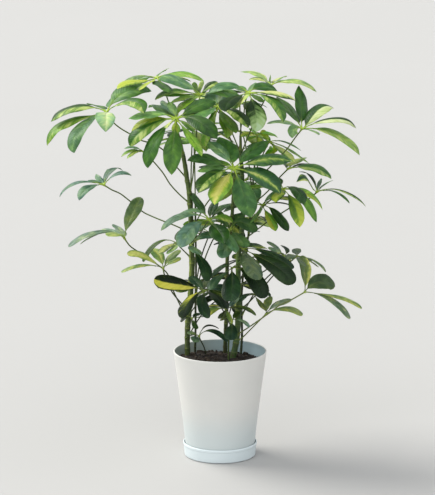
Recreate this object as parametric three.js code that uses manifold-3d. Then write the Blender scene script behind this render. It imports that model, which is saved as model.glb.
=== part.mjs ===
// A potted umbrella plant: tapered pot in a saucer, filled with soil, with several stems and their compound leaves.
// Millimetres, +Z up. The origin is the centre of the saucer's underside. -Y is the front of the plant.
import * as THREE from "three";
import { mergeVertices } from "three/addons/utils/BufferGeometryUtils.js";
import Module from "manifold-3d";

// ---------- driving dimensions
const POT_RIM_RADIUS = 77.5;
const POT_HEIGHT = 178; // the rim's height above the saucer's underside
const POT_WALL = 2.2;
const SAUCER_RADIUS = 61.3;
const SAUCER_HEIGHT = 23;
const DRAIN_HOLE_RADIUS = 4.5;
const DRAIN_HOLE_CIRCLE = 30;
const DRAIN_HOLES = 5;
const SOIL_LEVEL = 157;
const ROUND_SIDES = 28; // sides of the pot, the saucer and the soil
const GAP = 0.35; // air between pieces that touch
const BLADE_START = 0.17; // the share of a leaflet that is stalk
const KEEL = 1.5; // thickness of a blade at its midrib
const STALK = 1.5; // width of a leaflet's stalk
const PETIOLE_RADIUS = 1.25;
const HUB_RADIUS = 4; // where the leaflets of one leaf meet
const STEM_SIDES = 8;

// Low heaps of soil round the stems: x, y, height, spread.
const SOIL_HEAPS = [
  [-50, 14, 8.0, 24.0],
  [8, 10, 9.0, 34.0],
  [40, -8, 3.0, 20.0],
  [-12, -30, 2.5, 18.0],
];

const wasm = await Module();
wasm.setup();

// ---------- colours
const WHITE_PLASTIC = { color: 0xe9ebec, roughness: 0.42, metalness: 0 };
const SOIL_BROWN = { color: 0x3a2b20, roughness: 0.97, metalness: 0 };
const STEM_GREEN = { color: 0x5d6b2c, roughness: 0.6, metalness: 0 };
const LEAF_TONES = [
  { color: 0x23482a, roughness: 0.38, metalness: 0 },
  { color: 0x3d7a38, roughness: 0.4, metalness: 0 },
  { color: 0x8aa84e, roughness: 0.42, metalness: 0 },
];

// ---------- small helpers
// The geometry with only its positions, its shared vertices merged and its faces turned out.
function closed(geometry) {
  const g = geometry.clone();
  for (const name of Object.keys(g.attributes))
    if (name !== "position") g.deleteAttribute(name);
  const merged = mergeVertices(g, 1e-3);
  // faces that the merging closed up at an axis are left out
  const ix = merged.index.array;
  const kept = [];
  for (let i = 0; i < ix.length; i += 3) {
    const [a, b, c] = [ix[i], ix[i + 1], ix[i + 2]];
    if (a !== b && b !== c && a !== c) kept.push(a, b, c);
  }
  const p = merged.attributes.position;
  const v = [0, 1, 2].map(() => new THREE.Vector3());
  let volume = 0;
  for (let i = 0; i < kept.length; i += 3) {
    v.forEach((w, k) => w.fromBufferAttribute(p, kept[i + k]));
    volume += v[0].dot(v[1].clone().cross(v[2]));
  }
  if (volume < 0)
    for (let i = 0; i < kept.length; i += 3)
      [kept[i + 1], kept[i + 2]] = [kept[i + 2], kept[i + 1]];
  merged.setIndex(kept);
  return merged;
}

function solid(geometry) {
  const g = closed(geometry);
  return new wasm.Manifold(
    new wasm.Mesh({
      numProp: 3,
      vertProperties: new Float32Array(g.attributes.position.array),
      triVerts: new Uint32Array(g.index.array),
    }),
  );
}

function geometryOf(manifold) {
  const m = manifold.getMesh();
  const v = new Float32Array(m.numVert * 3);
  for (let i = 0; i < m.numVert; i++)
    for (let k = 0; k < 3; k++)
      v[i * 3 + k] = m.vertProperties[i * m.numProp + k];
  const g = new THREE.BufferGeometry();
  g.setAttribute("position", new THREE.BufferAttribute(v, 3));
  g.setIndex(new THREE.BufferAttribute(new Uint32Array(m.triVerts), 1));
  g.computeVertexNormals();
  return g;
}

// The largest of the bodies that a cut leaves.
function largest(manifold) {
  const bodies = manifold.decompose();
  return bodies.reduce((a, b) => (b.volume() > a.volume() ? b : a));
}

function turned(profile) {
  const g = new THREE.LatheGeometry(
    profile.map(([r, z]) => new THREE.Vector2(r, z)),
    ROUND_SIDES,
  );
  return g.rotateX(Math.PI / 2).rotateZ(Math.PI / 2);
}

// A cylinder bent along a curve. section(t) gives the half width, and how far the section reaches above and below the curve.
function bent(curve, sides, stations, up, section) {
  const g = new THREE.CylinderGeometry(1, 1, 1, sides, stations.length - 1);
  const p = g.attributes.position;
  const point = new THREE.Vector3();
  for (let i = 0; i < p.count; i++) {
    const row = Math.round((0.5 - p.getY(i)) * (stations.length - 1));
    const t = stations[row];
    const T = curve.getTangent(t);
    const B = T.clone().cross(up).normalize();
    const N = B.clone().cross(T).normalize();
    const s = section(t);
    curve.getPoint(t, point);
    const x = p.getX(i);
    const z = p.getZ(i);
    if (sides === 3) {
      // edges at the left and right, and a keel below
      point.addScaledVector(B, (x / Math.cos(Math.PI / 6)) * s.half);
      point.addScaledVector(N, s.above - ((s.above + s.below) * (z + 0.5)) / 1.5);
    } else {
      point.addScaledVector(B, x * s.half);
      point.addScaledVector(N, -z * s.half);
    }
    p.setXYZ(i, point.x, point.y, point.z);
  }
  return g;
}

function soilHeight(x, y) {
  return SOIL_HEAPS.reduce(
    (z, [hx, hy, height, spread]) =>
      z +
      height *
        Math.exp(-((x - hx) ** 2 + (y - hy) ** 2) / (2 * spread * spread)),
    SOIL_LEVEL,
  );
}

const potted_plant = new THREE.Group();
function add(name, geometry, look, parent = potted_plant) {
  const mesh = new THREE.Mesh(geometry, new THREE.MeshStandardMaterial(look));
  mesh.name = name;
  parent.add(mesh);
  return mesh;
}

// ---------- saucer: flat underside, low wall, open top
const SAUCER_FLOOR = 3.2;
add(
  "saucer",
  closed(
    turned([
      [0, 0],
      [57.6, 0],
      [59.3, 1.2],
      [61.1, 20.8],
      [SAUCER_RADIUS, 22.2],
      [60.7, SAUCER_HEIGHT],
      [59.6, SAUCER_HEIGHT],
      [59.1, 21.2],
      [57.8, 4.9],
      [56.3, SAUCER_FLOOR],
      [0, SAUCER_FLOOR],
    ]),
  ),
  WHITE_PLASTIC,
);

// ---------- pot: foot ring, tapered wall, rounded rim, drain holes
const FOOT = SAUCER_FLOOR + GAP;
const POT_OUTSIDE = [
  [55.9, FOOT],
  [58.4, 25],
  [61.9, 59],
  [66.2, 93],
  [70.6, 127.5],
  [76.5, POT_HEIGHT - 6.7],
];
const potProfile = [
  [0, FOOT + 2],
  [49.5, FOOT + 2],
  [50.3, FOOT],
  ...POT_OUTSIDE,
  [POT_RIM_RADIUS - 0.1, POT_HEIGHT - 1.4],
  [76.6, POT_HEIGHT],
  [75.3, POT_HEIGHT],
  [74.6, POT_HEIGHT - 1.2],
  ...POT_OUTSIDE.slice(1)
    .reverse()
    .map(([r, z]) => [r - POT_WALL, z]),
  [53.8, FOOT + 5.6],
  [52.8, FOOT + 4.6],
  [0, FOOT + 4.6],
];
let pot = solid(turned(potProfile));
for (let i = 0; i < DRAIN_HOLES; i++) {
  const angle = (i / DRAIN_HOLES) * 2 * Math.PI + 0.3;
  const drill = new THREE.CylinderGeometry(
    DRAIN_HOLE_RADIUS,
    DRAIN_HOLE_RADIUS,
    12,
    10,
  );
  drill.rotateX(Math.PI / 2);
  drill.translate(
    DRAIN_HOLE_CIRCLE * Math.cos(angle),
    DRAIN_HOLE_CIRCLE * Math.sin(angle),
    FOOT + 3.3,
  );
  pot = pot.subtract(solid(drill));
}
add("pot", geometryOf(pot), WHITE_PLASTIC);

// ---------- stems
// Each row: x, y, z and radius, from the foot in the soil to the top.
const STEMS = {
  stem_left: [
    [-54.1, 14, 138.6, 4.4],
    [-54.1, 14, 165.6, 4.4],
    [-54, 13, 209.6, 4.4],
    [-48.3, 9, 278.6, 4.5],
    [-46.3, 6, 321.6, 4.5],
    [-46.8, 4, 355.8, 4.4],
    [-48.5, 2, 414.9, 4.2],
    [-51, 0, 448.6, 4],
    [-53.8, -1, 465.5, 3.8],
    [-56, -3, 482.5, 3.6],
    [-58.8, -5, 499.4, 3.4],
    [-61.4, -7, 514.7, 3],
  ],
  stem_left_thin: [
    [-41.8, 30, 137.6, 1.9],
    [-41.8, 30, 164.6, 1.86],
    [-40.8, 28, 205.8, 1.81],
    [-40.7, 26, 257.6, 1.74],
    [-39.8, 25, 317.4, 1.65],
    [-40.5, 24, 376.8, 1.57],
    [-40.7, 22, 429.3, 1.5],
  ],
  stem_centre: [
    [8.3, 32, 136.7, 3.6],
    [8.3, 32, 163.7, 3.52],
    [10.7, 22, 241.5, 3.29],
    [11.5, 14, 294.4, 3.14],
    [12.2, 6, 338.5, 3.01],
    [17.9, -4, 382.6, 2.88],
    [21.1, -14, 434.7, 2.72],
    [23.4, -22, 476.1, 2.6],
  ],
  stem_right: [
    [21.4, -4, 138.8, 5.2],
    [21.4, -4, 165.8, 5.04],
    [25.6, -3, 188, 4.91],
    [28.8, -2, 213.3, 4.76],
    [30.4, 2, 254.8, 4.52],
    [30.1, 8, 312.7, 4.18],
    [31.2, 12, 345.6, 3.99],
    [34.5, 14, 365.4, 3.87],
    [36.9, 16, 391.9, 3.71],
    [37.7, 20, 436.4, 3.45],
    [35.2, 25, 485.6, 3.16],
    [32.7, 28, 513.4, 3],
  ],
  stem_right_thin: [
    [35, 38, 133.9, 2],
    [35, 38, 160.9, 1.96],
    [36.7, 38, 194.8, 1.91],
    [35.7, 38, 254.8, 1.83],
    [39.8, 40, 314, 1.75],
    [48, 44, 372.6, 1.66],
    [52.8, 48, 430.9, 1.58],
    [57.7, 50, 489.3, 1.5],
  ],
  stem_shoot: [
    [14, -14, 137.8, 1.5],
    [14, -14, 164.8, 1.42],
    [13.9, -16, 191.3, 1.34],
    [15.5, -20, 216.1, 1.26],
    [18, -25, 234.3, 1.2],
  ],
};

function stemGeometry(rows, grow) {
  const curve = new THREE.CatmullRomCurve3(
    rows.map(([x, y, z]) => new THREE.Vector3(x, y, z)),
  );
  const steps = rows.length - 1;
  const stations = rows.map((_, i) => i / steps);
  // CatmullRomCurve3 spaces getPoint evenly over its points, so row i is at i / steps
  return bent(curve, rows[0][3] > 2.4 ? STEM_SIDES : 6, stations, new THREE.Vector3(0, -1, 0), (t) => ({
    half: rows[Math.round(t * steps)][3] + grow,
  }));
}

const stemGroup = new THREE.Group();
potted_plant.add(stemGroup);
const stemSolids = {};
const stemClearance = {};
for (const [name, rows] of Object.entries(STEMS)) {
  stemSolids[name] = solid(stemGeometry(rows, 0));
  // the room that other pieces leave for the stem: a little fatter, and longer at both ends
  const longer = rows.map((r) => r.slice());
  longer[0][2] -= GAP;
  longer[longer.length - 1][2] += GAP;
  stemClearance[name] = solid(stemGeometry(longer, GAP));
  add(name, geometryOf(stemSolids[name]), STEM_GREEN, stemGroup);
}

// ---------- soil: fills the pot, heaped round the stems, with a hole for each stem
const soilProfile = [
  [0, FOOT + 4.6 + GAP],
  [52.4, FOOT + 4.6 + GAP],
  [58.4 - POT_WALL - 0.45, 25.4],
  [61.9 - POT_WALL - 0.45, 59],
  [66.2 - POT_WALL - 0.45, 93],
  [70.6 - POT_WALL - 0.45, 127.5],
  [73.6 - POT_WALL - 0.45, SOIL_LEVEL - 4],
  [70.2, SOIL_LEVEL],
  [58, SOIL_LEVEL],
  [44, SOIL_LEVEL],
  [29, SOIL_LEVEL],
  [14, SOIL_LEVEL],
  [0, SOIL_LEVEL],
];
const soilGeometry = turned(soilProfile);
{
  const p = soilGeometry.attributes.position;
  for (let i = 0; i < p.count; i++)
    if (p.getZ(i) > SOIL_LEVEL - 0.5)
      p.setZ(i, soilHeight(p.getX(i), p.getY(i)));
}
let soil = solid(soilGeometry);
for (const clearance of Object.values(stemClearance))
  soil = soil.subtract(clearance);
soil = largest(soil);

// ---------- compound leaves
// Each leaf: name, tone, the petiole's points from the stem up to the hub, and the leaflets.
// Each leaflet: second and third control points and tip of a cubic curve that starts at the hub, the blade's upward normal, and its width.
const LEAVES = [
  [
    "leaf_front_01",
    0,
    [[-23.3, 12, 153.3], [-23.3, 12, 167.3], [-26.6, -1.5, 184.2], [-31.5, -12.9, 197.3], [-34.7, -22, 208.1]],
    [
      [-28.8, -9.2, 224.4, -17.5, -1.8, 226.1, -1.7, 1.2, 215.1, 0.12, -0.27, 0.95, 6],
      [-20.4, -20.2, 227, 1.1, -24.7, 213.9, 13, -28.8, 200.5, 0.27, -0.53, 0.81, 12],
      [-36.6, -32.6, 208.3, -40, -42.7, 208, -44.3, -52.5, 207.4, 0.48, -0.19, 0.86, 15.4],
      [-40.6, -21, 212.5, -47.1, -20.7, 214.3, -54.4, -21, 212.9, 0.13, -0.43, 0.89, 8.6],
      [-42.6, -13, 210.5, -50, -5.2, 206.3, -56.3, 2.1, 197.1, -0.43, 0.05, 0.9, 14.4],
    ],
  ],
  [
    "leaf_front_02",
    0,
    [[17.7, -24.5, 232.4], [18.8, -26.3, 234.6], [19.6, -28, 236.7]],
    [
      [19.9, -42.2, 230.8, 19.2, -54.8, 222.5, 17.8, -66.4, 212.5, -0.06, -0.56, 0.83, 21.9],
      [31.2, -31.6, 240.7, 40.4, -35.8, 236.3, 48.2, -40.3, 227.1, 0.31, -0.34, 0.89, 10],
      [23, -20.4, 239.1, 26.8, -13.3, 242.2, 31.2, -7.4, 246.9, -0.08, -0.43, 0.9, 11.2],
      [13.9, -17.6, 239.8, 8.4, -7.9, 237, 3.2, 1.9, 229.4, -0.23, 0.12, 0.97, 17.3],
    ],
  ],
  [
    "leaf_left_01",
    1,
    [[-53.7, 12.8, 213.4], [-50.6, 3.8, 220.4], [-47.9, -7.6, 230], [-46.2, -16, 237.1]],
    [
      [-54.3, -15.2, 241.1, -60.5, -15.7, 238.3, -65.1, -17.4, 230.7, -0.4, -0.45, 0.8, 8.2],
      [-43.4, -5, 237.3, -39.4, 5.5, 237.6, -33.2, 15.1, 238.1, 0.07, -0.06, 1, 11],
      [-44.1, -27.3, 235.2, -41.8, -38, 231.7, -39.4, -48.1, 226.5, 0.29, -0.27, 0.92, 11],
      [-37.8, -11, 238, -29.6, -6, 237.5, -20.8, -0.7, 236.1, -0.09, 0.22, 0.97, 10.6],
      [-52.1, -8.3, 241.4, -58.2, -0.4, 238.7, -63.5, 6.6, 231.6, -0.13, 0.14, 0.98, 10.6],
    ],
  ],
  [
    "leaf_right_01",
    1,
    [[26.2, -2.8, 193.2], [37.9, -6.3, 202.5], [49.4, -9.9, 215.3], [65.8, -14.9, 233.5], [75.6, -18, 244.4]],
    [
      [76.2, 1.7, 247.6, 78, 20.5, 253, 81.5, 38.2, 261.6, -0.45, -0.23, 0.86, 17.8],
      [84.4, -1.6, 254.4, 98.4, 11.1, 259.8, 117.6, 20.1, 260.7, -0.08, -0.26, 0.96, 18],
      [92.8, -15.3, 257, 119.6, -15.4, 256.4, 136.4, -18.3, 242.8, 0.11, -0.34, 0.93, 18],
    ],
  ],
  [
    "leaf_front_03",
    0,
    [[10, 24.8, 220], [10, 17.7, 227.2], [9.8, -4.4, 241.1], [9.7, -40, 258.1]],
    [
      [-4.9, -39.3, 261.6, -16.6, -40.3, 256.6, -26.3, -42.8, 245.4, -0.26, -0.7, 0.66, 13.9],
      [5.5, -17.6, 262, -1.7, 3.4, 264.5, -16.7, 20.9, 263.9, 0.15, -0.01, 0.99, 20],
      [12, -65.6, 261.2, 14.8, -90.9, 260.6, 18.3, -115.5, 253.1, 0.52, -0.02, 0.85, 12],
      [26.8, -38.3, 266.1, 47.6, -38.9, 263.2, 58.8, -42.2, 247.8, 0.31, -0.26, 0.92, 12],
      [7.4, -51.4, 257.2, 5.3, -62.5, 254.9, 3.4, -73.1, 250.6, -0.33, -0.18, 0.93, 19.7],
      [15.9, -28.7, 261.2, 22.5, -18.3, 265.7, 29.5, -9.6, 272.8, -0.14, -0.38, 0.91, 12.9],
      [24.9, -29, 262.2, 39.3, -18.7, 256.7, 52.2, -9.3, 244.1, 0.25, 0.09, 0.96, 19.2],
      [-5.6, -29.8, 264.4, -20.7, -19.7, 259.4, -34.3, -10.6, 246.9, -0.25, -0.01, 0.97, 19.2],
    ],
  ],
  [
    "leaf_back_01",
    0,
    [[-54, 13.3, 197.2], [-24.1, 70.8, 229.7], [21.1, 94.5, 262.2]],
    [
      [23.8, 64.3, 268.4, 26.4, 35.4, 260.6, 28.8, 8.6, 241.9, -0.81, -0.2, 0.55, 26.9],
      [38.9, 88.1, 272.3, 58.5, 81.4, 270.2, 78.3, 72.9, 260.7, -0.04, -0.16, 0.99, 26.9],
      [39.1, 100.5, 272.4, 58.6, 107.1, 268.7, 76.6, 113.1, 256, 0.12, -0.03, 0.99, 26.9],
      [41.7, 117.4, 269.3, 61.5, 139.4, 260.9, 79.4, 159.3, 240.6, 0.25, 0.1, 0.96, 26.9],
      [21.2, 119.6, 271.5, 21.3, 145.6, 271.4, 21.4, 173.5, 266.8, 0.29, -0.06, 0.96, 26.9],
      [1.2, 114.6, 263.2, -16.6, 132.7, 252.4, -32.1, 148.3, 232, -0.32, 0.21, 0.93, 26.9],
      [-3, 87.6, 270.2, -26.8, 80.9, 264.3, -49.2, 74.5, 249.2, -0.19, 0.05, 0.98, 26.9],
      [3, 85.2, 261.7, -14.4, 78.4, 254.3, -32.3, 66, 242.1, -0.18, -0.05, 0.98, 26.9],
    ],
  ],
  [
    "leaf_centre_01",
    0,
    [[30.4, 3.5, 269.3], [37.9, 7.2, 267.2], [47.9, 13.3, 269.1], [56.2, 18, 269.7]],
    [
      [48.2, 4.8, 276.9, 40.4, -7.4, 275.2, 32.7, -18.4, 264.8, -0.24, -0.12, 0.96, 14],
      [62.1, 5.7, 262.9, 68.6, -6.6, 256.6, 75.5, -18.8, 250.5, 0.38, -0.25, 0.89, 14],
      [58.9, 33, 270.7, 61.8, 47.6, 273.1, 65.1, 61.6, 278.4, -0.45, -0.1, 0.89, 14],
      [66.2, 19.6, 277.1, 75.6, 19.2, 275.3, 84.4, 17.3, 266.5, 0.25, -0.4, 0.88, 10.3],
      [64, 24.6, 274.4, 72.2, 31.6, 274.4, 81.1, 39.2, 271.9, 0.08, -0.2, 0.98, 13.4],
    ],
  ],
  [
    "leaf_right_02",
    1,
    [[27.8, -2.3, 205.4], [42.7, -22.5, 220.1], [57.2, -36.8, 233.8], [73.4, -45.8, 247.8], [84.8, -47.7, 256.6], [97.9, -45.1, 266.1], [114.4, -37.2, 271.8], [127.8, -25.7, 276.6], [139.6, -12, 280.2]],
    [
      [140.5, 9.7, 293.2, 143.9, 30, 309.3, 137.8, 46, 328.9, 0.62, -0.49, 0.61, 25.5],
      [144.6, 11.9, 284.3, 172.6, 35.3, 300.7, 191.4, 44.8, 276.3, 0.52, -0.51, 0.69, 31.2],
      [172.4, -12.6, 277.3, 212.9, -14, 271, 233.4, -17.7, 253.6, 0.3, -0.31, 0.9, 13.5],
      [168.3, -12.1, 279.9, 198.6, -15.6, 263.6, 213.6, -21.4, 236.8, 0.48, -0.45, 0.75, 16.9],
    ],
  ],
  [
    "leaf_centre_02",
    0,
    [[26.9, -2.6, 198.5], [1.9, 52.3, 238.6], [-35.8, 47.3, 283.5]],
    [
      [-12.7, 65.5, 293, 10.7, 84.2, 287.6, 34.2, 102.1, 273.8, 0.27, -0.22, 0.94, 26.2],
      [-32.7, 75.9, 285.2, -29.9, 101.9, 275.3, -27.3, 125.5, 256, -0.18, 0.34, 0.92, 26.2],
      [-53.3, 62.5, 286.3, -69.9, 77, 281.3, -86.1, 91.1, 269.1, -0.13, 0.18, 0.98, 26.2],
      [-58.2, 40.2, 292, -81.2, 32.7, 289.6, -103.7, 26, 278.3, -0.11, 0.06, 0.99, 26.2],
      [-47.3, 38.1, 289.5, -59.2, 30.6, 285.1, -71.7, 14.8, 275, 0.16, -0.06, 0.98, 26.2],
      [-18, 20, 285.5, -0.8, -6.5, 281.8, 17.3, -34.4, 272.2, -0.09, -0.19, 0.98, 26.2],
    ],
  ],
  [
    "leaf_front_04",
    0,
    [[-52.2, 11.6, 234.2], [-43, -6.8, 251.9], [-32.9, -27.8, 272.1], [-24.6, -46, 289.8]],
    [
      [-48.2, -43.5, 301.2, -79.8, -44, 298.8, -107.8, -41.9, 308.9, 0.06, -0.65, 0.76, 31],
      [-25.3, -21, 289.6, -25.1, 3.8, 291.4, -23.3, 28.2, 296.3, -0.72, -0.05, 0.69, 27.5],
      [-40.8, -69.1, 296, -54.6, -94.7, 283.2, -61.2, -116.2, 262.5, -0.29, -0.32, 0.9, 25],
      [-27.9, -74.8, 286.9, -28.6, -102.9, 279.1, -25.9, -129.2, 268.2, 0.68, -0.22, 0.7, 31],
      [-12.7, -73.1, 295.5, -0.8, -101.8, 293.1, 6.2, -128.8, 281.2, 0.4, 0, 0.92, 31],
      [-12.8, -46.4, 298.4, -0.2, -48, 298.6, 12.9, -50.5, 292.5, -0.04, -0.62, 0.79, 15.3],
      [-31.6, -31.3, 293.4, -39.7, -17.8, 298.5, -49.4, -6.5, 305.9, 0.08, -0.36, 0.93, 19.2],
      [-6.6, -39.5, 295.3, 10.1, -36, 290.6, 25.3, -28.9, 275.9, 0.34, -0.17, 0.92, 29.8],
    ],
  ],
  [
    "leaf_back_02",
    0,
    [[36.1, 38, 228.9], [68.8, 66.2, 276.1], [117.6, 94.4, 313.9]],
    [
      [135.5, 93.7, 316.5, 151.9, 92.6, 311.1, 166.6, 92.2, 299.3, 0.3, 0.11, 0.95, 20.2],
      [130.3, 106.7, 316, 142.4, 118.3, 311.5, 153.9, 129.3, 301.5, 0.18, 0.15, 0.97, 20.2],
      [102.7, 107.7, 323.4, 87.4, 121.2, 318.8, 73.3, 134.2, 305, -0.14, 0.08, 0.99, 20.2],
      [94.7, 96, 319.3, 72.2, 97.5, 315.1, 50.1, 99, 303.6, -0.15, 0, 0.99, 20.2],
      [104.5, 79.5, 323.3, 90.7, 63.9, 318.5, 78.4, 49.9, 304.6, 0.12, -0.3, 0.95, 20.2],
      [113.6, 76, 317, 109.7, 58.1, 314.2, 105.8, 39.9, 306.3, -0.36, -0.05, 0.93, 20.2],
    ],
  ],
  [
    "leaf_back_03",
    0,
    [[9.7, 26.3, 208.1], [26.4, 80.5, 260.9], [51, 73.6, 318.1]],
    [
      [65.2, 108.8, 317.3, 79.1, 145.7, 310.7, 93.6, 176.7, 300.5, -0.55, 0.32, 0.78, 22.5],
      [42.2, 98, 325.6, 33.8, 121.6, 318.2, 25.9, 143.9, 302.2, 0.1, 0.25, 0.96, 22.5],
      [25.3, 78.5, 317.6, 2.6, 82.9, 307, -17.8, 86.9, 288.7, -0.37, 0.13, 0.92, 22.5],
      [27.7, 59.2, 320.5, 6.4, 45.9, 311.8, -13.4, 33.7, 294.5, -0.41, 0.13, 0.9, 22.5],
      [66.7, 55.7, 325.9, 82.7, 37.5, 325, 99.2, 18.8, 315.8, 0.17, 0.11, 0.98, 22.5],
      [68.3, 68.8, 329.7, 88.1, 63.4, 328.7, 106.6, 59.6, 317.8, 0.05, 0.07, 1, 22.5],
    ],
  ],
  [
    "leaf_left_02",
    1,
    [[-51.7, 11.2, 240.8], [-64.5, 5, 257.5], [-79.2, -2.2, 277.9], [-90.5, -9.9, 305], [-93.6, -14, 321]],
    [
      [-108.2, -19, 330.8, -128, -20, 352.5, -152.1, -24.7, 347.4, 0.46, -0.4, 0.79, 18],
      [-94.4, 5.2, 328, -99.7, 22.5, 335.4, -111.1, 37.4, 343.5, 0.01, -0.41, 0.91, 20],
      [-114.9, -12.1, 329.9, -143.4, -12.7, 327, -162.5, -15.4, 314.6, -0.18, -0.23, 0.96, 14.4],
      [-88.5, 5.7, 326.8, -80.2, 23.6, 333.5, -68.1, 39, 341.4, -0.3, -0.22, 0.93, 20],
      [-84.2, -12.2, 329.4, -74.4, -11.2, 333.8, -64.1, -10.5, 337.1, -0.31, -0.42, 0.85, 12.3],
    ],
  ],
  [
    "leaf_front_05",
    0,
    [[11.3, 15.6, 284.2], [14.7, -0.8, 296.1], [17.9, -23.3, 313.1], [19.4, -42, 327.3]],
    [
      [19.8, -67.1, 324.4, 19.2, -92, 309.8, 17.5, -114.9, 289.4, -0.2, -0.49, 0.85, 32.8],
      [40.8, -51.3, 335.3, 62.1, -64.5, 313.2, 72.7, -76.3, 285.2, 0.1, -0.77, 0.62, 29.3],
      [8.5, -70, 324, -12.3, -95.7, 326, -14.6, -119.7, 309.1, -0.26, -0.26, 0.93, 20],
      [34.8, -28.4, 338.5, 51.4, -17.7, 336.7, 68.8, -9.5, 323.4, 0.31, -0.15, 0.94, 23.1],
      [44.1, -42.5, 339.1, 70.4, -43.2, 338.5, 98, -43.1, 330.8, -0.03, 0.03, 1, 27.8],
      [12.9, -35.5, 334.3, -0.2, -31.7, 328.5, -13.2, -31.1, 311.7, 0, -0.45, 0.89, 12],
    ],
  ],
  [
    "leaf_right_03",
    0,
    [[30.1, 1.2, 246.7], [42.8, 2.7, 254.7], [56.1, 5.2, 267.6], [75.9, 9.3, 288.7], [87.4, 11.8, 301.7], [103.9, 14.6, 316.3], [115.5, 16.1, 324.4], [127, 18, 334.2]],
    [
      [146.5, 17.8, 333.2, 167.9, 15.7, 323.4, 174.9, 12.4, 308.3, 0.48, -0.35, 0.8, 8],
      [121.5, 0.2, 341.8, 116, -18.2, 344.8, 110.7, -37.3, 341.3, 0.19, 0.02, 0.98, 16],
      [127.9, 49.6, 330.3, 128.9, 81.2, 327.7, 129.8, 113, 327.1, -0.02, 0.07, 1, 16],
      [129.7, -2.2, 335.2, 132.4, -22.2, 334.1, 135.1, -42.1, 330.7, 0.43, -0.01, 0.9, 16],
      [107.1, 21, 336.6, 87.9, 23.6, 333.8, 68.3, 27, 326, -0.17, -0.05, 0.98, 15.4],
    ],
  ],
  [
    "leaf_right_04",
    0,
    [[30.2, 5.3, 286.2], [49.4, 6.3, 297.9], [75.7, 7.5, 312.8], [93.8, 8.9, 326], [105.4, 10, 335.9]],
    [
      [98.9, 20.1, 343.9, 90, 28.4, 350.5, 77.7, 34.2, 355.2, 0.32, -0.3, 0.9, 12],
      [98, 11.6, 343.2, 89.3, 12.6, 348, 79, 13, 349.6, 0.34, -0.41, 0.84, 9.6],
      [113.4, 22.8, 339.9, 112.4, 34.5, 343.6, 101.2, 44.9, 346.9, 0.41, -0.17, 0.9, 12],
      [100.3, -2.6, 337.4, 95.1, -14.9, 336, 89.8, -27, 332.3, -0.03, -0.13, 0.99, 12],
    ],
  ],
  [
    "leaf_back_04",
    0,
    [[-40.3, 25.6, 283.1], [-31.2, 76.6, 320], [-17.4, 135.3, 348.1]],
    [
      [-37.9, 112.6, 356.9, -58.4, 89.9, 352.8, -79, 67, 339, -0.28, 0.12, 0.95, 26],
      [5.6, 121.6, 350.4, 26.8, 109.5, 341, 46.2, 97.7, 322.8, 0.18, -0.27, 0.95, 26],
      [10.7, 145.9, 354.8, 38.6, 156.3, 352, 68.1, 167.4, 343.7, 0.02, 0.08, 1, 26],
      [-6.7, 160.3, 358.2, 4.3, 186, 355.1, 15.4, 212, 343.3, -0.02, 0.07, 1, 26],
      [-33.2, 158.1, 358.2, -49.1, 181, 351.1, -63.2, 201.2, 331.7, -0.03, 0.22, 0.98, 26],
      [-38, 137.4, 356.3, -59.1, 139.5, 351.6, -78.1, 141.4, 337.7, -0.19, -0.39, 0.9, 26],
    ],
  ],
  [
    "leaf_left_03",
    0,
    [[-47.3, 5.3, 333.3], [-56.1, 11, 340.8], [-66.1, 17.6, 349.4], [-72.7, 22, 355.3]],
    [
      [-96.4, 25.6, 371.9, -121.5, 19.5, 343.5, -127.2, 15.4, 324.6, -0.61, -0.4, 0.68, 15],
      [-78.7, 5.2, 358.9, -88.3, -10.7, 357.4, -99.8, -26.6, 349, -0.13, -0.14, 0.98, 18],
      [-72.2, 3.2, 355.5, -76.6, -15, 354.6, -85, -33, 348.7, -0.37, -0.05, 0.93, 18],
      [-58.2, 32.5, 361.5, -42.7, 44.2, 360.9, -25.7, 54.1, 358.2, -0.03, -0.3, 0.95, 17.3],
    ],
  ],
  [
    "leaf_front_06",
    0,
    [[30.2, 8.4, 316.3], [32.8, 0.9, 327.8], [35.9, -11.9, 340.7], [37.4, -32, 356.9]],
    [
      [62, -57.2, 349.3, 104.7, -77.8, 338.8, 116.8, -89.1, 310.6, -0.04, -0.72, 0.69, 31],
      [67.4, -35.1, 363.9, 104.1, -43.3, 341.4, 120.3, -48.3, 328.7, 0.3, -0.5, 0.81, 22],
      [47.1, -9.6, 358.6, 63.9, 9.8, 355.8, 75.9, 25.7, 347.7, 0.31, -0.05, 0.95, 26],
      [44.7, -58.9, 356.7, 49.9, -85.5, 343.9, 57.6, -111.4, 324.8, 0.45, -0.26, 0.85, 40.3],
      [35.4, -15.7, 359, 32.5, 0.1, 362.5, 27.9, 14.8, 368.6, -0.86, -0.3, 0.42, 18.4],
      [22.8, -25.8, 367.2, 7.4, -20, 367.9, -8.5, -10, 362.1, -0.06, -0.06, 1, 29.8],
    ],
  ],
  [
    "leaf_left_04",
    0,
    [[-47.2, 5.7, 326.7], [-47.4, -3.1, 337.1], [-47.6, -15.3, 351.5], [-47.5, -24, 361.8]],
    [
      [-36.2, -39.8, 345.4, -16, -52.5, 332.8, -22.9, -64.1, 310.7, 0.46, -0.56, 0.69, 24],
      [-43, -48, 365.8, -39.7, -72.3, 366.2, -37.2, -96.8, 364.4, 0.32, 0.05, 0.95, 24],
      [-34.9, -20.4, 378.4, -20.1, -19.8, 381.2, -3.4, -20.9, 376.2, -0.07, -0.53, 0.84, 17.4],
      [-51.9, -4.8, 363.6, -57.3, 13.7, 367.2, -64.5, 30.9, 373.6, -0.93, -0.34, 0.13, 20.8],
      [-37.3, -15.7, 370.9, -26.3, -7.3, 372.8, -14.4, 4.7, 370.9, -0.18, 0.01, 0.98, 23],
    ],
  ],
  [
    "leaf_left_05",
    1,
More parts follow.
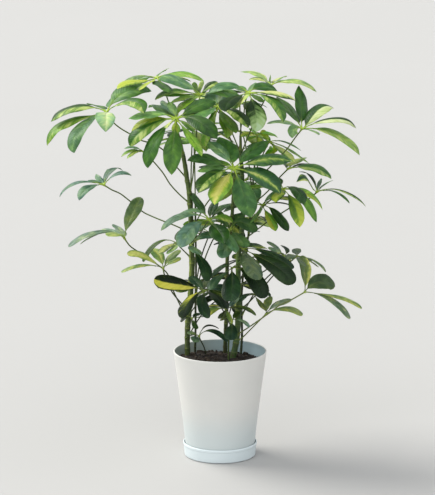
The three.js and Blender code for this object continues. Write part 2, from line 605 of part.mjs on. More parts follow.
    [[-52.9, 12.2, 223.8], [-66.3, 14.6, 251.8], [-77.8, 14.4, 277.4], [-86, 12.3, 304.1], [-95.8, 9.7, 315.7], [-107.2, 6, 325], [-123.4, -0.3, 338.2], [-136.3, -6.1, 347.9], [-147.6, -11.8, 357.5], [-156.3, -18, 371.4]],
    [
      [-155, -1.2, 392.1, -141.8, 12.7, 411.3, -130.9, 23.7, 432.3, -0.33, -0.7, 0.63, 27.5],
      [-181.8, -17, 396.9, -227.7, -24.4, 378.7, -248.1, -30.5, 360.7, -0.24, -0.31, 0.92, 17],
      [-178.7, -13.7, 391.4, -208.9, -16.5, 378.1, -229, -19.9, 362.6, -0.32, -0.08, 0.94, 10],
      [-166.2, -3.3, 377.9, -179.1, 8.7, 381.3, -196.1, 16.9, 379.9, 0.05, -0.13, 0.99, 18.8],
      [-160.3, 8.6, 371.4, -165.4, 34.7, 373, -173, 60, 377.7, 0.44, 0.02, 0.9, 25],
      [-160.6, -41.9, 385.9, -168, -66.3, 393.8, -180.2, -91.7, 391.2, 0.22, 0.12, 0.97, 25],
    ],
  ],
  [
    "leaf_back_05",
    0,
    [[39.3, 39.8, 307.4], [46.5, 94.7, 343.1], [57, 144.5, 372.4]],
    [
      [28.7, 149.5, 375.2, 1.5, 154.5, 369.3, -26.4, 159, 357.4, -0.16, 0.04, 0.99, 24.9],
      [40.4, 124.5, 377.6, 24, 104.8, 376.8, 6.6, 83.8, 370.3, -0.09, 0.04, 1, 24.9],
      [62.5, 117.8, 384.8, 68.3, 89.5, 388.7, 74.6, 58.5, 386.3, 0.29, 0.21, 0.93, 24.9],
      [78.8, 158.2, 375.2, 98.4, 170.6, 365.5, 115.4, 181.3, 346.8, 0.19, 0.34, 0.92, 24.9],
      [62.8, 173.3, 373.9, 68, 199, 363, 72.9, 222.8, 343.5, 0.25, 0.29, 0.92, 24.9],
      [40, 163.7, 379.3, 23.5, 182.2, 372, 7.6, 200.1, 357.3, -0.3, 0, 0.96, 24.9],
    ],
  ],
  [
    "leaf_back_06",
    0,
    [[-40.6, 25.8, 267.7], [-23, 13.9, 336.2], [3, 81.4, 377.7]],
    [
      [-18.8, 89.6, 380.9, -39.9, 97.6, 377.7, -61.5, 105.7, 368.5, 0.05, 0.47, 0.88, 24.8],
      [-21.6, 73.7, 384.9, -45.8, 66.5, 378.3, -67.9, 59.2, 361.4, -0.22, 0.03, 0.98, 24.8],
      [-11.1, 67.8, 389.5, -26.4, 53.3, 385.9, -41.9, 35.1, 372.7, 0.02, -0.09, 1, 24.8],
      [15.1, 60.8, 386.9, 27.1, 41.2, 377.6, 37.7, 22.2, 356.4, 0.17, -0.15, 0.97, 24.8],
      [21.4, 75.7, 385.4, 40.4, 69.7, 382.3, 59.2, 63.9, 372.5, 0.1, 0.01, 1, 24.8],
      [30.4, 93.4, 382.1, 57, 105, 377, 84.2, 116.9, 364.8, 0.27, -0.29, 0.92, 24.8],
      [12.4, 102.8, 387, 21.8, 123.5, 381.7, 30.8, 144.7, 366.9, -0.34, 0.32, 0.88, 24.8],
      [-3.8, 106.1, 381.7, -10.5, 130.2, 378.5, -17.4, 155.4, 370.4, -0.26, 0.02, 0.97, 24.8],
    ],
  ],
  [
    "leaf_front_07",
    0,
    [[17, -2.4, 375.4], [16.7, -14.4, 381.5], [16.2, -26, 387.3]],
    [
      [12.5, -51.7, 380.9, 8, -75.5, 370.4, 3, -98.2, 357.3, -0.06, -0.4, 0.91, 26],
      [22.3, -20.6, 412.2, 49, -24.3, 395, 60.2, -26.5, 384.9, 0.2, -0.77, 0.61, 22.4],
      [25.1, -51.3, 388.3, 33.5, -75.8, 383.5, 41.5, -100, 374.9, 0.08, -0.18, 0.98, 26],
      [23, -15.8, 395.4, 30.1, -5.7, 403.3, 37.6, 4.3, 411, -0.19, -0.52, 0.84, 16],
      [9.2, -15.5, 393.6, 3.7, -6.1, 402.2, -0.1, 1.8, 413.2, 0.32, -0.58, 0.75, 15.7],
      [-4.4, -20.8, 396.7, -25.6, -16, 397.9, -48.4, -8.1, 394.5, 0.2, 0.44, 0.88, 25],
      [33.2, -12.9, 395.1, 50.5, 0.4, 395.6, 69.3, 15.6, 392.3, -0.02, -0.06, 1, 25],
    ],
  ],
  [
    "leaf_front_08",
    1,
    [[-40.3, 24.3, 359.8], [-31.3, 0.2, 378.4], [-23, -30.6, 398.2], [-18, -50, 408.9]],
    [
      [-42, -46, 427.3, -80.5, -48.4, 416.3, -95.8, -53.6, 392.2, -0.32, -0.34, 0.88, 21],
      [-28, -32, 428.2, -56.1, -21.2, 423.7, -73.6, -17.3, 406.3, -0.24, 0, 0.97, 26.3],
      [-38.6, -69.9, 411.8, -56.4, -90.8, 397.2, -64.3, -108.3, 376.7, 0.06, -0.61, 0.79, 29.3],
      [-11.2, -76.9, 404.3, 2.2, -103.3, 401.6, 6.1, -127.7, 386.6, -0.2, -0.33, 0.92, 31],
      [1.3, -74, 401.1, 15.4, -99.4, 387.4, 25.3, -125.3, 372.2, 0.4, -0.25, 0.88, 29],
      [-15.7, -35.8, 415.7, -12, -23, 424.1, -6.7, -12.1, 434.4, -0.42, -0.43, 0.8, 17.8],
      [-7.4, -21.4, 413.2, 4.2, 8.3, 425.4, 29.6, 28.3, 421.3, -0.27, -0.02, 0.96, 29],
      [-29, -28, 419.5, -39.2, -7.5, 430, -42.9, 13.2, 441.4, 0.56, -0.08, 0.82, 29],
      [-4.4, -48.5, 415.9, 8.5, -48.7, 414.6, 20.9, -50.7, 405.7, 0.16, -0.49, 0.86, 16.6],
    ],
  ],
  [
    "leaf_centre_03",
    0,
    [[47.3, 43.6, 367.4], [52.8, 37, 384.2], [61, 34.8, 401.5], [69.3, 38, 416]],
    [
      [88.8, 35.3, 424.4, 116.4, 31.3, 421.9, 128.4, 26.3, 409.1, 0.26, -0.09, 0.96, 9],
      [90.2, 33, 414.5, 101.7, 24.8, 391.4, 113.6, 19.3, 376.9, 0.48, -0.62, 0.62, 21.9],
      [76.7, 30.5, 403.1, 86.8, 24.4, 391, 92.2, 18.9, 376.2, 0.36, -0.75, 0.56, 17.9],
      [65, 5, 415.7, 59.1, -27.4, 412.8, 51.6, -59.3, 407.5, -0.66, 0.05, 0.75, 22],
      [58.1, 68.3, 420.3, 47, 100.1, 412.7, 36.6, 125.9, 398, 0.06, 0.23, 0.97, 21.1],
      [47, 38.2, 420.4, 25.6, 37.8, 416.4, 4.8, 38.8, 405, -0.23, -0.2, 0.95, 21.1],
      [84.4, 50.9, 425.8, 100.6, 64.8, 424.6, 117.5, 79.2, 417.2, -0.29, 0.31, 0.9, 21.1],
      [75.9, 45.2, 423, 85.8, 53.2, 433.1, 102.3, 59.3, 438.5, 0, -0.45, 0.89, 11],
    ],
  ],
  [
    "leaf_back_07",
    0,
    [[35.4, 14.8, 375.9], [37.4, 65.8, 413], [40.1, 124.1, 440.9]],
    [
      [59.5, 127.2, 450.6, 80.2, 130.4, 446.5, 98.6, 133.3, 432.5, 0.1, 0.23, 0.97, 26.2],
      [52.6, 142.5, 448.1, 65.3, 161.2, 448.8, 78.8, 181.1, 442.8, 0.06, -0.07, 1, 26.2],
      [33.8, 148.5, 455.6, 26.7, 175.9, 457.3, 19.3, 204.9, 449.6, -0.1, -0.13, 0.99, 26.2],
      [14.3, 143.3, 448.3, -10, 161.5, 438.2, -31.2, 177.3, 415.3, -0.03, 0.4, 0.92, 26.2],
      [12.1, 116.7, 445.3, -14, 108.7, 438.4, -38.8, 103.1, 422.8, -0.27, 0.05, 0.96, 26.2],
      [23.6, 96.7, 447.1, 8.1, 70.9, 437.5, -7, 45.8, 419.5, 0.32, -0.43, 0.85, 26.2],
      [47.7, 96.4, 445.8, 54.6, 71, 435.5, 60.9, 48, 415.9, -0.15, -0.34, 0.93, 26.2],
      [64.6, 114.3, 448.1, 88.5, 104.8, 441.3, 110.3, 96.1, 424.4, 0.22, -0.03, 0.98, 26.2],
    ],
  ],
  [
    "leaf_right_05",
    1,
    [[33.2, 13.2, 357.5], [62.9, 43.7, 374.3], [82.9, 53.2, 387.6], [99.5, 54.2, 397.5], [114.2, 50.6, 407.6], [132.1, 40.7, 418.8], [148.1, 26.6, 430], [159, 12, 443]],
    [
      [186.5, 15, 456.8, 220.8, 11.4, 440.2, 239.3, 7.1, 420.5, 0.41, -0.16, 0.9, 12],
      [176.3, -4.2, 454.3, 198.3, -22, 450.8, 210, -37.2, 433.6, 0.26, -0.08, 0.96, 11],
      [148.7, -7.7, 448.4, 141.7, -20, 489.3, 124.5, -39.5, 469.5, 0.83, -0.12, 0.55, 23],
      [156.3, 34.1, 453.3, 152.8, 57.3, 470.8, 131, 70.6, 465.3, 0.57, -0.07, 0.82, 23],
      [160.8, 31.1, 445.3, 163.3, 49.7, 449, 167.5, 67.2, 455.8, -0.58, -0.11, 0.81, 18.1],
      [164.8, 39.8, 445.1, 173.4, 66.5, 447, 188.4, 90.6, 448, -0.32, 0.07, 0.94, 23],
    ],
  ],
  [
    "leaf_right_06",
    0,
    [[36, 15.2, 381.8], [54.3, 28.6, 397.7], [74, 22.8, 419.1], [89.9, 3, 438], [102.3, -22, 454.6]],
    [
      [116.9, -40.3, 470.2, 132.4, -63.3, 457.9, 133.1, -82.3, 440.9, 0.19, -0.33, 0.92, 24],
      [119.6, -36, 443, 125.6, -49.2, 420.9, 129.3, -60.1, 399.4, 0.23, -0.79, 0.56, 24.1],
      [133.2, -21.6, 456.6, 150.2, -28, 426.8, 157.7, -33.4, 402.1, 0.67, -0.49, 0.56, 24],
      [127.2, -7.2, 455.2, 158, 2.2, 442.4, 168.7, 4.3, 415.2, 0.61, -0.23, 0.76, 24],
      [96.1, -46.6, 456.2, 92, -71.3, 453.5, 89.4, -95.9, 447.7, -0.26, -0.08, 0.96, 24],
      [98.6, 2.7, 463.1, 88.3, 24.7, 468.2, 69.2, 42.8, 468.9, 0.15, -0.1, 0.98, 24],
      [79.2, -15.4, 460.4, 56.2, -8.8, 458.4, 32, -1.8, 451, 0.07, 0.41, 0.91, 23],
    ],
  ],
  [
    "leaf_left_06",
    1,
    [[-47.9, 3.3, 375.9], [-72.4, 4.6, 387.5], [-95.5, 13.5, 394.9], [-115.5, 27.7, 400.4], [-127.3, 36.8, 404.5], [-146.9, 34.4, 421.8], [-164.5, 20.1, 438.9], [-176.9, 4.5, 447.8], [-189.6, -5, 457.9]],
    [
      [-214.1, -2.9, 467.6, -249.1, -3.5, 464.7, -262.2, -9.2, 438.8, -0.32, -0.19, 0.93, 14],
      [-204.4, -19.6, 463.8, -223.2, -34.2, 459.3, -228.4, -47.9, 441.5, -0.15, -0.35, 0.92, 20],
      [-196.4, 10.8, 459.5, -205.3, 25.2, 460.1, -217.6, 37.2, 459, -0.01, -0.02, 1, 17.3],
      [-193.1, 7.1, 460.9, -197.6, 18.4, 464.7, -204, 28.4, 469.9, 0.11, -0.31, 0.94, 12.5],
      [-188.8, 17.5, 460, -187.9, 39.6, 463.6, -187.2, 60.7, 471.4, -0.72, -0.12, 0.68, 20],
      [-190.1, 12.5, 465.4, -178.8, 33.2, 490.4, -160, 40.2, 473.5, -0.36, -0.14, 0.92, 20],
      [-180, -1.8, 472.6, -162.4, 0.9, 485.3, -144.7, -1.7, 473.1, -0.23, -0.16, 0.96, 17.5],
    ],
  ],
  [
    "leaf_back_08",
    0,
    [[-47.9, 3.2, 378.6], [-17.5, 33.2, 425.9], [28.1, 63.1, 463.6]],
    [
      [53.5, 64.3, 470.1, 78.6, 66.1, 464.3, 101.9, 66.5, 448.4, 0.18, 0.13, 0.97, 21.5],
      [41.9, 80.9, 467.5, 55.1, 97.6, 462.7, 68.2, 115, 451.4, 0.62, -0.3, 0.72, 21.5],
      [26.4, 75.1, 465.9, 24.8, 83.3, 460.9, 23.2, 95.7, 448.6, -0.03, 0.32, 0.95, 21.5],
      [12.2, 84, 462.7, -2.4, 103.2, 454.5, -16.9, 122.3, 440.5, -0.16, 0.25, 0.95, 21.5],
      [6.7, 58.7, 472.8, -14.5, 54.3, 465.1, -32.5, 50.5, 448, -0.21, -0.19, 0.96, 21.5],
      [13, 44.6, 468.9, -2.1, 26.2, 469.9, -18.5, 6.1, 468.1, -0.22, 0.25, 0.94, 21.5],
      [27.2, 51.3, 466.5, 26.3, 41.3, 461.4, 25.5, 26.2, 449.5, -0.09, -0.1, 0.99, 21.5],
      [42.2, 46.7, 476.8, 58.3, 27.9, 474.5, 72.8, 11.6, 460.2, 0.48, 0.36, 0.8, 21.5],
    ],
  ],
  [
    "leaf_right_07",
    0,
    [[37.1, 17.2, 405.3], [62.6, 35.7, 424.9], [79.1, 38.9, 439.4], [98.6, 32.6, 464.1], [111.5, 22, 479.5]],
    [
      [134.8, 23.6, 486.8, 168.6, 23.2, 485, 182, 18.5, 463.4, 0.27, -0.25, 0.93, 33],
      [118.1, 45.6, 483.5, 128, 68.7, 485.7, 136.4, 91.5, 486.9, -0.3, -0.06, 0.95, 33],
      [107.3, 46.2, 480.4, 102.9, 69.8, 484.1, 98.2, 92.7, 491.7, 0.55, -0.06, 0.83, 22],
      [124.5, 30.9, 485.3, 137.9, 39.7, 485.6, 152.2, 50.1, 482.6, -0.08, 0.03, 1, 21.1],
    ],
  ],
  [
    "leaf_front_09",
    0,
    [[23.2, -21.3, 472.7], [23.3, -36.6, 483.8], [22.4, -52, 494.9]],
    [
      [-2.2, -50.6, 501.2, -26.4, -46.4, 520.8, -53.4, -49.3, 507.5, 0.16, -0.43, 0.89, 29.7],
      [0, -72.6, 496.7, -23.8, -92.6, 487.7, -35.3, -110, 466.8, -0.19, -0.37, 0.91, 33],
      [12.4, -77.4, 484, -2.7, -100.7, 472.1, -9.7, -121, 449.5, -0.26, -0.45, 0.85, 37.9],
      [30.2, -72.7, 473.6, 42.8, -90.7, 451.6, 49.4, -105.4, 425.2, 0.17, -0.76, 0.63, 37.9],
      [51.6, -57.5, 490.9, 81.2, -63, 480.9, 98, -70.4, 457.4, 0.17, -0.76, 0.63, 33],
      [51.5, -49.9, 504.7, 83.1, -47.1, 517.7, 114.3, -49.8, 505.1, -0.09, -0.34, 0.93, 39.6],
      [39.6, -28.1, 503.3, 52.4, -5, 522.2, 79.9, 10, 528.2, -0.18, -0.39, 0.9, 33],
      [18, -23.9, 504.9, 16.2, 3.3, 517.7, -1, 25.4, 533.8, 0.3, -0.41, 0.86, 37.9],
      [3.7, -34.7, 499.1, -15.1, -17, 494.5, -34.4, 2, 486.9, -0.13, -0.04, 0.99, 31.7],
      [3, -46.9, 495.5, -19.6, -42.1, 494.5, -37.3, -39.3, 487.3, 0, -0.45, 0.89, 19],
      [12.7, -39.3, 510.4, -5, -26.7, 525.8, -21.2, -17.3, 532, 0, -0.45, 0.89, 22],
      [32.1, -47.2, 487.3, 48.2, -41, 486, 67.6, -35.8, 484.9, 0, -0.45, 0.89, 12],
      [15.9, -46.5, 500.4, 3, -41.4, 504.2, -11.5, -37.5, 505.1, 0, -0.45, 0.89, 9],
    ],
  ],
  [
    "leaf_back_09",
    0,
    [[-40.7, 22.3, 421.6], [-42.1, 79.4, 468.4], [-44, 143.4, 506.6]],
    [
      [-18.9, 131.1, 513.6, 5.9, 119.1, 508.8, 29, 107.9, 492.2, 0.27, 0.18, 0.94, 27.6],
      [-15, 153.9, 513.7, 12.9, 164, 505.2, 38, 173.1, 484.9, 0.23, 0.06, 0.97, 27.6],
      [-34.9, 173.3, 504, -26.5, 201.3, 494, -18.3, 228.1, 477.2, 0.01, 0.33, 0.94, 27.6],
      [-57.3, 171.3, 507.2, -69.8, 197.7, 500, -82.9, 225.4, 488.4, -0.13, 0.16, 0.98, 27.6],
      [-71.6, 150.8, 507.9, -97.1, 157.7, 499.5, -122.1, 164.5, 483.8, -0.27, 0.03, 0.96, 27.6],
      [-67.7, 134, 516.3, -92.2, 124.2, 513.7, -117.3, 114.2, 503.6, -0.16, 0.31, 0.94, 27.6],
      [-52.8, 121.4, 513.3, -61.7, 99.8, 514.9, -71.4, 74.4, 512.7, 0.28, 0.01, 0.96, 27.6],
      [-37.2, 113.7, 518.3, -30, 82.5, 519.7, -22.5, 50.6, 511.3, -0.26, -0.02, 0.96, 27.6],
    ],
  ],
  [
    "leaf_left_07",
    1,
    [[-48.4, 1.4, 425.1], [-65.6, 3.8, 439.6], [-82, 6.9, 457.3], [-93.4, 10.1, 475], [-111.4, 13.8, 496], [-124.5, 16, 508.9]],
    [
      [-138.5, 17.4, 515.1, -150.9, 16.7, 511.9, -162.2, 14.4, 501.7, -0.28, -0.39, 0.88, 10],
      [-135.9, 13.4, 512.4, -144.9, 10.2, 509, -152.1, 6.4, 499.8, -0.29, -0.39, 0.87, 10],
      [-134.4, 17.8, 517, -145.3, 18.2, 519.2, -157.2, 17.2, 514.5, 0.05, -0.23, 0.97, 10],
      [-121.6, 27, 511.3, -119.4, 37.5, 515.1, -118.7, 47, 521.7, -0.61, -0.23, 0.76, 10],
      [-117.3, 23.8, 512.3, -108.9, 30.1, 514.6, -98.7, 34.5, 515.5, -0.07, -0.22, 0.97, 10],
      [-131, 25.4, 509.7, -137.3, 34.5, 508.4, -144, 44, 504.9, -0.18, 0.02, 0.98, 9.6],
    ],
  ],
  [
    "leaf_right_08",
    0,
    [[55.6, 49.1, 464.4], [64.4, 57.8, 482.9], [72.6, 60.4, 500.9], [80.8, 58, 518.1]],
    [
      [99.8, 59.6, 525.3, 119, 57.5, 515.8, 133.6, 55, 504.3, 0.39, -0.06, 0.92, 13],
      [105.2, 62, 515, 126.3, 61.3, 496.7, 147.2, 60.5, 482.4, 0.57, -0.12, 0.82, 15.4],
      [94.2, 35.5, 514.8, 108.1, 15.6, 507.2, 122.2, -2.9, 495.7, 0.19, -0.25, 0.95, 18],
      [74.4, 37.6, 519.1, 66.4, 17.9, 518.1, 56.9, -1.2, 515.3, 0.09, -0.11, 0.99, 19.4],
      [68.4, 69.8, 530, 55.6, 81.3, 527.2, 43.6, 94.9, 513.9, 0.04, 0.18, 0.98, 21.1],
      [64.3, 62, 520.5, 49.1, 65.6, 514.7, 35.8, 68.8, 502.7, -0.31, 0.07, 0.95, 21.1],
      [95.7, 59, 506.1, 89, 61.7, 502.1, 72.5, 63.2, 495.1, 0, -0.45, 0.89, 22],
    ],
  ],
  [
    "leaf_back_10",
    0,
    [[53.1, 48.1, 433.7], [47.2, 96.8, 480.6], [38.1, 148.3, 518.7]],
    [
      [55.7, 160, 519.3, 71.5, 170.5, 511.7, 86, 180.1, 497.6, 0.17, 0.35, 0.92, 26.4],
      [46.4, 178.1, 518.5, 54.1, 205.5, 508.8, 61.3, 231.5, 490.2, 0.12, 0.29, 0.95, 26.4],
      [12.8, 150.1, 531.1, -13.4, 151.7, 526, -36.7, 154.1, 508.2, -0.12, 0.23, 0.97, 26.4],
      [13.9, 133.6, 527.7, -10.6, 118.7, 523.9, -34.3, 104.3, 509, -0.12, -0.01, 0.99, 26.4],
      [50.2, 124.3, 521, 61.7, 101.5, 515.3, 73.1, 79, 501.7, 0, -0.24, 0.97, 26.4],
      [64.3, 135, 519.2, 87.5, 123.1, 507.6, 107.6, 112.9, 486.2, 0.47, 0.13, 0.87, 26.4],
    ],
  ],
  [
    "leaf_centre_04",
    2,
    [[57.5, 49.9, 487.6], [59.3, 49.3, 501.2], [60.9, 48.7, 514.7], [60.8, 48, 531.5]],
    [
      [50.9, 49.1, 536.7, 41.6, 48.8, 535.1, 32.8, 47.3, 528.3, -0.2, -0.43, 0.88, 12.7],
      [72.5, 55.2, 535.5, 84.1, 59.9, 533.9, 95.7, 61.7, 525.8, 0.31, -0.19, 0.93, 15],
      [69.2, 55.9, 536.4, 75.9, 61, 533.6, 80.9, 63, 522.2, 0.7, -0.61, 0.38, 14.7],
      [63.8, 46.7, 526.5, 65.9, 45.3, 521.1, 67.4, 44, 515.5, 0.29, -0.9, 0.33, 8.5],
      [59, 60.4, 532.7, 56.2, 72.4, 534.4, 51.3, 83.7, 537.1, 0.41, -0.03, 0.91, 15],
      [50.8, 59.9, 534.4, 40.8, 72.7, 530.6, 31.2, 82.8, 522.8, -0.2, -0.04, 0.98, 14.4],
    ],
  ],
  [
    "leaf_back_11",
    1,
    [[-48.4, 1.3, 426.5], [-47.3, 37.6, 486], [-45.4, 71, 536.5]],
    [
      [-37, 45.3, 539.9, -29.3, 21.5, 531.1, -22.6, 0.6, 512.3, 0.28, -0.23, 0.93, 23.8],
      [-20.2, 65.9, 541.6, 3.8, 61, 534.6, 25.1, 56.6, 517.3, 0.27, 0.05, 0.96, 23.8],
      [-20.9, 85.7, 546.4, 4.3, 100.8, 545.4, 30.6, 116.6, 536.2, -0.03, 0.06, 1, 23.8],
      [-41.8, 94.9, 545, -38.2, 119.4, 545.8, -34.2, 146.1, 543.1, 0.31, -0.13, 0.94, 23.8],
      [-69.5, 88.9, 536.2, -92.3, 105.8, 529.3, -115.4, 122.9, 515.8, -0.19, 0.13, 0.97, 23.8],
      [-70.7, 63.6, 537.8, -95, 56.4, 533.5, -120.6, 48.9, 524.9, -0.2, 0.16, 0.97, 23.8],
      [-58.2, 41.4, 545.3, -71.1, 10.5, 545.7, -84.8, -18.4, 541.1, -0.15, 0.08, 0.99, 23.8],
    ],
  ],
  [
    "leaf_right_09",
    1,
    [[37.6, 19.7, 432.6], [55.6, 11.1, 454.8], [75, 3.4, 479.6], [84.7, 0.4, 490.1], [108.9, -5.4, 517.7], [121.8, -7.2, 536.2], [133, -8, 551.1]],
    [
      [125.4, 22.3, 563, 114.2, 51.7, 577.3, 94, 74.2, 592.3, 0.48, -0.2, 0.86, 36.2],
      [131.3, 21.3, 566.9, 137, 48.9, 586.5, 131.3, 71.2, 611.1, 0.71, -0.44, 0.55, 31.9],
      [143.9, 14.2, 552.2, 160.8, 42.8, 593.2, 187.4, 52.8, 575.7, -0.22, -0.3, 0.93, 37.7],
      [157.5, -5, 564.9, 200.3, -2.2, 577.9, 222.4, -7.5, 553.5, 0.02, -0.14, 0.99, 29],
      [166.8, -6.7, 557.3, 210.5, -11, 537.5, 228.1, -16.8, 510.6, 0.45, -0.28, 0.85, 31.9],
      [139.8, -42, 558.4, 147.6, -76.1, 561.7, 156.9, -110.2, 559, 0.26, 0.11, 0.96, 19],
      [123, -16, 558.1, 116, -22, 554.1, 117, -26, 539.1, 0, -0.95, 0.3, 17.8],
      [118.3, -5.6, 562.4, 95.4, -4.7, 566.6, 76.2, -6.3, 559, 0.09, -0.02, 1, 33.2],
    ],
  ],
  [
    "leaf_back_12",
    0,
    [[33.5, 27.1, 504.7], [13.7, 74.7, 543], [-16, 143.9, 569.7]],
    [
      [-6.9, 175.2, 572.8, 1.6, 206.2, 563, 9.1, 231.1, 544.5, -0.43, 0.39, 0.82, 22.4],
      [-25.3, 164.4, 580.7, -35.4, 186.5, 578.3, -45.2, 208.2, 566.5, -0.26, -0.07, 0.96, 22.4],
      [-40.1, 151.1, 576.6, -64.3, 158.4, 574.2, -88.6, 165.7, 563.2, -0.03, 0.18, 0.98, 22.4],
      [-34.5, 127.1, 572.9, -52.7, 110.6, 571.8, -72.1, 93, 566.4, 0.3, -0.39, 0.87, 22.4],
      [-13, 120.6, 577.7, -9.9, 96.7, 576.5, -6.6, 71.2, 570.8, 0.06, 0.02, 1, 22.4],
      [5.1, 130, 569.8, 25.2, 116.9, 564.7, 46.1, 103.2, 555.3, 0.38, 0.27, 0.89, 22.4],
      [7.7, 153.7, 573.8, 30.6, 163.6, 569, 54.1, 172.9, 558.5, 0.08, 0.19, 0.98, 22.4],
    ],
  ],
  [
    "leaf_left_08",
    1,
    [[-59.4, -6.4, 510.1], [-61.9, -12.4, 520.6], [-65, -20.6, 535.2], [-68.1, -30.8, 553.4], [-71.1, -42, 573.3]],
    [
      [-93.9, -38.8, 588.1, -123.6, -39.8, 583.5, -147.6, -41.8, 574.1, -0.12, -0.17, 0.98, 35.1],
      [-96.5, -41.4, 575.9, -136.5, -45.8, 556, -146, -51.2, 530.8, -0.42, -0.57, 0.71, 33],
      [-99, -54.6, 560.3, -116, -68.3, 530.9, -116.4, -79.9, 500.1, -0.52, -0.66, 0.55, 30],
      [-74.4, -63.7, 548.8, -78.4, -82.8, 522.1, -77.7, -98.2, 493, -0.18, -0.81, 0.56, 31],
      [-55.8, -68.8, 561.1, -39.2, -91.8, 546.3, -29.4, -112.5, 524.9, 0.43, -0.39, 0.82, 22],
      [-48.1, -64, 588.7, -22.2, -88.2, 572, -5, -108.6, 553.9, 0.03, -0.45, 0.89, 34.5],
      [-51.4, -29.3, 584, -32.6, -15.5, 599.9, -6.7, -6.1, 595.2, -0.02, -0.51, 0.86, 29.7],
      [-68.3, -6.5, 585, -51.3, 29.8, 593.7, -19.8, 48.1, 606.4, -0.37, -0.09, 0.93, 30],
      [-84.8, -4.6, 564.8, -84.8, 47, 590.3, -119, 71.9, 575.9, 0.23, -0.06, 0.97, 42],
      [-75, -9.2, 576.4, -82.5, 22.4, 581.6, -93.8, 52.6, 589, 0.46, -0.04, 0.89, 30],
      [-75.8, -62.2, 574.7, -80.7, -82.2, 573.5, -85.8, -101.9, 569.5, -0.49, 0.04, 0.87, 20],
      [-96.8, -37.4, 574.8, -125.8, -33.4, 573.2, -143.5, -34.3, 551.9, 0, -0.45, 0.89, 17],
      [-71.1, -32.8, 582.9, -77.5, -23.5, 592.4, -84, -16.3, 597.5, 0, -0.45, 0.89, 14],
      [-58.2, -36.2, 577.1, -45.3, -30, 582.3, -32.4, -26.3, 579.8, 0, -0.45, 0.89, 12],
      [-61.4, -38.6, 569.3, -50.1, -35.8, 562.1, -40.5, -34.7, 550.4, 0, -0.45, 0.89, 14],
      [-72.7, -47.1, 566.2, -71.1, -52.6, 557.5, -71.1, -57.6, 548.7, 0, -0.45, 0.89, 14],
    ],
  ],
  [
    "leaf_back_13",
    0,
    [[36.1, 23.2, 467.8], [34.7, 59, 527.3], [32.4, 91.8, 577.8]],
    [
      [43.2, 114.7, 575.7, 52.6, 134.8, 564.7, 61.1, 152.8, 546.5, 0.39, 0.27, 0.88, 24.5],
      [19.9, 106.8, 584.4, 7.8, 119.2, 582.3, -5, 138, 574.6, -0.11, 0.15, 0.98, 24.5],
      [9, 101.5, 588.9, -15.9, 111.8, 589, -42.6, 122.8, 584.4, 0.07, -0.05, 1, 24.5],
      [10.4, 81.4, 584.5, -11.6, 71, 582.4, -34, 60.4, 572.4, -0.1, 0.05, 0.99, 24.5],
      [24.8, 70.1, 589.1, 16.8, 47.4, 593.5, 7.8, 21.2, 594.1, -0.09, 0.25, 0.96, 24.5],
      [43.7, 67, 583.8, 55, 42.5, 581.5, 66.3, 17.9, 569.8, -0.19, -0.19, 0.96, 24.5],
      [48.4, 104.6, 579.2, 63.5, 116.8, 574.4, 78.9, 129.1, 565.2, 0.25, 0.02, 0.97, 24.5],
    ],
  ],
  [
    "leaf_left_09",
    1,
    [[-51.5, -1, 464.7], [-73.6, -0.8, 490.3], [-94.7, -0.5, 516.8], [-114.2, -1.8, 527], [-130.4, -3.4, 532.2], [-146.6, -4.3, 542.3], [-162.7, -5.2, 552.3], [-174, -5.5, 562.2], [-183.6, -5, 578.6]],
    [
      [-214.5, -1.6, 594.4, -253.2, -2.5, 590.2, -276.2, -8, 564.6, -0.26, -0.13, 0.96, 45],
      [-219.8, -7.3, 567.9, -275.7, -7.4, 567.6, -281.8, -16.5, 525.4, -0.39, -0.32, 0.86, 30],
      [-205.3, -23.4, 578, -248.5, -44.2, 551.1, -234.2, -60.3, 521, -0.44, -0.51, 0.74, 30],
      [-183.6, -37, 584.6, -181.6, -79, 587.6, -182.6, -91, 560.6, 0.13, -0.17, 0.98, 32.8],
      [-190.9, 30.3, 579.9, -201.8, 64.2, 579.2, -219.2, 95.5, 574.6, 0.21, 0.13, 0.97, 30],
      [-181.2, 32.9, 586.3, -172.9, 69.1, 593.1, -155.4, 102.7, 599.5, -0.53, -0.06, 0.84, 33],
      [-176.3, 17.5, 597.8, -142.8, 38.8, 622.2, -111.6, 45.5, 605.9, -0.06, -0.4, 0.92, 43.5],
      [-170.7, -21.2, 596.9, -127.9, -37.3, 615.3, -122.1, -63, 586.4, -0.26, -0.23, 0.94, 27.5],
    ],
  ],
  [
    "leaf_front_10",
    1,
    [[34.1, 26.3, 497.4], [26.2, 32.3, 509.3], [16.3, 33.6, 529], [6.4, 22.4, 557.5], [-3.4, -2, 586.3]],
    [
      [6.5, -22.2, 577.2, 10.6, -40.1, 562.6, 11, -56.7, 544.8, 0.6, -0.44, 0.67, 29.2],
      [6.6, -24.2, 579.5, 16.2, -44.3, 568.7, 25.5, -62.6, 554, 0.48, -0.26, 0.84, 32.4],
      [14.5, -22.1, 587.6, 35.9, -41.7, 582.1, 44.7, -59.2, 561.5, 0.21, -0.3, 0.93, 29.7],
      [-7.9, -16.3, 566.6, -28.3, -27.9, 550.8, -24.4, -38.4, 526.9, -0.69, -0.42, 0.58, 27],
      [-7.3, 16.6, 593.1, -13.1, 34.9, 598.5, -21.5, 52.8, 602.3, -0.18, -0.32, 0.93, 24.1],
      [-2.3, 14.1, 596.4, 3.9, 29.6, 603.8, 14.6, 44.6, 608.6, 0.04, -0.42, 0.91, 21.8],
      [-17.5, -23.9, 590, -28.3, -45.1, 582.9, -37.1, -65.7, 569.2, -0.36, -0.16, 0.92, 40.5],
      [-23.1, 14.9, 589.4, -42.4, 31.9, 586, -62.5, 48.2, 577.9, -0.02, 0.13, 0.99, 25.9],
      [-6.7, -1, 577.9, -13.2, -0.3, 567.8, -21.3, 0.7, 560.9, 0, -0.45, 0.89, 14],
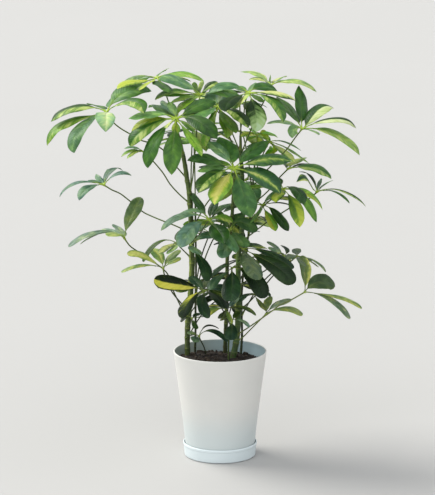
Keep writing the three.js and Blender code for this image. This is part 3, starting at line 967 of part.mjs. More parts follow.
      [3.1, 1.1, 577.4, 9.6, 3.8, 566.9, 12.8, 5.2, 553.3, 0, -0.45, 0.89, 12],
    ],
  ],
  [
    "leaf_centre_05",
    1,
    [[-49.1, 0.2, 445], [-44.1, -15, 476.4], [-42.4, -22, 502.5], [-39.1, -23.6, 527.5], [-36.7, -9.8, 574.5], [-32.7, 12, 603.8]],
    [
      [-43.3, 0.8, 621.2, -72.6, -7.6, 638, -99.5, -16.2, 634.4, 0.42, -0.38, 0.82, 31.2],
      [-56.8, 9.1, 611.4, -86.2, 6.8, 616.6, -106.5, 0.6, 598.2, -0.09, -0.14, 0.99, 30.3],
      [-50, 11.9, 603.4, -66.3, 11, 599, -81.5, 9.2, 591.1, -0.27, -0.29, 0.92, 17],
      [-36.9, 27.6, 607.8, -41.6, 43.1, 611.5, -47, 58.5, 614.7, -0.95, -0.31, 0.08, 16.8],
      [-32.8, 28.6, 608.3, -32.9, 45.3, 612.9, -33, 61.9, 617.5, -0.85, -0.15, 0.51, 20.4],
      [-25.4, 28.1, 608.8, -18.4, 44.1, 614, -11.6, 59.5, 616.2, -0.59, -0.05, 0.81, 21.8],
      [-8.6, 17.7, 612.7, 14.9, 21.3, 609.6, 37.7, 29.4, 595.6, 0.32, -0.39, 0.86, 26.9],
      [-52.7, 23.6, 605.1, -72.6, 35.9, 601.3, -92.9, 49.6, 595.7, 0.07, 0.27, 0.96, 26.9],
      [-24.6, 18.2, 612.5, -14.8, 24.7, 622.8, -3.4, 28.2, 622, 0, -0.45, 0.89, 15],
    ],
  ],
  [
    "leaf_centre_06",
    0,
    [[32.9, 27.7, 510.6], [32.6, 26.6, 530.2], [34.2, 25.6, 548.7], [39.1, 24.1, 572.1], [40.7, 23.1, 588.8], [45.5, 22, 605.5]],
    [
      [30.8, 21.3, 623.5, -2.6, 17.8, 622.9, -19.7, 12.3, 607.8, -0.06, -0.34, 0.94, 28.1],
      [46.2, 52.8, 601.4, 47.3, 83.3, 598.6, 51.5, 112, 604, -0.72, 0.04, 0.69, 34.5],
      [57, 40.4, 615.3, 85.7, 53.7, 615.5, 95.3, 60.6, 601.1, 0.41, -0.25, 0.88, 29.3],
      [71.6, 20.4, 609, 101.5, 18.5, 607.5, 123.7, 14.8, 595.9, 0.19, -0.05, 0.98, 40.5],
      [72.3, 6.3, 608.6, 100.7, -9.5, 596, 101.7, -25.1, 565.5, 0.47, -0.3, 0.83, 33],
      [56.8, -3, 594, 59.6, -24.9, 575.7, 58.6, -45.4, 554.3, 0.19, -0.62, 0.76, 34.5],
      [29.2, -18.9, 607.9, 8.3, -60, 609.4, 7.7, -103.9, 596.5, -0.01, -0.08, 1, 30],
      [39.1, -7.1, 605.7, 32.9, -35.8, 601.8, 27, -64.2, 594.9, -0.54, -0.01, 0.84, 30],
      [28.9, 47.3, 606.2, 12.8, 72.4, 604.1, -4.6, 97.9, 599.8, 0.21, 0.21, 0.96, 28.8],
      [52, 25.8, 599.8, 61.8, 30.2, 597.1, 73.3, 32.9, 589.9, 0, -0.45, 0.89, 17],
      [42.3, 26.5, 609.6, 34.1, 30.9, 613.7, 24.3, 33.5, 611.4, 0, -0.45, 0.89, 14],
    ],
  ],
  [
    "leaf_back_14",
    1,
    [[33.7, 26.8, 502.1], [49.1, 36.3, 538.5], [60.7, 46.6, 565.1], [72.3, 57.4, 586.6], [84, 72, 610.9]],
    [
      [73.6, 95.1, 622.2, 57, 114.8, 629, 34.2, 128.5, 624.9, 0.12, -0.09, 0.99, 24],
      [73.3, 74, 620, 61.3, 74.7, 623.4, 47.7, 73.9, 619.8, 0.13, -0.28, 0.95, 13.1],
      [82.9, 86.7, 611.6, 82.1, 101.5, 612.3, 81.8, 116.2, 613.2, -0.99, -0.05, 0.14, 24],
      [97.6, 89.7, 616.8, 115.6, 102.9, 615.1, 138, 112.1, 608.1, 0.1, -0.03, 0.99, 24],
      [107.9, 74.9, 624.1, 140.1, 73.7, 618.6, 159.8, 69.7, 600.5, 0.25, -0.15, 0.96, 27.6],
      [89, 97.6, 613.3, 97.1, 122.1, 614.9, 110.5, 144.7, 614.9, -0.32, 0.08, 0.94, 24],
    ],
  ],
  [
    "leaf_left_10",
    0,
    [[-58.3, -5.7, 504.5], [-62.4, 21.9, 519.5], [-70.9, 49.5, 542.9], [-82.5, 63.5, 577.3], [-88.2, 61.6, 594.3], [-93.7, 53.5, 613.8], [-103.2, 42, 627.2]],
    [
      [-124.1, 43.3, 633.2, -143.6, 43.1, 632.1, -160.5, 40.1, 618.4, -0.21, -0.18, 0.96, 19.6],
      [-123.6, 24.6, 621.7, -150.7, 9.8, 630.8, -166.9, -9.4, 617, 0.06, -0.17, 0.98, 26],
      [-79.3, 44.7, 639.7, -49.4, 44, 636.2, -26.3, 41.1, 623.2, 0.15, -0.14, 0.98, 31.2],
      [-97, 14.4, 623.9, -90.5, -13.3, 621.2, -83.8, -40.9, 618.7, 0.29, -0.03, 0.96, 33.8],
      [-103, 70.8, 628.6, -99.1, 99.1, 628.7, -90.1, 126.5, 626.9, -0.55, 0.11, 0.83, 26],
      [-110.5, 15.2, 627.5, -119.8, -10.6, 624.6, -130.6, -35.6, 619.5, -0.36, 0.02, 0.93, 26],
      [-116.4, 56.1, 628.9, -128.8, 69.3, 623.5, -140.3, 81.6, 611.9, -0.18, 0.21, 0.96, 25],
      [-84.6, 54.8, 632.2, -66.4, 67.4, 627.7, -48.6, 79.6, 616, 0.11, 0.14, 0.98, 25],
    ],
  ],
];

// Where a leaflet's sections lie along its curve, and the blade's width there as a share of its full width.
// A leaflet starts just inside the hub's surface. Short ones have fewer sections.
const LONG = {
  stations: [0, BLADE_START + 0.08, 0.62, 0.9, 1],
  widths: [0, 0.27, 1, 0.58, 0.1],
};
const MIDDLING = {
  stations: [0, BLADE_START + 0.1, 0.74, 1],
  widths: [0, 0.34, 1, 0.14],
};
const SHORT = { stations: [0, 0.62, 1], widths: [0, 1, 0.2] };
const LONG_LEAFLET = 88;
const SHORT_LEAFLET = 50;

function leafletGeometry(hub, row, grow) {
  const [ax, ay, az, bx, by, bz, tx, ty, tz, nx, ny, nz, width] = row;
  const bend = new THREE.Vector3(bx, by, bz);
  const tip = new THREE.Vector3(tx, ty, tz);
  tip.addScaledVector(tip.clone().sub(bend).normalize(), grow);
  const curve = new THREE.CubicBezierCurve3(
    hub,
    new THREE.Vector3(ax, ay, az),
    bend,
    tip,
  );
  const length = curve.getLength();
  const { stations, widths } =
    length < SHORT_LEAFLET ? SHORT : length < LONG_LEAFLET ? MIDDLING : LONG;
  const first = (HUB_RADIUS - 1.9) / length;
  const at = stations.map((t, i) => (i ? t : first));
  return bent(curve, 3, at, new THREE.Vector3(nx, ny, nz), (t) => {
    const k = at.indexOf(t);
    const half = Math.max(STALK / 2, (width / 2) * widths[k]) + grow;
    return k === 0
      ? { half, above: 0.5 + grow, below: 0.8 + grow }
      : k === at.length - 1
        ? { half, above: 0.2 + grow, below: 0.5 + grow }
        : { half, above: 0.35 + grow, below: KEEL - 0.35 + grow };
  });
}

function leafSolid([, , petiole, leaflets], grow) {
  const points = petiole.map(([x, y, z]) => new THREE.Vector3(x, y, z));
  const hub = points[points.length - 1];
  const square = new THREE.Shape();
  const r = PETIOLE_RADIUS + grow;
  square.moveTo(r, 0).lineTo(0, r).lineTo(-r, 0).lineTo(0, -r).closePath();
  const stalk = new THREE.ExtrudeGeometry(square, {
    steps: Math.min(5, Math.max(2, points.length - 1)),
    bevelEnabled: false,
    extrudePath: new THREE.CatmullRomCurve3(points),
  });
  let all = solid(stalk).add(
    solid(
      new THREE.OctahedronGeometry(HUB_RADIUS + grow, 0).translate(
        hub.x,
        hub.y,
        hub.z,
      ),
    ),
  );
  for (const row of leaflets)
    all = all.add(solid(leafletGeometry(hub, row, grow)));
  return all;
}

const ASIDE = [
  [0, 0, 0],
  [GAP, 0, 0],
  [-GAP, 0, 0],
  [0, GAP, 0],
  [0, -GAP, 0],
  [0, 0, GAP],
  [0, 0, -GAP],
];
const foliage = new THREE.Group();
potted_plant.add(foliage);
const placed = [];
for (const leaf of LEAVES) {
  const [name, tone] = leaf;
  let body = leafSolid(leaf, 0);
  for (const clearance of Object.values(stemClearance))
    body = body.subtract(clearance);
  // where a leaflet would touch an earlier leaf, it ends short of it
  const box = body.boundingBox();
  for (const other of placed) {
    const o = other.box;
    const apart = [0, 1, 2].some(
      (k) => o.min[k] - 1 > box.max[k] || box.min[k] > o.max[k] + 1,
    );
    if (apart || body.intersect(other.body).volume() === 0) continue;
    other.clearance ??= leafSolid(other.leaf, GAP);
    body = body.subtract(other.clearance);
    // a strongly twisted leaflet's clearance can fall short of the leaflet
    if (body.intersect(other.body).volume() > 0)
      for (const [x, y, z] of ASIDE)
        body = body.subtract(other.body.translate(x, y, z));
  }
  body = largest(body);
  placed.push({ leaf, body, box: body.boundingBox() });
  add(name, geometryOf(body), LEAF_TONES[tone], foliage);
}

// a leaf that grows straight from the soil goes down into a hole of its own
for (const { leaf } of placed)
  if (leaf[2][0][2] < SOIL_LEVEL) soil = soil.subtract(leafSolid(leaf, GAP));
soil = largest(soil);
add("soil", geometryOf(soil), SOIL_BROWN);

export default potted_plant;
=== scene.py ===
"""The looks of a potted umbrella plant: fine blades with veins and yellow variegation, ringed stems, crumbly soil, moulded pot and saucer.
Every length in the tables below is in millimetres, in the part's frame. Blender's meshes are made in metres."""
import math

import bmesh
import bpy
import numpy as np
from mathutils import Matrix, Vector, noise


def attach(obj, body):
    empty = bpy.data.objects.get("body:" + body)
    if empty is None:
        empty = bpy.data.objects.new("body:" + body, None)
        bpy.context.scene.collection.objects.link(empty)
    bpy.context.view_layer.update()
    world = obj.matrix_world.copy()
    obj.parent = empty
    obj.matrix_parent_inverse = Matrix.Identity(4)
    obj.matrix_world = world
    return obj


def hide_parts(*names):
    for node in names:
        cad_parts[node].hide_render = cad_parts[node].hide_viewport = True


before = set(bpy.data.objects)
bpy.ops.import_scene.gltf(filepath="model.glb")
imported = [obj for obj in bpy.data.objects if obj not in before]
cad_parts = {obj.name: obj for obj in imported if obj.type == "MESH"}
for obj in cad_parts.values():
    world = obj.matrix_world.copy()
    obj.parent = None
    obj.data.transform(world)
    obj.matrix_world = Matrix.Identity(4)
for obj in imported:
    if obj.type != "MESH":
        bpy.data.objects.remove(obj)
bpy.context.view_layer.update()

MM = 0.001

# ---------- the plant's own numbers
# stem: rows of x, y, z and radius, from the foot to the top
STEMS = {
    "stem_left": [(-54.1, 14, 138.6, 4.4), (-54.1, 14, 165.6, 4.4), (-54, 13, 209.6, 4.4), (-48.3, 9, 278.6, 4.5), (-46.3, 6, 321.6, 4.5), (-46.8, 4, 355.8, 4.4), (-48.5, 2, 414.9, 4.2), (-51, 0, 448.6, 4), (-53.8, -1, 465.5, 3.8), (-56, -3, 482.5, 3.6), (-58.8, -5, 499.4, 3.4), (-61.4, -7, 514.7, 3)],
    "stem_left_thin": [(-41.8, 30, 137.6, 1.9), (-41.8, 30, 164.6, 1.86), (-40.8, 28, 205.8, 1.81), (-40.7, 26, 257.6, 1.74), (-39.8, 25, 317.4, 1.65), (-40.5, 24, 376.8, 1.57), (-40.7, 22, 429.3, 1.5)],
    "stem_centre": [(8.3, 32, 136.7, 3.6), (8.3, 32, 163.7, 3.52), (10.7, 22, 241.5, 3.29), (11.5, 14, 294.4, 3.14), (12.2, 6, 338.5, 3.01), (17.9, -4, 382.6, 2.88), (21.1, -14, 434.7, 2.72), (23.4, -22, 476.1, 2.6)],
    "stem_right": [(21.4, -4, 138.8, 5.2), (21.4, -4, 165.8, 5.04), (25.6, -3, 188, 4.91), (28.8, -2, 213.3, 4.76), (30.4, 2, 254.8, 4.52), (30.1, 8, 312.7, 4.18), (31.2, 12, 345.6, 3.99), (34.5, 14, 365.4, 3.87), (36.9, 16, 391.9, 3.71), (37.7, 20, 436.4, 3.45), (35.2, 25, 485.6, 3.16), (32.7, 28, 513.4, 3)],
    "stem_right_thin": [(35, 38, 133.9, 2), (35, 38, 160.9, 1.96), (36.7, 38, 194.8, 1.91), (35.7, 38, 254.8, 1.83), (39.8, 40, 314, 1.75), (48, 44, 372.6, 1.66), (52.8, 48, 430.9, 1.58), (57.7, 50, 489.3, 1.5)],
    "stem_shoot": [(14, -14, 137.8, 1.5), (14, -14, 164.8, 1.42), (13.9, -16, 191.3, 1.34), (15.5, -20, 216.1, 1.26), (18, -25, 234.3, 1.2)],
}

# leaf: name, the stem it grows from, the petiole's points up to the hub, and the leaflets.
# leaflet: the second and third control points and the tip of a cubic curve from the hub, the blade's upward normal, its
# width, tone, share of painted blue-green sheen (toward olive below zero), and pattern
LEAVES = [
    ("leaf_front_01", "soil", [(-23.3, 12, 153.3), (-23.3, 12, 167.3), (-26.6, -1.5, 184.2), (-31.5, -12.9, 197.3), (-34.7, -22, 208.1)], [
        (-28.8, -9.2, 224.4, -17.5, -1.8, 226.1, -1.7, 1.2, 215.1, 0.12, -0.27, 0.95, 6, -1.125, 0, "n"),
        (-20.4, -20.2, 227, 1.1, -24.7, 213.9, 13, -28.8, 200.5, 0.27, -0.53, 0.81, 12, 0, 0.5, "n"),
        (-36.6, -32.6, 208.3, -40, -42.7, 208, -44.3, -52.5, 207.4, 0.48, -0.19, 0.86, 15.4, 1.25, 1, "s"),
        (-40.6, -21, 212.5, -47.1, -20.7, 214.3, -54.4, -21, 212.9, 0.13, -0.43, 0.89, 8.6, 2.625, 0.5, "n"),
        (-42.6, -13, 210.5, -50, -5.2, 206.3, -56.3, 2.1, 197.1, -0.43, 0.05, 0.9, 14.4, 0, 0, "n"),
    ]),
    ("leaf_front_02", "stem_shoot", [(17.7, -24.5, 232.4), (18.8, -26.3, 234.6), (19.6, -28, 236.7)], [
        (19.9, -42.2, 230.8, 19.2, -54.8, 222.5, 17.8, -66.4, 212.5, -0.06, -0.56, 0.83, 21.9, -0.5, 1, "s"),
        (31.2, -31.6, 240.7, 40.4, -35.8, 236.3, 48.2, -40.3, 227.1, 0.31, -0.34, 0.89, 10, 3.25, 1, "n"),
        (23, -20.4, 239.1, 26.8, -13.3, 242.2, 31.2, -7.4, 246.9, -0.08, -0.43, 0.9, 11.2, 1.625, 0, "n"),
        (13.9, -17.6, 239.8, 8.4, -7.9, 237, 3.2, 1.9, 229.4, -0.23, 0.12, 0.97, 17.3, 0, 0, "h"),
    ]),
    ("leaf_left_01", "stem_left", [(-53.7, 12.8, 213.4), (-50.6, 3.8, 220.4), (-47.9, -7.6, 230), (-46.2, -16, 237.1)], [
        (-54.3, -15.2, 241.1, -60.5, -15.7, 238.3, -65.1, -17.4, 230.7, -0.4, -0.45, 0.8, 8.2, 0, 0, "n"),
        (-43.4, -5, 237.3, -39.4, 5.5, 237.6, -33.2, 15.1, 238.1, 0.07, -0.06, 1, 11, 1, 0, "n"),
        (-44.1, -27.3, 235.2, -41.8, -38, 231.7, -39.4, -48.1, 226.5, 0.29, -0.27, 0.92, 11, 1.125, 0, "n"),
        (-37.8, -11, 238, -29.6, -6, 237.5, -20.8, -0.7, 236.1, -0.09, 0.22, 0.97, 10.6, 1, 0, "n"),
        (-52.1, -8.3, 241.4, -58.2, -0.4, 238.7, -63.5, 6.6, 231.6, -0.13, 0.14, 0.98, 10.6, 1, 0, "e"),
    ]),
    ("leaf_right_01", "stem_right", [(26.2, -2.8, 193.2), (37.9, -6.3, 202.5), (49.4, -9.9, 215.3), (65.8, -14.9, 233.5), (75.6, -18, 244.4)], [
        (76.2, 1.7, 247.6, 78, 20.5, 253, 81.5, 38.2, 261.6, -0.45, -0.23, 0.86, 17.8, 3.25, 0, "e"),
        (84.4, -1.6, 254.4, 98.4, 11.1, 259.8, 117.6, 20.1, 260.7, -0.08, -0.26, 0.96, 18, 3.25, 1.5, "n"),
        (92.8, -15.3, 257, 119.6, -15.4, 256.4, 136.4, -18.3, 242.8, 0.11, -0.34, 0.93, 18, 3.25, 0, "h"),
    ]),
    ("leaf_front_03", "stem_centre", [(10, 24.8, 220), (10, 17.7, 227.2), (9.8, -4.4, 241.1), (9.7, -40, 258.1)], [
        (-4.9, -39.3, 261.6, -16.6, -40.3, 256.6, -26.3, -42.8, 245.4, -0.26, -0.7, 0.66, 13.9, 3.25, 0, "h"),
        (5.5, -17.6, 262, -1.7, 3.4, 264.5, -16.7, 20.9, 263.9, 0.15, -0.01, 0.99, 20, 0, 0, "n"),
        (12, -65.6, 261.2, 14.8, -90.9, 260.6, 18.3, -115.5, 253.1, 0.52, -0.02, 0.85, 12, 3.25, 0, "h"),
        (26.8, -38.3, 266.1, 47.6, -38.9, 263.2, 58.8, -42.2, 247.8, 0.31, -0.26, 0.92, 12, 1.375, -0.5, "n"),
        (7.4, -51.4, 257.2, 5.3, -62.5, 254.9, 3.4, -73.1, 250.6, -0.33, -0.18, 0.93, 19.7, 0.125, -1, "n"),
        (15.9, -28.7, 261.2, 22.5, -18.3, 265.7, 29.5, -9.6, 272.8, -0.14, -0.38, 0.91, 12.9, 3.25, 1.5, "n"),
        (24.9, -29, 262.2, 39.3, -18.7, 256.7, 52.2, -9.3, 244.1, 0.25, 0.09, 0.96, 19.2, 0, 0, "c"),
        (-5.6, -29.8, 264.4, -20.7, -19.7, 259.4, -34.3, -10.6, 246.9, -0.25, -0.01, 0.97, 19.2, -1.125, 0, "c"),
    ]),
    ("leaf_back_01", "stem_left", [(-54, 13.3, 197.2), (-24.1, 70.8, 229.7), (21.1, 94.5, 262.2)], [
        (23.8, 64.3, 268.4, 26.4, 35.4, 260.6, 28.8, 8.6, 241.9, -0.81, -0.2, 0.55, 26.9, 0, 0, "c"),
        (38.9, 88.1, 272.3, 58.5, 81.4, 270.2, 78.3, 72.9, 260.7, -0.04, -0.16, 0.99, 26.9, -1.125, 0, "c"),
        (39.1, 100.5, 272.4, 58.6, 107.1, 268.7, 76.6, 113.1, 256, 0.12, -0.03, 0.99, 26.9, 0, 0, "h"),
        (41.7, 117.4, 269.3, 61.5, 139.4, 260.9, 79.4, 159.3, 240.6, 0.25, 0.1, 0.96, 26.9, 0, 0, "c"),
        (21.2, 119.6, 271.5, 21.3, 145.6, 271.4, 21.4, 173.5, 266.8, 0.29, -0.06, 0.96, 26.9, 0, 0, "h"),
        (1.2, 114.6, 263.2, -16.6, 132.7, 252.4, -32.1, 148.3, 232, -0.32, 0.21, 0.93, 26.9, 0, 0, "n"),
        (-3, 87.6, 270.2, -26.8, 80.9, 264.3, -49.2, 74.5, 249.2, -0.19, 0.05, 0.98, 26.9, 0, 0, "h"),
        (3, 85.2, 261.7, -14.4, 78.4, 254.3, -32.3, 66, 242.1, -0.18, -0.05, 0.98, 26.9, 0.25, 0, "n"),
    ]),
    ("leaf_centre_01", "stem_right", [(30.4, 3.5, 269.3), (37.9, 7.2, 267.2), (47.9, 13.3, 269.1), (56.2, 18, 269.7)], [
        (48.2, 4.8, 276.9, 40.4, -7.4, 275.2, 32.7, -18.4, 264.8, -0.24, -0.12, 0.96, 14, 1.125, 0.5, "n"),
        (62.1, 5.7, 262.9, 68.6, -6.6, 256.6, 75.5, -18.8, 250.5, 0.38, -0.25, 0.89, 14, 1.75, -0.5, "n"),
        (58.9, 33, 270.7, 61.8, 47.6, 273.1, 65.1, 61.6, 278.4, -0.45, -0.1, 0.89, 14, 0, 0, "n"),
        (66.2, 19.6, 277.1, 75.6, 19.2, 275.3, 84.4, 17.3, 266.5, 0.25, -0.4, 0.88, 10.3, 1, 0, "n"),
        (64, 24.6, 274.4, 72.2, 31.6, 274.4, 81.1, 39.2, 271.9, 0.08, -0.2, 0.98, 13.4, 0, 0, "n"),
    ]),
    ("leaf_right_02", "stem_right", [(27.8, -2.3, 205.4), (42.7, -22.5, 220.1), (57.2, -36.8, 233.8), (73.4, -45.8, 247.8), (84.8, -47.7, 256.6), (97.9, -45.1, 266.1), (114.4, -37.2, 271.8), (127.8, -25.7, 276.6), (139.6, -12, 280.2)], [
        (140.5, 9.7, 293.2, 143.9, 30, 309.3, 137.8, 46, 328.9, 0.62, -0.49, 0.61, 25.5, 1.625, 0, "e"),
        (144.6, 11.9, 284.3, 172.6, 35.3, 300.7, 191.4, 44.8, 276.3, 0.52, -0.51, 0.69, 31.2, 1.125, 0, "n"),
        (172.4, -12.6, 277.3, 212.9, -14, 271, 233.4, -17.7, 253.6, 0.3, -0.31, 0.9, 13.5, 2.875, 0, "h"),
        (168.3, -12.1, 279.9, 198.6, -15.6, 263.6, 213.6, -21.4, 236.8, 0.48, -0.45, 0.75, 16.9, 2.125, 1, "s"),
    ]),
    ("leaf_centre_02", "stem_right", [(26.9, -2.6, 198.5), (1.9, 52.3, 238.6), (-35.8, 47.3, 283.5)], [
        (-12.7, 65.5, 293, 10.7, 84.2, 287.6, 34.2, 102.1, 273.8, 0.27, -0.22, 0.94, 26.2, -1.125, 0, "c"),
        (-32.7, 75.9, 285.2, -29.9, 101.9, 275.3, -27.3, 125.5, 256, -0.18, 0.34, 0.92, 26.2, 0, 0, "n"),
        (-53.3, 62.5, 286.3, -69.9, 77, 281.3, -86.1, 91.1, 269.1, -0.13, 0.18, 0.98, 26.2, 1, 0, "c"),
        (-58.2, 40.2, 292, -81.2, 32.7, 289.6, -103.7, 26, 278.3, -0.11, 0.06, 0.99, 26.2, 0, 0, "n"),
        (-47.3, 38.1, 289.5, -59.2, 30.6, 285.1, -71.7, 14.8, 275, 0.16, -0.06, 0.98, 26.2, 2.25, 0, "c"),
        (-18, 20, 285.5, -0.8, -6.5, 281.8, 17.3, -34.4, 272.2, -0.09, -0.19, 0.98, 26.2, 1.5, 0, "c"),
    ]),
    ("leaf_front_04", "stem_left", [(-52.2, 11.6, 234.2), (-43, -6.8, 251.9), (-32.9, -27.8, 272.1), (-24.6, -46, 289.8)], [
        (-48.2, -43.5, 301.2, -79.8, -44, 298.8, -107.8, -41.9, 308.9, 0.06, -0.65, 0.76, 31, -1.125, 0, "b"),
        (-25.3, -21, 289.6, -25.1, 3.8, 291.4, -23.3, 28.2, 296.3, -0.72, -0.05, 0.69, 27.5, 1.625, 0, "s"),
        (-40.8, -69.1, 296, -54.6, -94.7, 283.2, -61.2, -116.2, 262.5, -0.29, -0.32, 0.9, 25, -0.75, 0, "f"),
        (-27.9, -74.8, 286.9, -28.6, -102.9, 279.1, -25.9, -129.2, 268.2, 0.68, -0.22, 0.7, 31, 0.125, 0.5, "n"),
        (-12.7, -73.1, 295.5, -0.8, -101.8, 293.1, 6.2, -128.8, 281.2, 0.4, 0, 0.92, 31, -0.5, 0, "n"),
        (-12.8, -46.4, 298.4, -0.2, -48, 298.6, 12.9, -50.5, 292.5, -0.04, -0.62, 0.79, 15.3, -0.625, 1.5, "n"),
        (-31.6, -31.3, 293.4, -39.7, -17.8, 298.5, -49.4, -6.5, 305.9, 0.08, -0.36, 0.93, 19.2, 1, 0.5, "n"),
        (-6.6, -39.5, 295.3, 10.1, -36, 290.6, 25.3, -28.9, 275.9, 0.34, -0.17, 0.92, 29.8, 1, 0, "c"),
    ]),
    ("leaf_back_02", "stem_right_thin", [(36.1, 38, 228.9), (68.8, 66.2, 276.1), (117.6, 94.4, 313.9)], [
        (135.5, 93.7, 316.5, 151.9, 92.6, 311.1, 166.6, 92.2, 299.3, 0.3, 0.11, 0.95, 20.2, 0, 0, "e"),
        (130.3, 106.7, 316, 142.4, 118.3, 311.5, 153.9, 129.3, 301.5, 0.18, 0.15, 0.97, 20.2, 1, 0, "n"),
        (102.7, 107.7, 323.4, 87.4, 121.2, 318.8, 73.3, 134.2, 305, -0.14, 0.08, 0.99, 20.2, 0, 0, "c"),
        (94.7, 96, 319.3, 72.2, 97.5, 315.1, 50.1, 99, 303.6, -0.15, 0, 0.99, 20.2, 0, 0, "c"),
        (104.5, 79.5, 323.3, 90.7, 63.9, 318.5, 78.4, 49.9, 304.6, 0.12, -0.3, 0.95, 20.2, 0, 0, "n"),
        (113.6, 76, 317, 109.7, 58.1, 314.2, 105.8, 39.9, 306.3, -0.36, -0.05, 0.93, 20.2, 0, 0, "e"),
    ]),
    ("leaf_back_03", "stem_centre", [(9.7, 26.3, 208.1), (26.4, 80.5, 260.9), (51, 73.6, 318.1)], [
        (65.2, 108.8, 317.3, 79.1, 145.7, 310.7, 93.6, 176.7, 300.5, -0.55, 0.32, 0.78, 22.5, 0, 0, "h"),
        (42.2, 98, 325.6, 33.8, 121.6, 318.2, 25.9, 143.9, 302.2, 0.1, 0.25, 0.96, 22.5, 1, 0, "c"),
        (25.3, 78.5, 317.6, 2.6, 82.9, 307, -17.8, 86.9, 288.7, -0.37, 0.13, 0.92, 22.5, -0.75, 0, "n"),
        (27.7, 59.2, 320.5, 6.4, 45.9, 311.8, -13.4, 33.7, 294.5, -0.41, 0.13, 0.9, 22.5, -0.75, 0, "n"),
        (66.7, 55.7, 325.9, 82.7, 37.5, 325, 99.2, 18.8, 315.8, 0.17, 0.11, 0.98, 22.5, 0, 0, "e"),
        (68.3, 68.8, 329.7, 88.1, 63.4, 328.7, 106.6, 59.6, 317.8, 0.05, 0.07, 1, 22.5, 1, 0, "n"),
    ]),
    ("leaf_left_02", "stem_left", [(-51.7, 11.2, 240.8), (-64.5, 5, 257.5), (-79.2, -2.2, 277.9), (-90.5, -9.9, 305), (-93.6, -14, 321)], [
        (-108.2, -19, 330.8, -128, -20, 352.5, -152.1, -24.7, 347.4, 0.46, -0.4, 0.79, 18, 1.75, 0, "y"),
        (-94.4, 5.2, 328, -99.7, 22.5, 335.4, -111.1, 37.4, 343.5, 0.01, -0.41, 0.91, 20, 3.25, 0, "c"),
        (-114.9, -12.1, 329.9, -143.4, -12.7, 327, -162.5, -15.4, 314.6, -0.18, -0.23, 0.96, 14.4, 2.625, 0, "h"),
        (-88.5, 5.7, 326.8, -80.2, 23.6, 333.5, -68.1, 39, 341.4, -0.3, -0.22, 0.93, 20, 1.625, -0.5, "n"),
        (-84.2, -12.2, 329.4, -74.4, -11.2, 333.8, -64.1, -10.5, 337.1, -0.31, -0.42, 0.85, 12.3, 3.25, 0, "h"),
    ]),
    ("leaf_front_05", "stem_centre", [(11.3, 15.6, 284.2), (14.7, -0.8, 296.1), (17.9, -23.3, 313.1), (19.4, -42, 327.3)], [
        (19.8, -67.1, 324.4, 19.2, -92, 309.8, 17.5, -114.9, 289.4, -0.2, -0.49, 0.85, 32.8, 0.125, 0.5, "n"),
        (40.8, -51.3, 335.3, 62.1, -64.5, 313.2, 72.7, -76.3, 285.2, 0.1, -0.77, 0.62, 29.3, -0.375, 0, "n"),
        (8.5, -70, 324, -12.3, -95.7, 326, -14.6, -119.7, 309.1, -0.26, -0.26, 0.93, 20, 0.5, 0.5, "n"),
        (34.8, -28.4, 338.5, 51.4, -17.7, 336.7, 68.8, -9.5, 323.4, 0.31, -0.15, 0.94, 23.1, 2.25, 0.5, "n"),
        (44.1, -42.5, 339.1, 70.4, -43.2, 338.5, 98, -43.1, 330.8, -0.03, 0.03, 1, 27.8, 1, 0, "h"),
        (12.9, -35.5, 334.3, -0.2, -31.7, 328.5, -13.2, -31.1, 311.7, 0, -0.45, 0.89, 12, 0.625, 0.5, "n"),
    ]),
    ("leaf_right_03", "stem_right", [(30.1, 1.2, 246.7), (42.8, 2.7, 254.7), (56.1, 5.2, 267.6), (75.9, 9.3, 288.7), (87.4, 11.8, 301.7), (103.9, 14.6, 316.3), (115.5, 16.1, 324.4), (127, 18, 334.2)], [
        (146.5, 17.8, 333.2, 167.9, 15.7, 323.4, 174.9, 12.4, 308.3, 0.48, -0.35, 0.8, 8, 2.375, 0.5, "n"),
        (121.5, 0.2, 341.8, 116, -18.2, 344.8, 110.7, -37.3, 341.3, 0.19, 0.02, 0.98, 16, 1.5, 0.5, "n"),
        (127.9, 49.6, 330.3, 128.9, 81.2, 327.7, 129.8, 113, 327.1, -0.02, 0.07, 1, 16, 1, 0, "n"),
        (129.7, -2.2, 335.2, 132.4, -22.2, 334.1, 135.1, -42.1, 330.7, 0.43, -0.01, 0.9, 16, 1.125, 0, "n"),
        (107.1, 21, 336.6, 87.9, 23.6, 333.8, 68.3, 27, 326, -0.17, -0.05, 0.98, 15.4, 0, 0, "c"),
    ]),
    ("leaf_right_04", "stem_right", [(30.2, 5.3, 286.2), (49.4, 6.3, 297.9), (75.7, 7.5, 312.8), (93.8, 8.9, 326), (105.4, 10, 335.9)], [
        (98.9, 20.1, 343.9, 90, 28.4, 350.5, 77.7, 34.2, 355.2, 0.32, -0.3, 0.9, 12, 1.75, 1.5, "n"),
        (98, 11.6, 343.2, 89.3, 12.6, 348, 79, 13, 349.6, 0.34, -0.41, 0.84, 9.6, 2.625, 1, "n"),
        (113.4, 22.8, 339.9, 112.4, 34.5, 343.6, 101.2, 44.9, 346.9, 0.41, -0.17, 0.9, 12, 0, 0, "n"),
        (100.3, -2.6, 337.4, 95.1, -14.9, 336, 89.8, -27, 332.3, -0.03, -0.13, 0.99, 12, 0, 0, "n"),
    ]),
    ("leaf_back_04", "stem_left_thin", [(-40.3, 25.6, 283.1), (-31.2, 76.6, 320), (-17.4, 135.3, 348.1)], [
        (-37.9, 112.6, 356.9, -58.4, 89.9, 352.8, -79, 67, 339, -0.28, 0.12, 0.95, 26, 0, 0, "c"),
        (5.6, 121.6, 350.4, 26.8, 109.5, 341, 46.2, 97.7, 322.8, 0.18, -0.27, 0.95, 26, 0, 0, "n"),
        (10.7, 145.9, 354.8, 38.6, 156.3, 352, 68.1, 167.4, 343.7, 0.02, 0.08, 1, 26, 0, 0, "n"),
        (-6.7, 160.3, 358.2, 4.3, 186, 355.1, 15.4, 212, 343.3, -0.02, 0.07, 1, 26, 0, 0, "c"),
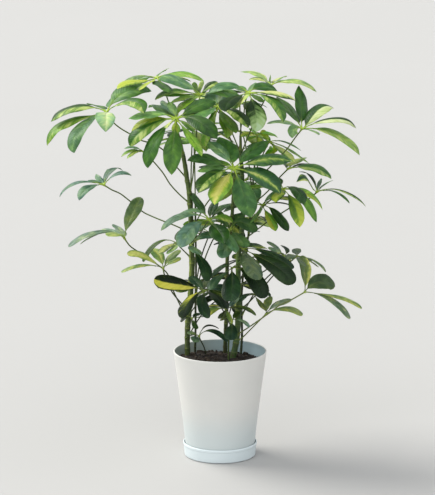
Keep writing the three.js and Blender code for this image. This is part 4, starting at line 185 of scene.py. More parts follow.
        (-33.2, 158.1, 358.2, -49.1, 181, 351.1, -63.2, 201.2, 331.7, -0.03, 0.22, 0.98, 26, 0, 0, "h"),
        (-38, 137.4, 356.3, -59.1, 139.5, 351.6, -78.1, 141.4, 337.7, -0.19, -0.39, 0.9, 26, 0, 0, "n"),
    ]),
    ("leaf_left_03", "stem_left", [(-47.3, 5.3, 333.3), (-56.1, 11, 340.8), (-66.1, 17.6, 349.4), (-72.7, 22, 355.3)], [
        (-96.4, 25.6, 371.9, -121.5, 19.5, 343.5, -127.2, 15.4, 324.6, -0.61, -0.4, 0.68, 15, 0.375, -0.5, "n"),
        (-78.7, 5.2, 358.9, -88.3, -10.7, 357.4, -99.8, -26.6, 349, -0.13, -0.14, 0.98, 18, -0.75, 0, "y"),
        (-72.2, 3.2, 355.5, -76.6, -15, 354.6, -85, -33, 348.7, -0.37, -0.05, 0.93, 18, 3.25, 0.5, "n"),
        (-58.2, 32.5, 361.5, -42.7, 44.2, 360.9, -25.7, 54.1, 358.2, -0.03, -0.3, 0.95, 17.3, 0, 0, "n"),
    ]),
    ("leaf_front_06", "stem_right", [(30.2, 8.4, 316.3), (32.8, 0.9, 327.8), (35.9, -11.9, 340.7), (37.4, -32, 356.9)], [
        (62, -57.2, 349.3, 104.7, -77.8, 338.8, 116.8, -89.1, 310.6, -0.04, -0.72, 0.69, 31, -0.75, 0, "n"),
        (67.4, -35.1, 363.9, 104.1, -43.3, 341.4, 120.3, -48.3, 328.7, 0.3, -0.5, 0.81, 22, -0.625, 0.5, "n"),
        (47.1, -9.6, 358.6, 63.9, 9.8, 355.8, 75.9, 25.7, 347.7, 0.31, -0.05, 0.95, 26, 0.625, 0, "h"),
        (44.7, -58.9, 356.7, 49.9, -85.5, 343.9, 57.6, -111.4, 324.8, 0.45, -0.26, 0.85, 40.3, 0.625, 1, "g"),
        (35.4, -15.7, 359, 32.5, 0.1, 362.5, 27.9, 14.8, 368.6, -0.86, -0.3, 0.42, 18.4, 0, 0, "n"),
        (22.8, -25.8, 367.2, 7.4, -20, 367.9, -8.5, -10, 362.1, -0.06, -0.06, 1, 29.8, 0, 0, "n"),
    ]),
    ("leaf_left_04", "stem_left", [(-47.2, 5.7, 326.7), (-47.4, -3.1, 337.1), (-47.6, -15.3, 351.5), (-47.5, -24, 361.8)], [
        (-36.2, -39.8, 345.4, -16, -52.5, 332.8, -22.9, -64.1, 310.7, 0.46, -0.56, 0.69, 24, 0, 0.5, "n"),
        (-43, -48, 365.8, -39.7, -72.3, 366.2, -37.2, -96.8, 364.4, 0.32, 0.05, 0.95, 24, 2.25, 1, "s"),
        (-34.9, -20.4, 378.4, -20.1, -19.8, 381.2, -3.4, -20.9, 376.2, -0.07, -0.53, 0.84, 17.4, 1.125, 1, "n"),
        (-51.9, -4.8, 363.6, -57.3, 13.7, 367.2, -64.5, 30.9, 373.6, -0.93, -0.34, 0.13, 20.8, 0, 0, "n"),
        (-37.3, -15.7, 370.9, -26.3, -7.3, 372.8, -14.4, 4.7, 370.9, -0.18, 0.01, 0.98, 23, 0, 0, "h"),
    ]),
    ("leaf_left_05", "stem_left", [(-52.9, 12.2, 223.8), (-66.3, 14.6, 251.8), (-77.8, 14.4, 277.4), (-86, 12.3, 304.1), (-95.8, 9.7, 315.7), (-107.2, 6, 325), (-123.4, -0.3, 338.2), (-136.3, -6.1, 347.9), (-147.6, -11.8, 357.5), (-156.3, -18, 371.4)], [
        (-155, -1.2, 392.1, -141.8, 12.7, 411.3, -130.9, 23.7, 432.3, -0.33, -0.7, 0.63, 27.5, 1.25, 0, "n"),
        (-181.8, -17, 396.9, -227.7, -24.4, 378.7, -248.1, -30.5, 360.7, -0.24, -0.31, 0.92, 17, 1.625, 1.5, "s"),
        (-178.7, -13.7, 391.4, -208.9, -16.5, 378.1, -229, -19.9, 362.6, -0.32, -0.08, 0.94, 10, 1, 0, "n"),
        (-166.2, -3.3, 377.9, -179.1, 8.7, 381.3, -196.1, 16.9, 379.9, 0.05, -0.13, 0.99, 18.8, 2.5, 1.5, "n"),
        (-160.3, 8.6, 371.4, -165.4, 34.7, 373, -173, 60, 377.7, 0.44, 0.02, 0.9, 25, 3.25, 1.5, "s"),
        (-160.6, -41.9, 385.9, -168, -66.3, 393.8, -180.2, -91.7, 391.2, 0.22, 0.12, 0.97, 25, 2.625, 0, "h"),
    ]),
    ("leaf_back_05", "stem_right_thin", [(39.3, 39.8, 307.4), (46.5, 94.7, 343.1), (57, 144.5, 372.4)], [
        (28.7, 149.5, 375.2, 1.5, 154.5, 369.3, -26.4, 159, 357.4, -0.16, 0.04, 0.99, 24.9, 0, 0, "n"),
        (40.4, 124.5, 377.6, 24, 104.8, 376.8, 6.6, 83.8, 370.3, -0.09, 0.04, 1, 24.9, 0, 0, "n"),
        (62.5, 117.8, 384.8, 68.3, 89.5, 388.7, 74.6, 58.5, 386.3, 0.29, 0.21, 0.93, 24.9, 0, 0, "e"),
        (78.8, 158.2, 375.2, 98.4, 170.6, 365.5, 115.4, 181.3, 346.8, 0.19, 0.34, 0.92, 24.9, 0, 0, "h"),
        (62.8, 173.3, 373.9, 68, 199, 363, 72.9, 222.8, 343.5, 0.25, 0.29, 0.92, 24.9, 0, 0, "n"),
        (40, 163.7, 379.3, 23.5, 182.2, 372, 7.6, 200.1, 357.3, -0.3, 0, 0.96, 24.9, 0, 0, "h"),
    ]),
    ("leaf_back_06", "stem_left_thin", [(-40.6, 25.8, 267.7), (-23, 13.9, 336.2), (3, 81.4, 377.7)], [
        (-18.8, 89.6, 380.9, -39.9, 97.6, 377.7, -61.5, 105.7, 368.5, 0.05, 0.47, 0.88, 24.8, 3, 0, "e"),
        (-21.6, 73.7, 384.9, -45.8, 66.5, 378.3, -67.9, 59.2, 361.4, -0.22, 0.03, 0.98, 24.8, 0, 0, "n"),
        (-11.1, 67.8, 389.5, -26.4, 53.3, 385.9, -41.9, 35.1, 372.7, 0.02, -0.09, 1, 24.8, 3.125, 1, "n"),
        (15.1, 60.8, 386.9, 27.1, 41.2, 377.6, 37.7, 22.2, 356.4, 0.17, -0.15, 0.97, 24.8, 0.125, 0, "c"),
        (21.4, 75.7, 385.4, 40.4, 69.7, 382.3, 59.2, 63.9, 372.5, 0.1, 0.01, 1, 24.8, 0, 0, "h"),
        (30.4, 93.4, 382.1, 57, 105, 377, 84.2, 116.9, 364.8, 0.27, -0.29, 0.92, 24.8, 3.25, -1, "n"),
        (12.4, 102.8, 387, 21.8, 123.5, 381.7, 30.8, 144.7, 366.9, -0.34, 0.32, 0.88, 24.8, 1, 0, "n"),
        (-3.8, 106.1, 381.7, -10.5, 130.2, 378.5, -17.4, 155.4, 370.4, -0.26, 0.02, 0.97, 24.8, 0, 0, "e"),
    ]),
    ("leaf_front_07", "stem_centre", [(17, -2.4, 375.4), (16.7, -14.4, 381.5), (16.2, -26, 387.3)], [
        (12.5, -51.7, 380.9, 8, -75.5, 370.4, 3, -98.2, 357.3, -0.06, -0.4, 0.91, 26, 1.25, 1, "s"),
        (22.3, -20.6, 412.2, 49, -24.3, 395, 60.2, -26.5, 384.9, 0.2, -0.77, 0.61, 22.4, 0.5, 0.5, "n"),
        (25.1, -51.3, 388.3, 33.5, -75.8, 383.5, 41.5, -100, 374.9, 0.08, -0.18, 0.98, 26, 1.5, 0.5, "n"),
        (23, -15.8, 395.4, 30.1, -5.7, 403.3, 37.6, 4.3, 411, -0.19, -0.52, 0.84, 16, 1.75, 0.5, "n"),
        (9.2, -15.5, 393.6, 3.7, -6.1, 402.2, -0.1, 1.8, 413.2, 0.32, -0.58, 0.75, 15.7, 1.625, 0.5, "n"),
        (-4.4, -20.8, 396.7, -25.6, -16, 397.9, -48.4, -8.1, 394.5, 0.2, 0.44, 0.88, 25, 3.25, 0, "e"),
        (33.2, -12.9, 395.1, 50.5, 0.4, 395.6, 69.3, 15.6, 392.3, -0.02, -0.06, 1, 25, 1, 0, "c"),
    ]),
    ("leaf_front_08", "stem_left_thin", [(-40.3, 24.3, 359.8), (-31.3, 0.2, 378.4), (-23, -30.6, 398.2), (-18, -50, 408.9)], [
        (-42, -46, 427.3, -80.5, -48.4, 416.3, -95.8, -53.6, 392.2, -0.32, -0.34, 0.88, 21, 1.875, 1, "s"),
        (-28, -32, 428.2, -56.1, -21.2, 423.7, -73.6, -17.3, 406.3, -0.24, 0, 0.97, 26.3, 1.75, 1, "n"),
        (-38.6, -69.9, 411.8, -56.4, -90.8, 397.2, -64.3, -108.3, 376.7, 0.06, -0.61, 0.79, 29.3, 1.5, 1.5, "s"),
        (-11.2, -76.9, 404.3, 2.2, -103.3, 401.6, 6.1, -127.7, 386.6, -0.2, -0.33, 0.92, 31, 0.125, 0, "n"),
        (1.3, -74, 401.1, 15.4, -99.4, 387.4, 25.3, -125.3, 372.2, 0.4, -0.25, 0.88, 29, 1.125, 1, "n"),
        (-15.7, -35.8, 415.7, -12, -23, 424.1, -6.7, -12.1, 434.4, -0.42, -0.43, 0.8, 17.8, 0, 1, "s"),
        (-7.4, -21.4, 413.2, 4.2, 8.3, 425.4, 29.6, 28.3, 421.3, -0.27, -0.02, 0.96, 29, 1.875, 1, "n"),
        (-29, -28, 419.5, -39.2, -7.5, 430, -42.9, 13.2, 441.4, 0.56, -0.08, 0.82, 29, 1.25, 0.5, "n"),
        (-4.4, -48.5, 415.9, 8.5, -48.7, 414.6, 20.9, -50.7, 405.7, 0.16, -0.49, 0.86, 16.6, 1.375, 0, "h"),
    ]),
    ("leaf_centre_03", "stem_right_thin", [(47.3, 43.6, 367.4), (52.8, 37, 384.2), (61, 34.8, 401.5), (69.3, 38, 416)], [
        (88.8, 35.3, 424.4, 116.4, 31.3, 421.9, 128.4, 26.3, 409.1, 0.26, -0.09, 0.96, 9, -1.125, 0, "n"),
        (90.2, 33, 414.5, 101.7, 24.8, 391.4, 113.6, 19.3, 376.9, 0.48, -0.62, 0.62, 21.9, 0, 0, "n"),
        (76.7, 30.5, 403.1, 86.8, 24.4, 391, 92.2, 18.9, 376.2, 0.36, -0.75, 0.56, 17.9, 3.125, 0, "v"),
        (65, 5, 415.7, 59.1, -27.4, 412.8, 51.6, -59.3, 407.5, -0.66, 0.05, 0.75, 22, 1.625, 0, "n"),
        (58.1, 68.3, 420.3, 47, 100.1, 412.7, 36.6, 125.9, 398, 0.06, 0.23, 0.97, 21.1, 0, 0, "n"),
        (47, 38.2, 420.4, 25.6, 37.8, 416.4, 4.8, 38.8, 405, -0.23, -0.2, 0.95, 21.1, 0.125, 0, "n"),
        (84.4, 50.9, 425.8, 100.6, 64.8, 424.6, 117.5, 79.2, 417.2, -0.29, 0.31, 0.9, 21.1, -0.625, 0, "c"),
        (75.9, 45.2, 423, 85.8, 53.2, 433.1, 102.3, 59.3, 438.5, 0, -0.45, 0.89, 11, 3.25, 1, "n"),
    ]),
    ("leaf_back_07", "stem_right", [(35.4, 14.8, 375.9), (37.4, 65.8, 413), (40.1, 124.1, 440.9)], [
        (59.5, 127.2, 450.6, 80.2, 130.4, 446.5, 98.6, 133.3, 432.5, 0.1, 0.23, 0.97, 26.2, 1, 0, "h"),
        (52.6, 142.5, 448.1, 65.3, 161.2, 448.8, 78.8, 181.1, 442.8, 0.06, -0.07, 1, 26.2, 0, 0, "e"),
        (33.8, 148.5, 455.6, 26.7, 175.9, 457.3, 19.3, 204.9, 449.6, -0.1, -0.13, 0.99, 26.2, 1, 0, "h"),
        (14.3, 143.3, 448.3, -10, 161.5, 438.2, -31.2, 177.3, 415.3, -0.03, 0.4, 0.92, 26.2, 1, 0, "n"),
        (12.1, 116.7, 445.3, -14, 108.7, 438.4, -38.8, 103.1, 422.8, -0.27, 0.05, 0.96, 26.2, 0.75, 0, "n"),
        (23.6, 96.7, 447.1, 8.1, 70.9, 437.5, -7, 45.8, 419.5, 0.32, -0.43, 0.85, 26.2, 2.75, 0, "h"),
        (47.7, 96.4, 445.8, 54.6, 71, 435.5, 60.9, 48, 415.9, -0.15, -0.34, 0.93, 26.2, 3.25, 1, "n"),
        (64.6, 114.3, 448.1, 88.5, 104.8, 441.3, 110.3, 96.1, 424.4, 0.22, -0.03, 0.98, 26.2, 0, 0, "n"),
    ]),
    ("leaf_right_05", "stem_right", [(33.2, 13.2, 357.5), (62.9, 43.7, 374.3), (82.9, 53.2, 387.6), (99.5, 54.2, 397.5), (114.2, 50.6, 407.6), (132.1, 40.7, 418.8), (148.1, 26.6, 430), (159, 12, 443)], [
        (186.5, 15, 456.8, 220.8, 11.4, 440.2, 239.3, 7.1, 420.5, 0.41, -0.16, 0.9, 12, -0.5, 0, "h"),
        (176.3, -4.2, 454.3, 198.3, -22, 450.8, 210, -37.2, 433.6, 0.26, -0.08, 0.96, 11, 0.5, 0, "n"),
        (148.7, -7.7, 448.4, 141.7, -20, 489.3, 124.5, -39.5, 469.5, 0.83, -0.12, 0.55, 14, -0.25, 1, "e"),
        (156.3, 34.1, 453.3, 152.8, 57.3, 470.8, 131, 70.6, 465.3, 0.57, -0.07, 0.82, 13, -1.125, 1, "t"),
        (160.8, 31.1, 445.3, 163.3, 49.7, 449, 167.5, 67.2, 455.8, -0.58, -0.11, 0.81, 11, 1, 1, "s"),
        (164.8, 39.8, 445.1, 173.4, 66.5, 447, 188.4, 90.6, 448, -0.32, 0.07, 0.94, 9, 1, 0, "n"),
    ]),
    ("leaf_right_06", "stem_right", [(36, 15.2, 381.8), (54.3, 28.6, 397.7), (74, 22.8, 419.1), (89.9, 3, 438), (102.3, -22, 454.6)], [
        (116.9, -40.3, 470.2, 132.4, -63.3, 457.9, 133.1, -82.3, 440.9, 0.19, -0.33, 0.92, 24, -0.25, 0.5, "n"),
        (119.6, -36, 443, 125.6, -49.2, 420.9, 129.3, -60.1, 399.4, 0.23, -0.79, 0.56, 24.1, 0.75, -0.5, "x"),
        (133.2, -21.6, 456.6, 150.2, -28, 426.8, 157.7, -33.4, 402.1, 0.67, -0.49, 0.56, 24, 1.375, 0, "n"),
        (127.2, -7.2, 455.2, 158, 2.2, 442.4, 168.7, 4.3, 415.2, 0.61, -0.23, 0.76, 24, 3, 0, "v"),
        (96.1, -46.6, 456.2, 92, -71.3, 453.5, 89.4, -95.9, 447.7, -0.26, -0.08, 0.96, 24, -1, 0, "l"),
        (98.6, 2.7, 463.1, 88.3, 24.7, 468.2, 69.2, 42.8, 468.9, 0.15, -0.1, 0.98, 24, 0, 0, "n"),
        (79.2, -15.4, 460.4, 56.2, -8.8, 458.4, 32, -1.8, 451, 0.07, 0.41, 0.91, 23, 1.875, 0, "h"),
    ]),
    ("leaf_left_06", "stem_left", [(-47.9, 3.3, 375.9), (-72.4, 4.6, 387.5), (-95.5, 13.5, 394.9), (-115.5, 27.7, 400.4), (-127.3, 36.8, 404.5), (-146.9, 34.4, 421.8), (-164.5, 20.1, 438.9), (-176.9, 4.5, 447.8), (-189.6, -5, 457.9)], [
        (-214.1, -2.9, 467.6, -249.1, -3.5, 464.7, -262.2, -9.2, 438.8, -0.32, -0.19, 0.93, 14, 1.125, 1.5, "s"),
        (-204.4, -19.6, 463.8, -223.2, -34.2, 459.3, -228.4, -47.9, 441.5, -0.15, -0.35, 0.92, 20, 1, 1.5, "s"),
        (-196.4, 10.8, 459.5, -205.3, 25.2, 460.1, -217.6, 37.2, 459, -0.01, -0.02, 1, 17.3, 1, 0, "n"),
        (-193.1, 7.1, 460.9, -197.6, 18.4, 464.7, -204, 28.4, 469.9, 0.11, -0.31, 0.94, 12.5, 2, 1.5, "n"),
        (-188.8, 17.5, 460, -187.9, 39.6, 463.6, -187.2, 60.7, 471.4, -0.72, -0.12, 0.68, 20, 1, 1, "s"),
        (-190.1, 12.5, 465.4, -178.8, 33.2, 490.4, -160, 40.2, 473.5, -0.36, -0.14, 0.92, 20, 0.75, 1.5, "n"),
        (-180, -1.8, 472.6, -162.4, 0.9, 485.3, -144.7, -1.7, 473.1, -0.23, -0.16, 0.96, 17.5, 1.25, 1.5, "n"),
    ]),
    ("leaf_back_08", "stem_left", [(-47.9, 3.2, 378.6), (-17.5, 33.2, 425.9), (28.1, 63.1, 463.6)], [
        (53.5, 64.3, 470.1, 78.6, 66.1, 464.3, 101.9, 66.5, 448.4, 0.18, 0.13, 0.97, 21.5, 0, 0, "h"),
        (41.9, 80.9, 467.5, 55.1, 97.6, 462.7, 68.2, 115, 451.4, 0.62, -0.3, 0.72, 21.5, 1, 0, "h"),
        (26.4, 75.1, 465.9, 24.8, 83.3, 460.9, 23.2, 95.7, 448.6, -0.03, 0.32, 0.95, 21.5, 0, 0, "e"),
        (12.2, 84, 462.7, -2.4, 103.2, 454.5, -16.9, 122.3, 440.5, -0.16, 0.25, 0.95, 21.5, 1, 0, "n"),
        (6.7, 58.7, 472.8, -14.5, 54.3, 465.1, -32.5, 50.5, 448, -0.21, -0.19, 0.96, 21.5, 1, 0, "n"),
        (13, 44.6, 468.9, -2.1, 26.2, 469.9, -18.5, 6.1, 468.1, -0.22, 0.25, 0.94, 21.5, 1, 0, "e"),
        (27.2, 51.3, 466.5, 26.3, 41.3, 461.4, 25.5, 26.2, 449.5, -0.09, -0.1, 0.99, 21.5, 2.5, 1, "n"),
        (42.2, 46.7, 476.8, 58.3, 27.9, 474.5, 72.8, 11.6, 460.2, 0.48, 0.36, 0.8, 21.5, 0, 0, "c"),
    ]),
    ("leaf_right_07", "stem_right", [(37.1, 17.2, 405.3), (62.6, 35.7, 424.9), (79.1, 38.9, 439.4), (98.6, 32.6, 464.1), (111.5, 22, 479.5)], [
        (134.8, 23.6, 486.8, 168.6, 23.2, 485, 182, 18.5, 463.4, 0.27, -0.25, 0.93, 33, 1, 0.5, "h"),
        (118.1, 45.6, 483.5, 128, 68.7, 485.7, 136.4, 91.5, 486.9, -0.3, -0.06, 0.95, 33, 2, 0, "l"),
        (107.3, 46.2, 480.4, 102.9, 69.8, 484.1, 98.2, 92.7, 491.7, 0.55, -0.06, 0.83, 22, 0, 0, "n"),
        (124.5, 30.9, 485.3, 137.9, 39.7, 485.6, 152.2, 50.1, 482.6, -0.08, 0.03, 1, 21.1, -1.125, 0, "n"),
    ]),
    ("leaf_front_09", "stem_centre", [(23.2, -21.3, 472.7), (23.3, -36.6, 483.8), (22.4, -52, 494.9)], [
        (-2.2, -50.6, 501.2, -26.4, -46.4, 520.8, -53.4, -49.3, 507.5, 0.16, -0.43, 0.89, 29.7, 0.5, 0.5, "n"),
        (0, -72.6, 496.7, -23.8, -92.6, 487.7, -35.3, -110, 466.8, -0.19, -0.37, 0.91, 33, -0.375, 0, "h"),
        (12.4, -77.4, 484, -2.7, -100.7, 472.1, -9.7, -121, 449.5, -0.26, -0.45, 0.85, 37.9, 2.75, 0, "w"),
        (30.2, -72.7, 473.6, 42.8, -90.7, 451.6, 49.4, -105.4, 425.2, 0.17, -0.76, 0.63, 37.9, 1.125, 0.5, "s"),
        (51.6, -57.5, 490.9, 81.2, -63, 480.9, 98, -70.4, 457.4, 0.17, -0.76, 0.63, 33, 0.25, 1, "a"),
        (51.5, -49.9, 504.7, 83.1, -47.1, 517.7, 114.3, -49.8, 505.1, -0.09, -0.34, 0.93, 39.6, 0.375, 1, "m"),
        (39.6, -28.1, 503.3, 52.4, -5, 522.2, 79.9, 10, 528.2, -0.18, -0.39, 0.9, 33, 1, 0.5, "n"),
        (18, -23.9, 504.9, 16.2, 3.3, 517.7, -1, 25.4, 533.8, 0.3, -0.41, 0.86, 37.9, 1.125, 0.5, "n"),
        (3.7, -34.7, 499.1, -15.1, -17, 494.5, -34.4, 2, 486.9, -0.13, -0.04, 0.99, 31.7, 0, 0, "n"),
        (3, -46.9, 495.5, -19.6, -42.1, 494.5, -37.3, -39.3, 487.3, 0, -0.45, 0.89, 19, 3.25, 0.5, "n"),
        (12.7, -39.3, 510.4, -5, -26.7, 525.8, -21.2, -17.3, 532, 0, -0.45, 0.89, 22, 2.25, 1, "n"),
        (32.1, -47.2, 487.3, 48.2, -41, 486, 67.6, -35.8, 484.9, 0, -0.45, 0.89, 12, 0, 0, "n"),
        (15.9, -46.5, 500.4, 3, -41.4, 504.2, -11.5, -37.5, 505.1, 0, -0.45, 0.89, 9, 1.875, 0, "n"),
    ]),
    ("leaf_back_09", "stem_left_thin", [(-40.7, 22.3, 421.6), (-42.1, 79.4, 468.4), (-44, 143.4, 506.6)], [
        (-18.9, 131.1, 513.6, 5.9, 119.1, 508.8, 29, 107.9, 492.2, 0.27, 0.18, 0.94, 27.6, 0, 0, "n"),
        (-15, 153.9, 513.7, 12.9, 164, 505.2, 38, 173.1, 484.9, 0.23, 0.06, 0.97, 27.6, 1, 0, "h"),
        (-34.9, 173.3, 504, -26.5, 201.3, 494, -18.3, 228.1, 477.2, 0.01, 0.33, 0.94, 27.6, 1, 0, "h"),
        (-57.3, 171.3, 507.2, -69.8, 197.7, 500, -82.9, 225.4, 488.4, -0.13, 0.16, 0.98, 27.6, 1, 0, "n"),
        (-71.6, 150.8, 507.9, -97.1, 157.7, 499.5, -122.1, 164.5, 483.8, -0.27, 0.03, 0.96, 27.6, 0, 0, "h"),
        (-67.7, 134, 516.3, -92.2, 124.2, 513.7, -117.3, 114.2, 503.6, -0.16, 0.31, 0.94, 27.6, 0, 0, "c"),
        (-52.8, 121.4, 513.3, -61.7, 99.8, 514.9, -71.4, 74.4, 512.7, 0.28, 0.01, 0.96, 27.6, 2.25, 0, "n"),
        (-37.2, 113.7, 518.3, -30, 82.5, 519.7, -22.5, 50.6, 511.3, -0.26, -0.02, 0.96, 27.6, 0, 0, "h"),
    ]),
    ("leaf_left_07", "stem_left", [(-48.4, 1.4, 425.1), (-65.6, 3.8, 439.6), (-82, 6.9, 457.3), (-93.4, 10.1, 475), (-111.4, 13.8, 496), (-124.5, 16, 508.9)], [
        (-138.5, 17.4, 515.1, -150.9, 16.7, 511.9, -162.2, 14.4, 501.7, -0.28, -0.39, 0.88, 10, 2, 0, "h"),
        (-135.9, 13.4, 512.4, -144.9, 10.2, 509, -152.1, 6.4, 499.8, -0.29, -0.39, 0.87, 10, 2.625, 0, "y"),
        (-134.4, 17.8, 517, -145.3, 18.2, 519.2, -157.2, 17.2, 514.5, 0.05, -0.23, 0.97, 10, 3.25, 1, "n"),
        (-121.6, 27, 511.3, -119.4, 37.5, 515.1, -118.7, 47, 521.7, -0.61, -0.23, 0.76, 10, 1, 0, "n"),
        (-117.3, 23.8, 512.3, -108.9, 30.1, 514.6, -98.7, 34.5, 515.5, -0.07, -0.22, 0.97, 10, 1, 0, "n"),
        (-131, 25.4, 509.7, -137.3, 34.5, 508.4, -144, 44, 504.9, -0.18, 0.02, 0.98, 9.6, 0, 0, "n"),
    ]),
    ("leaf_right_08", "stem_right_thin", [(55.6, 49.1, 464.4), (64.4, 57.8, 482.9), (72.6, 60.4, 500.9), (80.8, 58, 518.1)], [
        (99.8, 59.6, 525.3, 119, 57.5, 515.8, 133.6, 55, 504.3, 0.39, -0.06, 0.92, 13, 1.125, 0.5, "n"),
        (105.2, 62, 515, 126.3, 61.3, 496.7, 147.2, 60.5, 482.4, 0.57, -0.12, 0.82, 15.4, 1.5, 0, "h"),
        (94.2, 35.5, 514.8, 108.1, 15.6, 507.2, 122.2, -2.9, 495.7, 0.19, -0.25, 0.95, 18, 1.25, 0, "y"),
        (74.4, 37.6, 519.1, 66.4, 17.9, 518.1, 56.9, -1.2, 515.3, 0.09, -0.11, 0.99, 19.4, 1, 0, "n"),
        (68.4, 69.8, 530, 55.6, 81.3, 527.2, 43.6, 94.9, 513.9, 0.04, 0.18, 0.98, 21.1, 3.25, 0, "h"),
        (64.3, 62, 520.5, 49.1, 65.6, 514.7, 35.8, 68.8, 502.7, -0.31, 0.07, 0.95, 21.1, 0, 0, "e"),
        (95.7, 59, 506.1, 89, 61.7, 502.1, 72.5, 63.2, 495.1, 0, -0.45, 0.89, 22, 3.25, 0, "v"),
    ]),
    ("leaf_back_10", "stem_right_thin", [(53.1, 48.1, 433.7), (47.2, 96.8, 480.6), (38.1, 148.3, 518.7)], [
        (55.7, 160, 519.3, 71.5, 170.5, 511.7, 86, 180.1, 497.6, 0.17, 0.35, 0.92, 26.4, 1, 0, "c"),
        (46.4, 178.1, 518.5, 54.1, 205.5, 508.8, 61.3, 231.5, 490.2, 0.12, 0.29, 0.95, 26.4, 0, 0, "e"),
        (12.8, 150.1, 531.1, -13.4, 151.7, 526, -36.7, 154.1, 508.2, -0.12, 0.23, 0.97, 26.4, 1, 0, "c"),
        (13.9, 133.6, 527.7, -10.6, 118.7, 523.9, -34.3, 104.3, 509, -0.12, -0.01, 0.99, 26.4, 0, 0, "n"),
        (50.2, 124.3, 521, 61.7, 101.5, 515.3, 73.1, 79, 501.7, 0, -0.24, 0.97, 26.4, 1.875, -1, "n"),
        (64.3, 135, 519.2, 87.5, 123.1, 507.6, 107.6, 112.9, 486.2, 0.47, 0.13, 0.87, 26.4, 1, 0, "c"),
    ]),
    ("leaf_centre_04", "stem_right_thin", [(57.5, 49.9, 487.6), (59.3, 49.3, 501.2), (60.9, 48.7, 514.7), (60.8, 48, 531.5)], [
        (50.9, 49.1, 536.7, 41.6, 48.8, 535.1, 32.8, 47.3, 528.3, -0.2, -0.43, 0.88, 12.7, 2.125, 0, "l"),
        (72.5, 55.2, 535.5, 84.1, 59.9, 533.9, 95.7, 61.7, 525.8, 0.31, -0.19, 0.93, 15, 2, 0, "h"),
        (69.2, 55.9, 536.4, 75.9, 61, 533.6, 80.9, 63, 522.2, 0.7, -0.61, 0.38, 14.7, 1.75, 0, "l"),
        (63.8, 46.7, 526.5, 65.9, 45.3, 521.1, 67.4, 44, 515.5, 0.29, -0.9, 0.33, 8.5, 2, 0, "l"),
        (59, 60.4, 532.7, 56.2, 72.4, 534.4, 51.3, 83.7, 537.1, 0.41, -0.03, 0.91, 15, 2, 0, "h"),
        (50.8, 59.9, 534.4, 40.8, 72.7, 530.6, 31.2, 82.8, 522.8, -0.2, -0.04, 0.98, 14.4, 1, 0, "h"),
    ]),
    ("leaf_back_11", "stem_left", [(-48.4, 1.3, 426.5), (-47.3, 37.6, 486), (-45.4, 71, 536.5)], [
        (-37, 45.3, 539.9, -29.3, 21.5, 531.1, -22.6, 0.6, 512.3, 0.28, -0.23, 0.93, 23.8, 3.25, 0, "c"),
        (-20.2, 65.9, 541.6, 3.8, 61, 534.6, 25.1, 56.6, 517.3, 0.27, 0.05, 0.96, 23.8, 0, 0, "e"),
        (-20.9, 85.7, 546.4, 4.3, 100.8, 545.4, 30.6, 116.6, 536.2, -0.03, 0.06, 1, 23.8, 1, 0, "e"),
        (-41.8, 94.9, 545, -38.2, 119.4, 545.8, -34.2, 146.1, 543.1, 0.31, -0.13, 0.94, 23.8, 1, 0, "c"),
        (-69.5, 88.9, 536.2, -92.3, 105.8, 529.3, -115.4, 122.9, 515.8, -0.19, 0.13, 0.97, 23.8, 1, 0, "n"),
        (-70.7, 63.6, 537.8, -95, 56.4, 533.5, -120.6, 48.9, 524.9, -0.2, 0.16, 0.97, 23.8, 0, 0, "n"),
        (-58.2, 41.4, 545.3, -71.1, 10.5, 545.7, -84.8, -18.4, 541.1, -0.15, 0.08, 0.99, 23.8, 0, 0, "n"),
    ]),
    ("leaf_right_09", "stem_right", [(37.6, 19.7, 432.6), (55.6, 11.1, 454.8), (75, 3.4, 479.6), (84.7, 0.4, 490.1), (108.9, -5.4, 517.7), (121.8, -7.2, 536.2), (133, -8, 551.1)], [
        (125.4, 22.3, 563, 114.2, 51.7, 577.3, 94, 74.2, 592.3, 0.48, -0.2, 0.86, 36.2, 1, 0.5, "n"),
        (131.3, 21.3, 566.9, 137, 48.9, 586.5, 131.3, 71.2, 611.1, 0.71, -0.44, 0.55, 31.9, 0.125, 0, "n"),
        (143.9, 14.2, 552.2, 160.8, 42.8, 593.2, 187.4, 52.8, 575.7, -0.22, -0.3, 0.93, 37.7, -0.1, 0.25, "k"),
        (157.5, -5, 564.9, 200.3, -2.2, 577.9, 222.4, -7.5, 553.5, 0.02, -0.14, 0.99, 29, -1, 0.25, "k"),
        (166.8, -6.7, 557.3, 210.5, -11, 537.5, 228.1, -16.8, 510.6, 0.45, -0.28, 0.85, 31.9, 1.875, 0, "h"),
        (139.8, -42, 558.4, 147.6, -76.1, 561.7, 156.9, -110.2, 559, 0.26, 0.11, 0.96, 19, 1.875, 0.5, "n"),
        (123, -16, 558.1, 116, -22, 554.1, 117, -26, 539.1, 0, -0.95, 0.3, 17.8, 2.625, 0.5, "s"),
        (118.3, -5.6, 562.4, 95.4, -4.7, 566.6, 76.2, -6.3, 559, 0.09, -0.02, 1, 33.2, 2.375, 1, "s"),
    ]),
    ("leaf_back_12", "stem_right", [(33.5, 27.1, 504.7), (13.7, 74.7, 543), (-16, 143.9, 569.7)], [
        (-6.9, 175.2, 572.8, 1.6, 206.2, 563, 9.1, 231.1, 544.5, -0.43, 0.39, 0.82, 22.4, 0, 0, "n"),
        (-25.3, 164.4, 580.7, -35.4, 186.5, 578.3, -45.2, 208.2, 566.5, -0.26, -0.07, 0.96, 22.4, 0, 0, "e"),
        (-40.1, 151.1, 576.6, -64.3, 158.4, 574.2, -88.6, 165.7, 563.2, -0.03, 0.18, 0.98, 22.4, 0, 0, "n"),
        (-34.5, 127.1, 572.9, -52.7, 110.6, 571.8, -72.1, 93, 566.4, 0.3, -0.39, 0.87, 22.4, 0, 0, "n"),
        (-13, 120.6, 577.7, -9.9, 96.7, 576.5, -6.6, 71.2, 570.8, 0.06, 0.02, 1, 22.4, 0, 0, "n"),
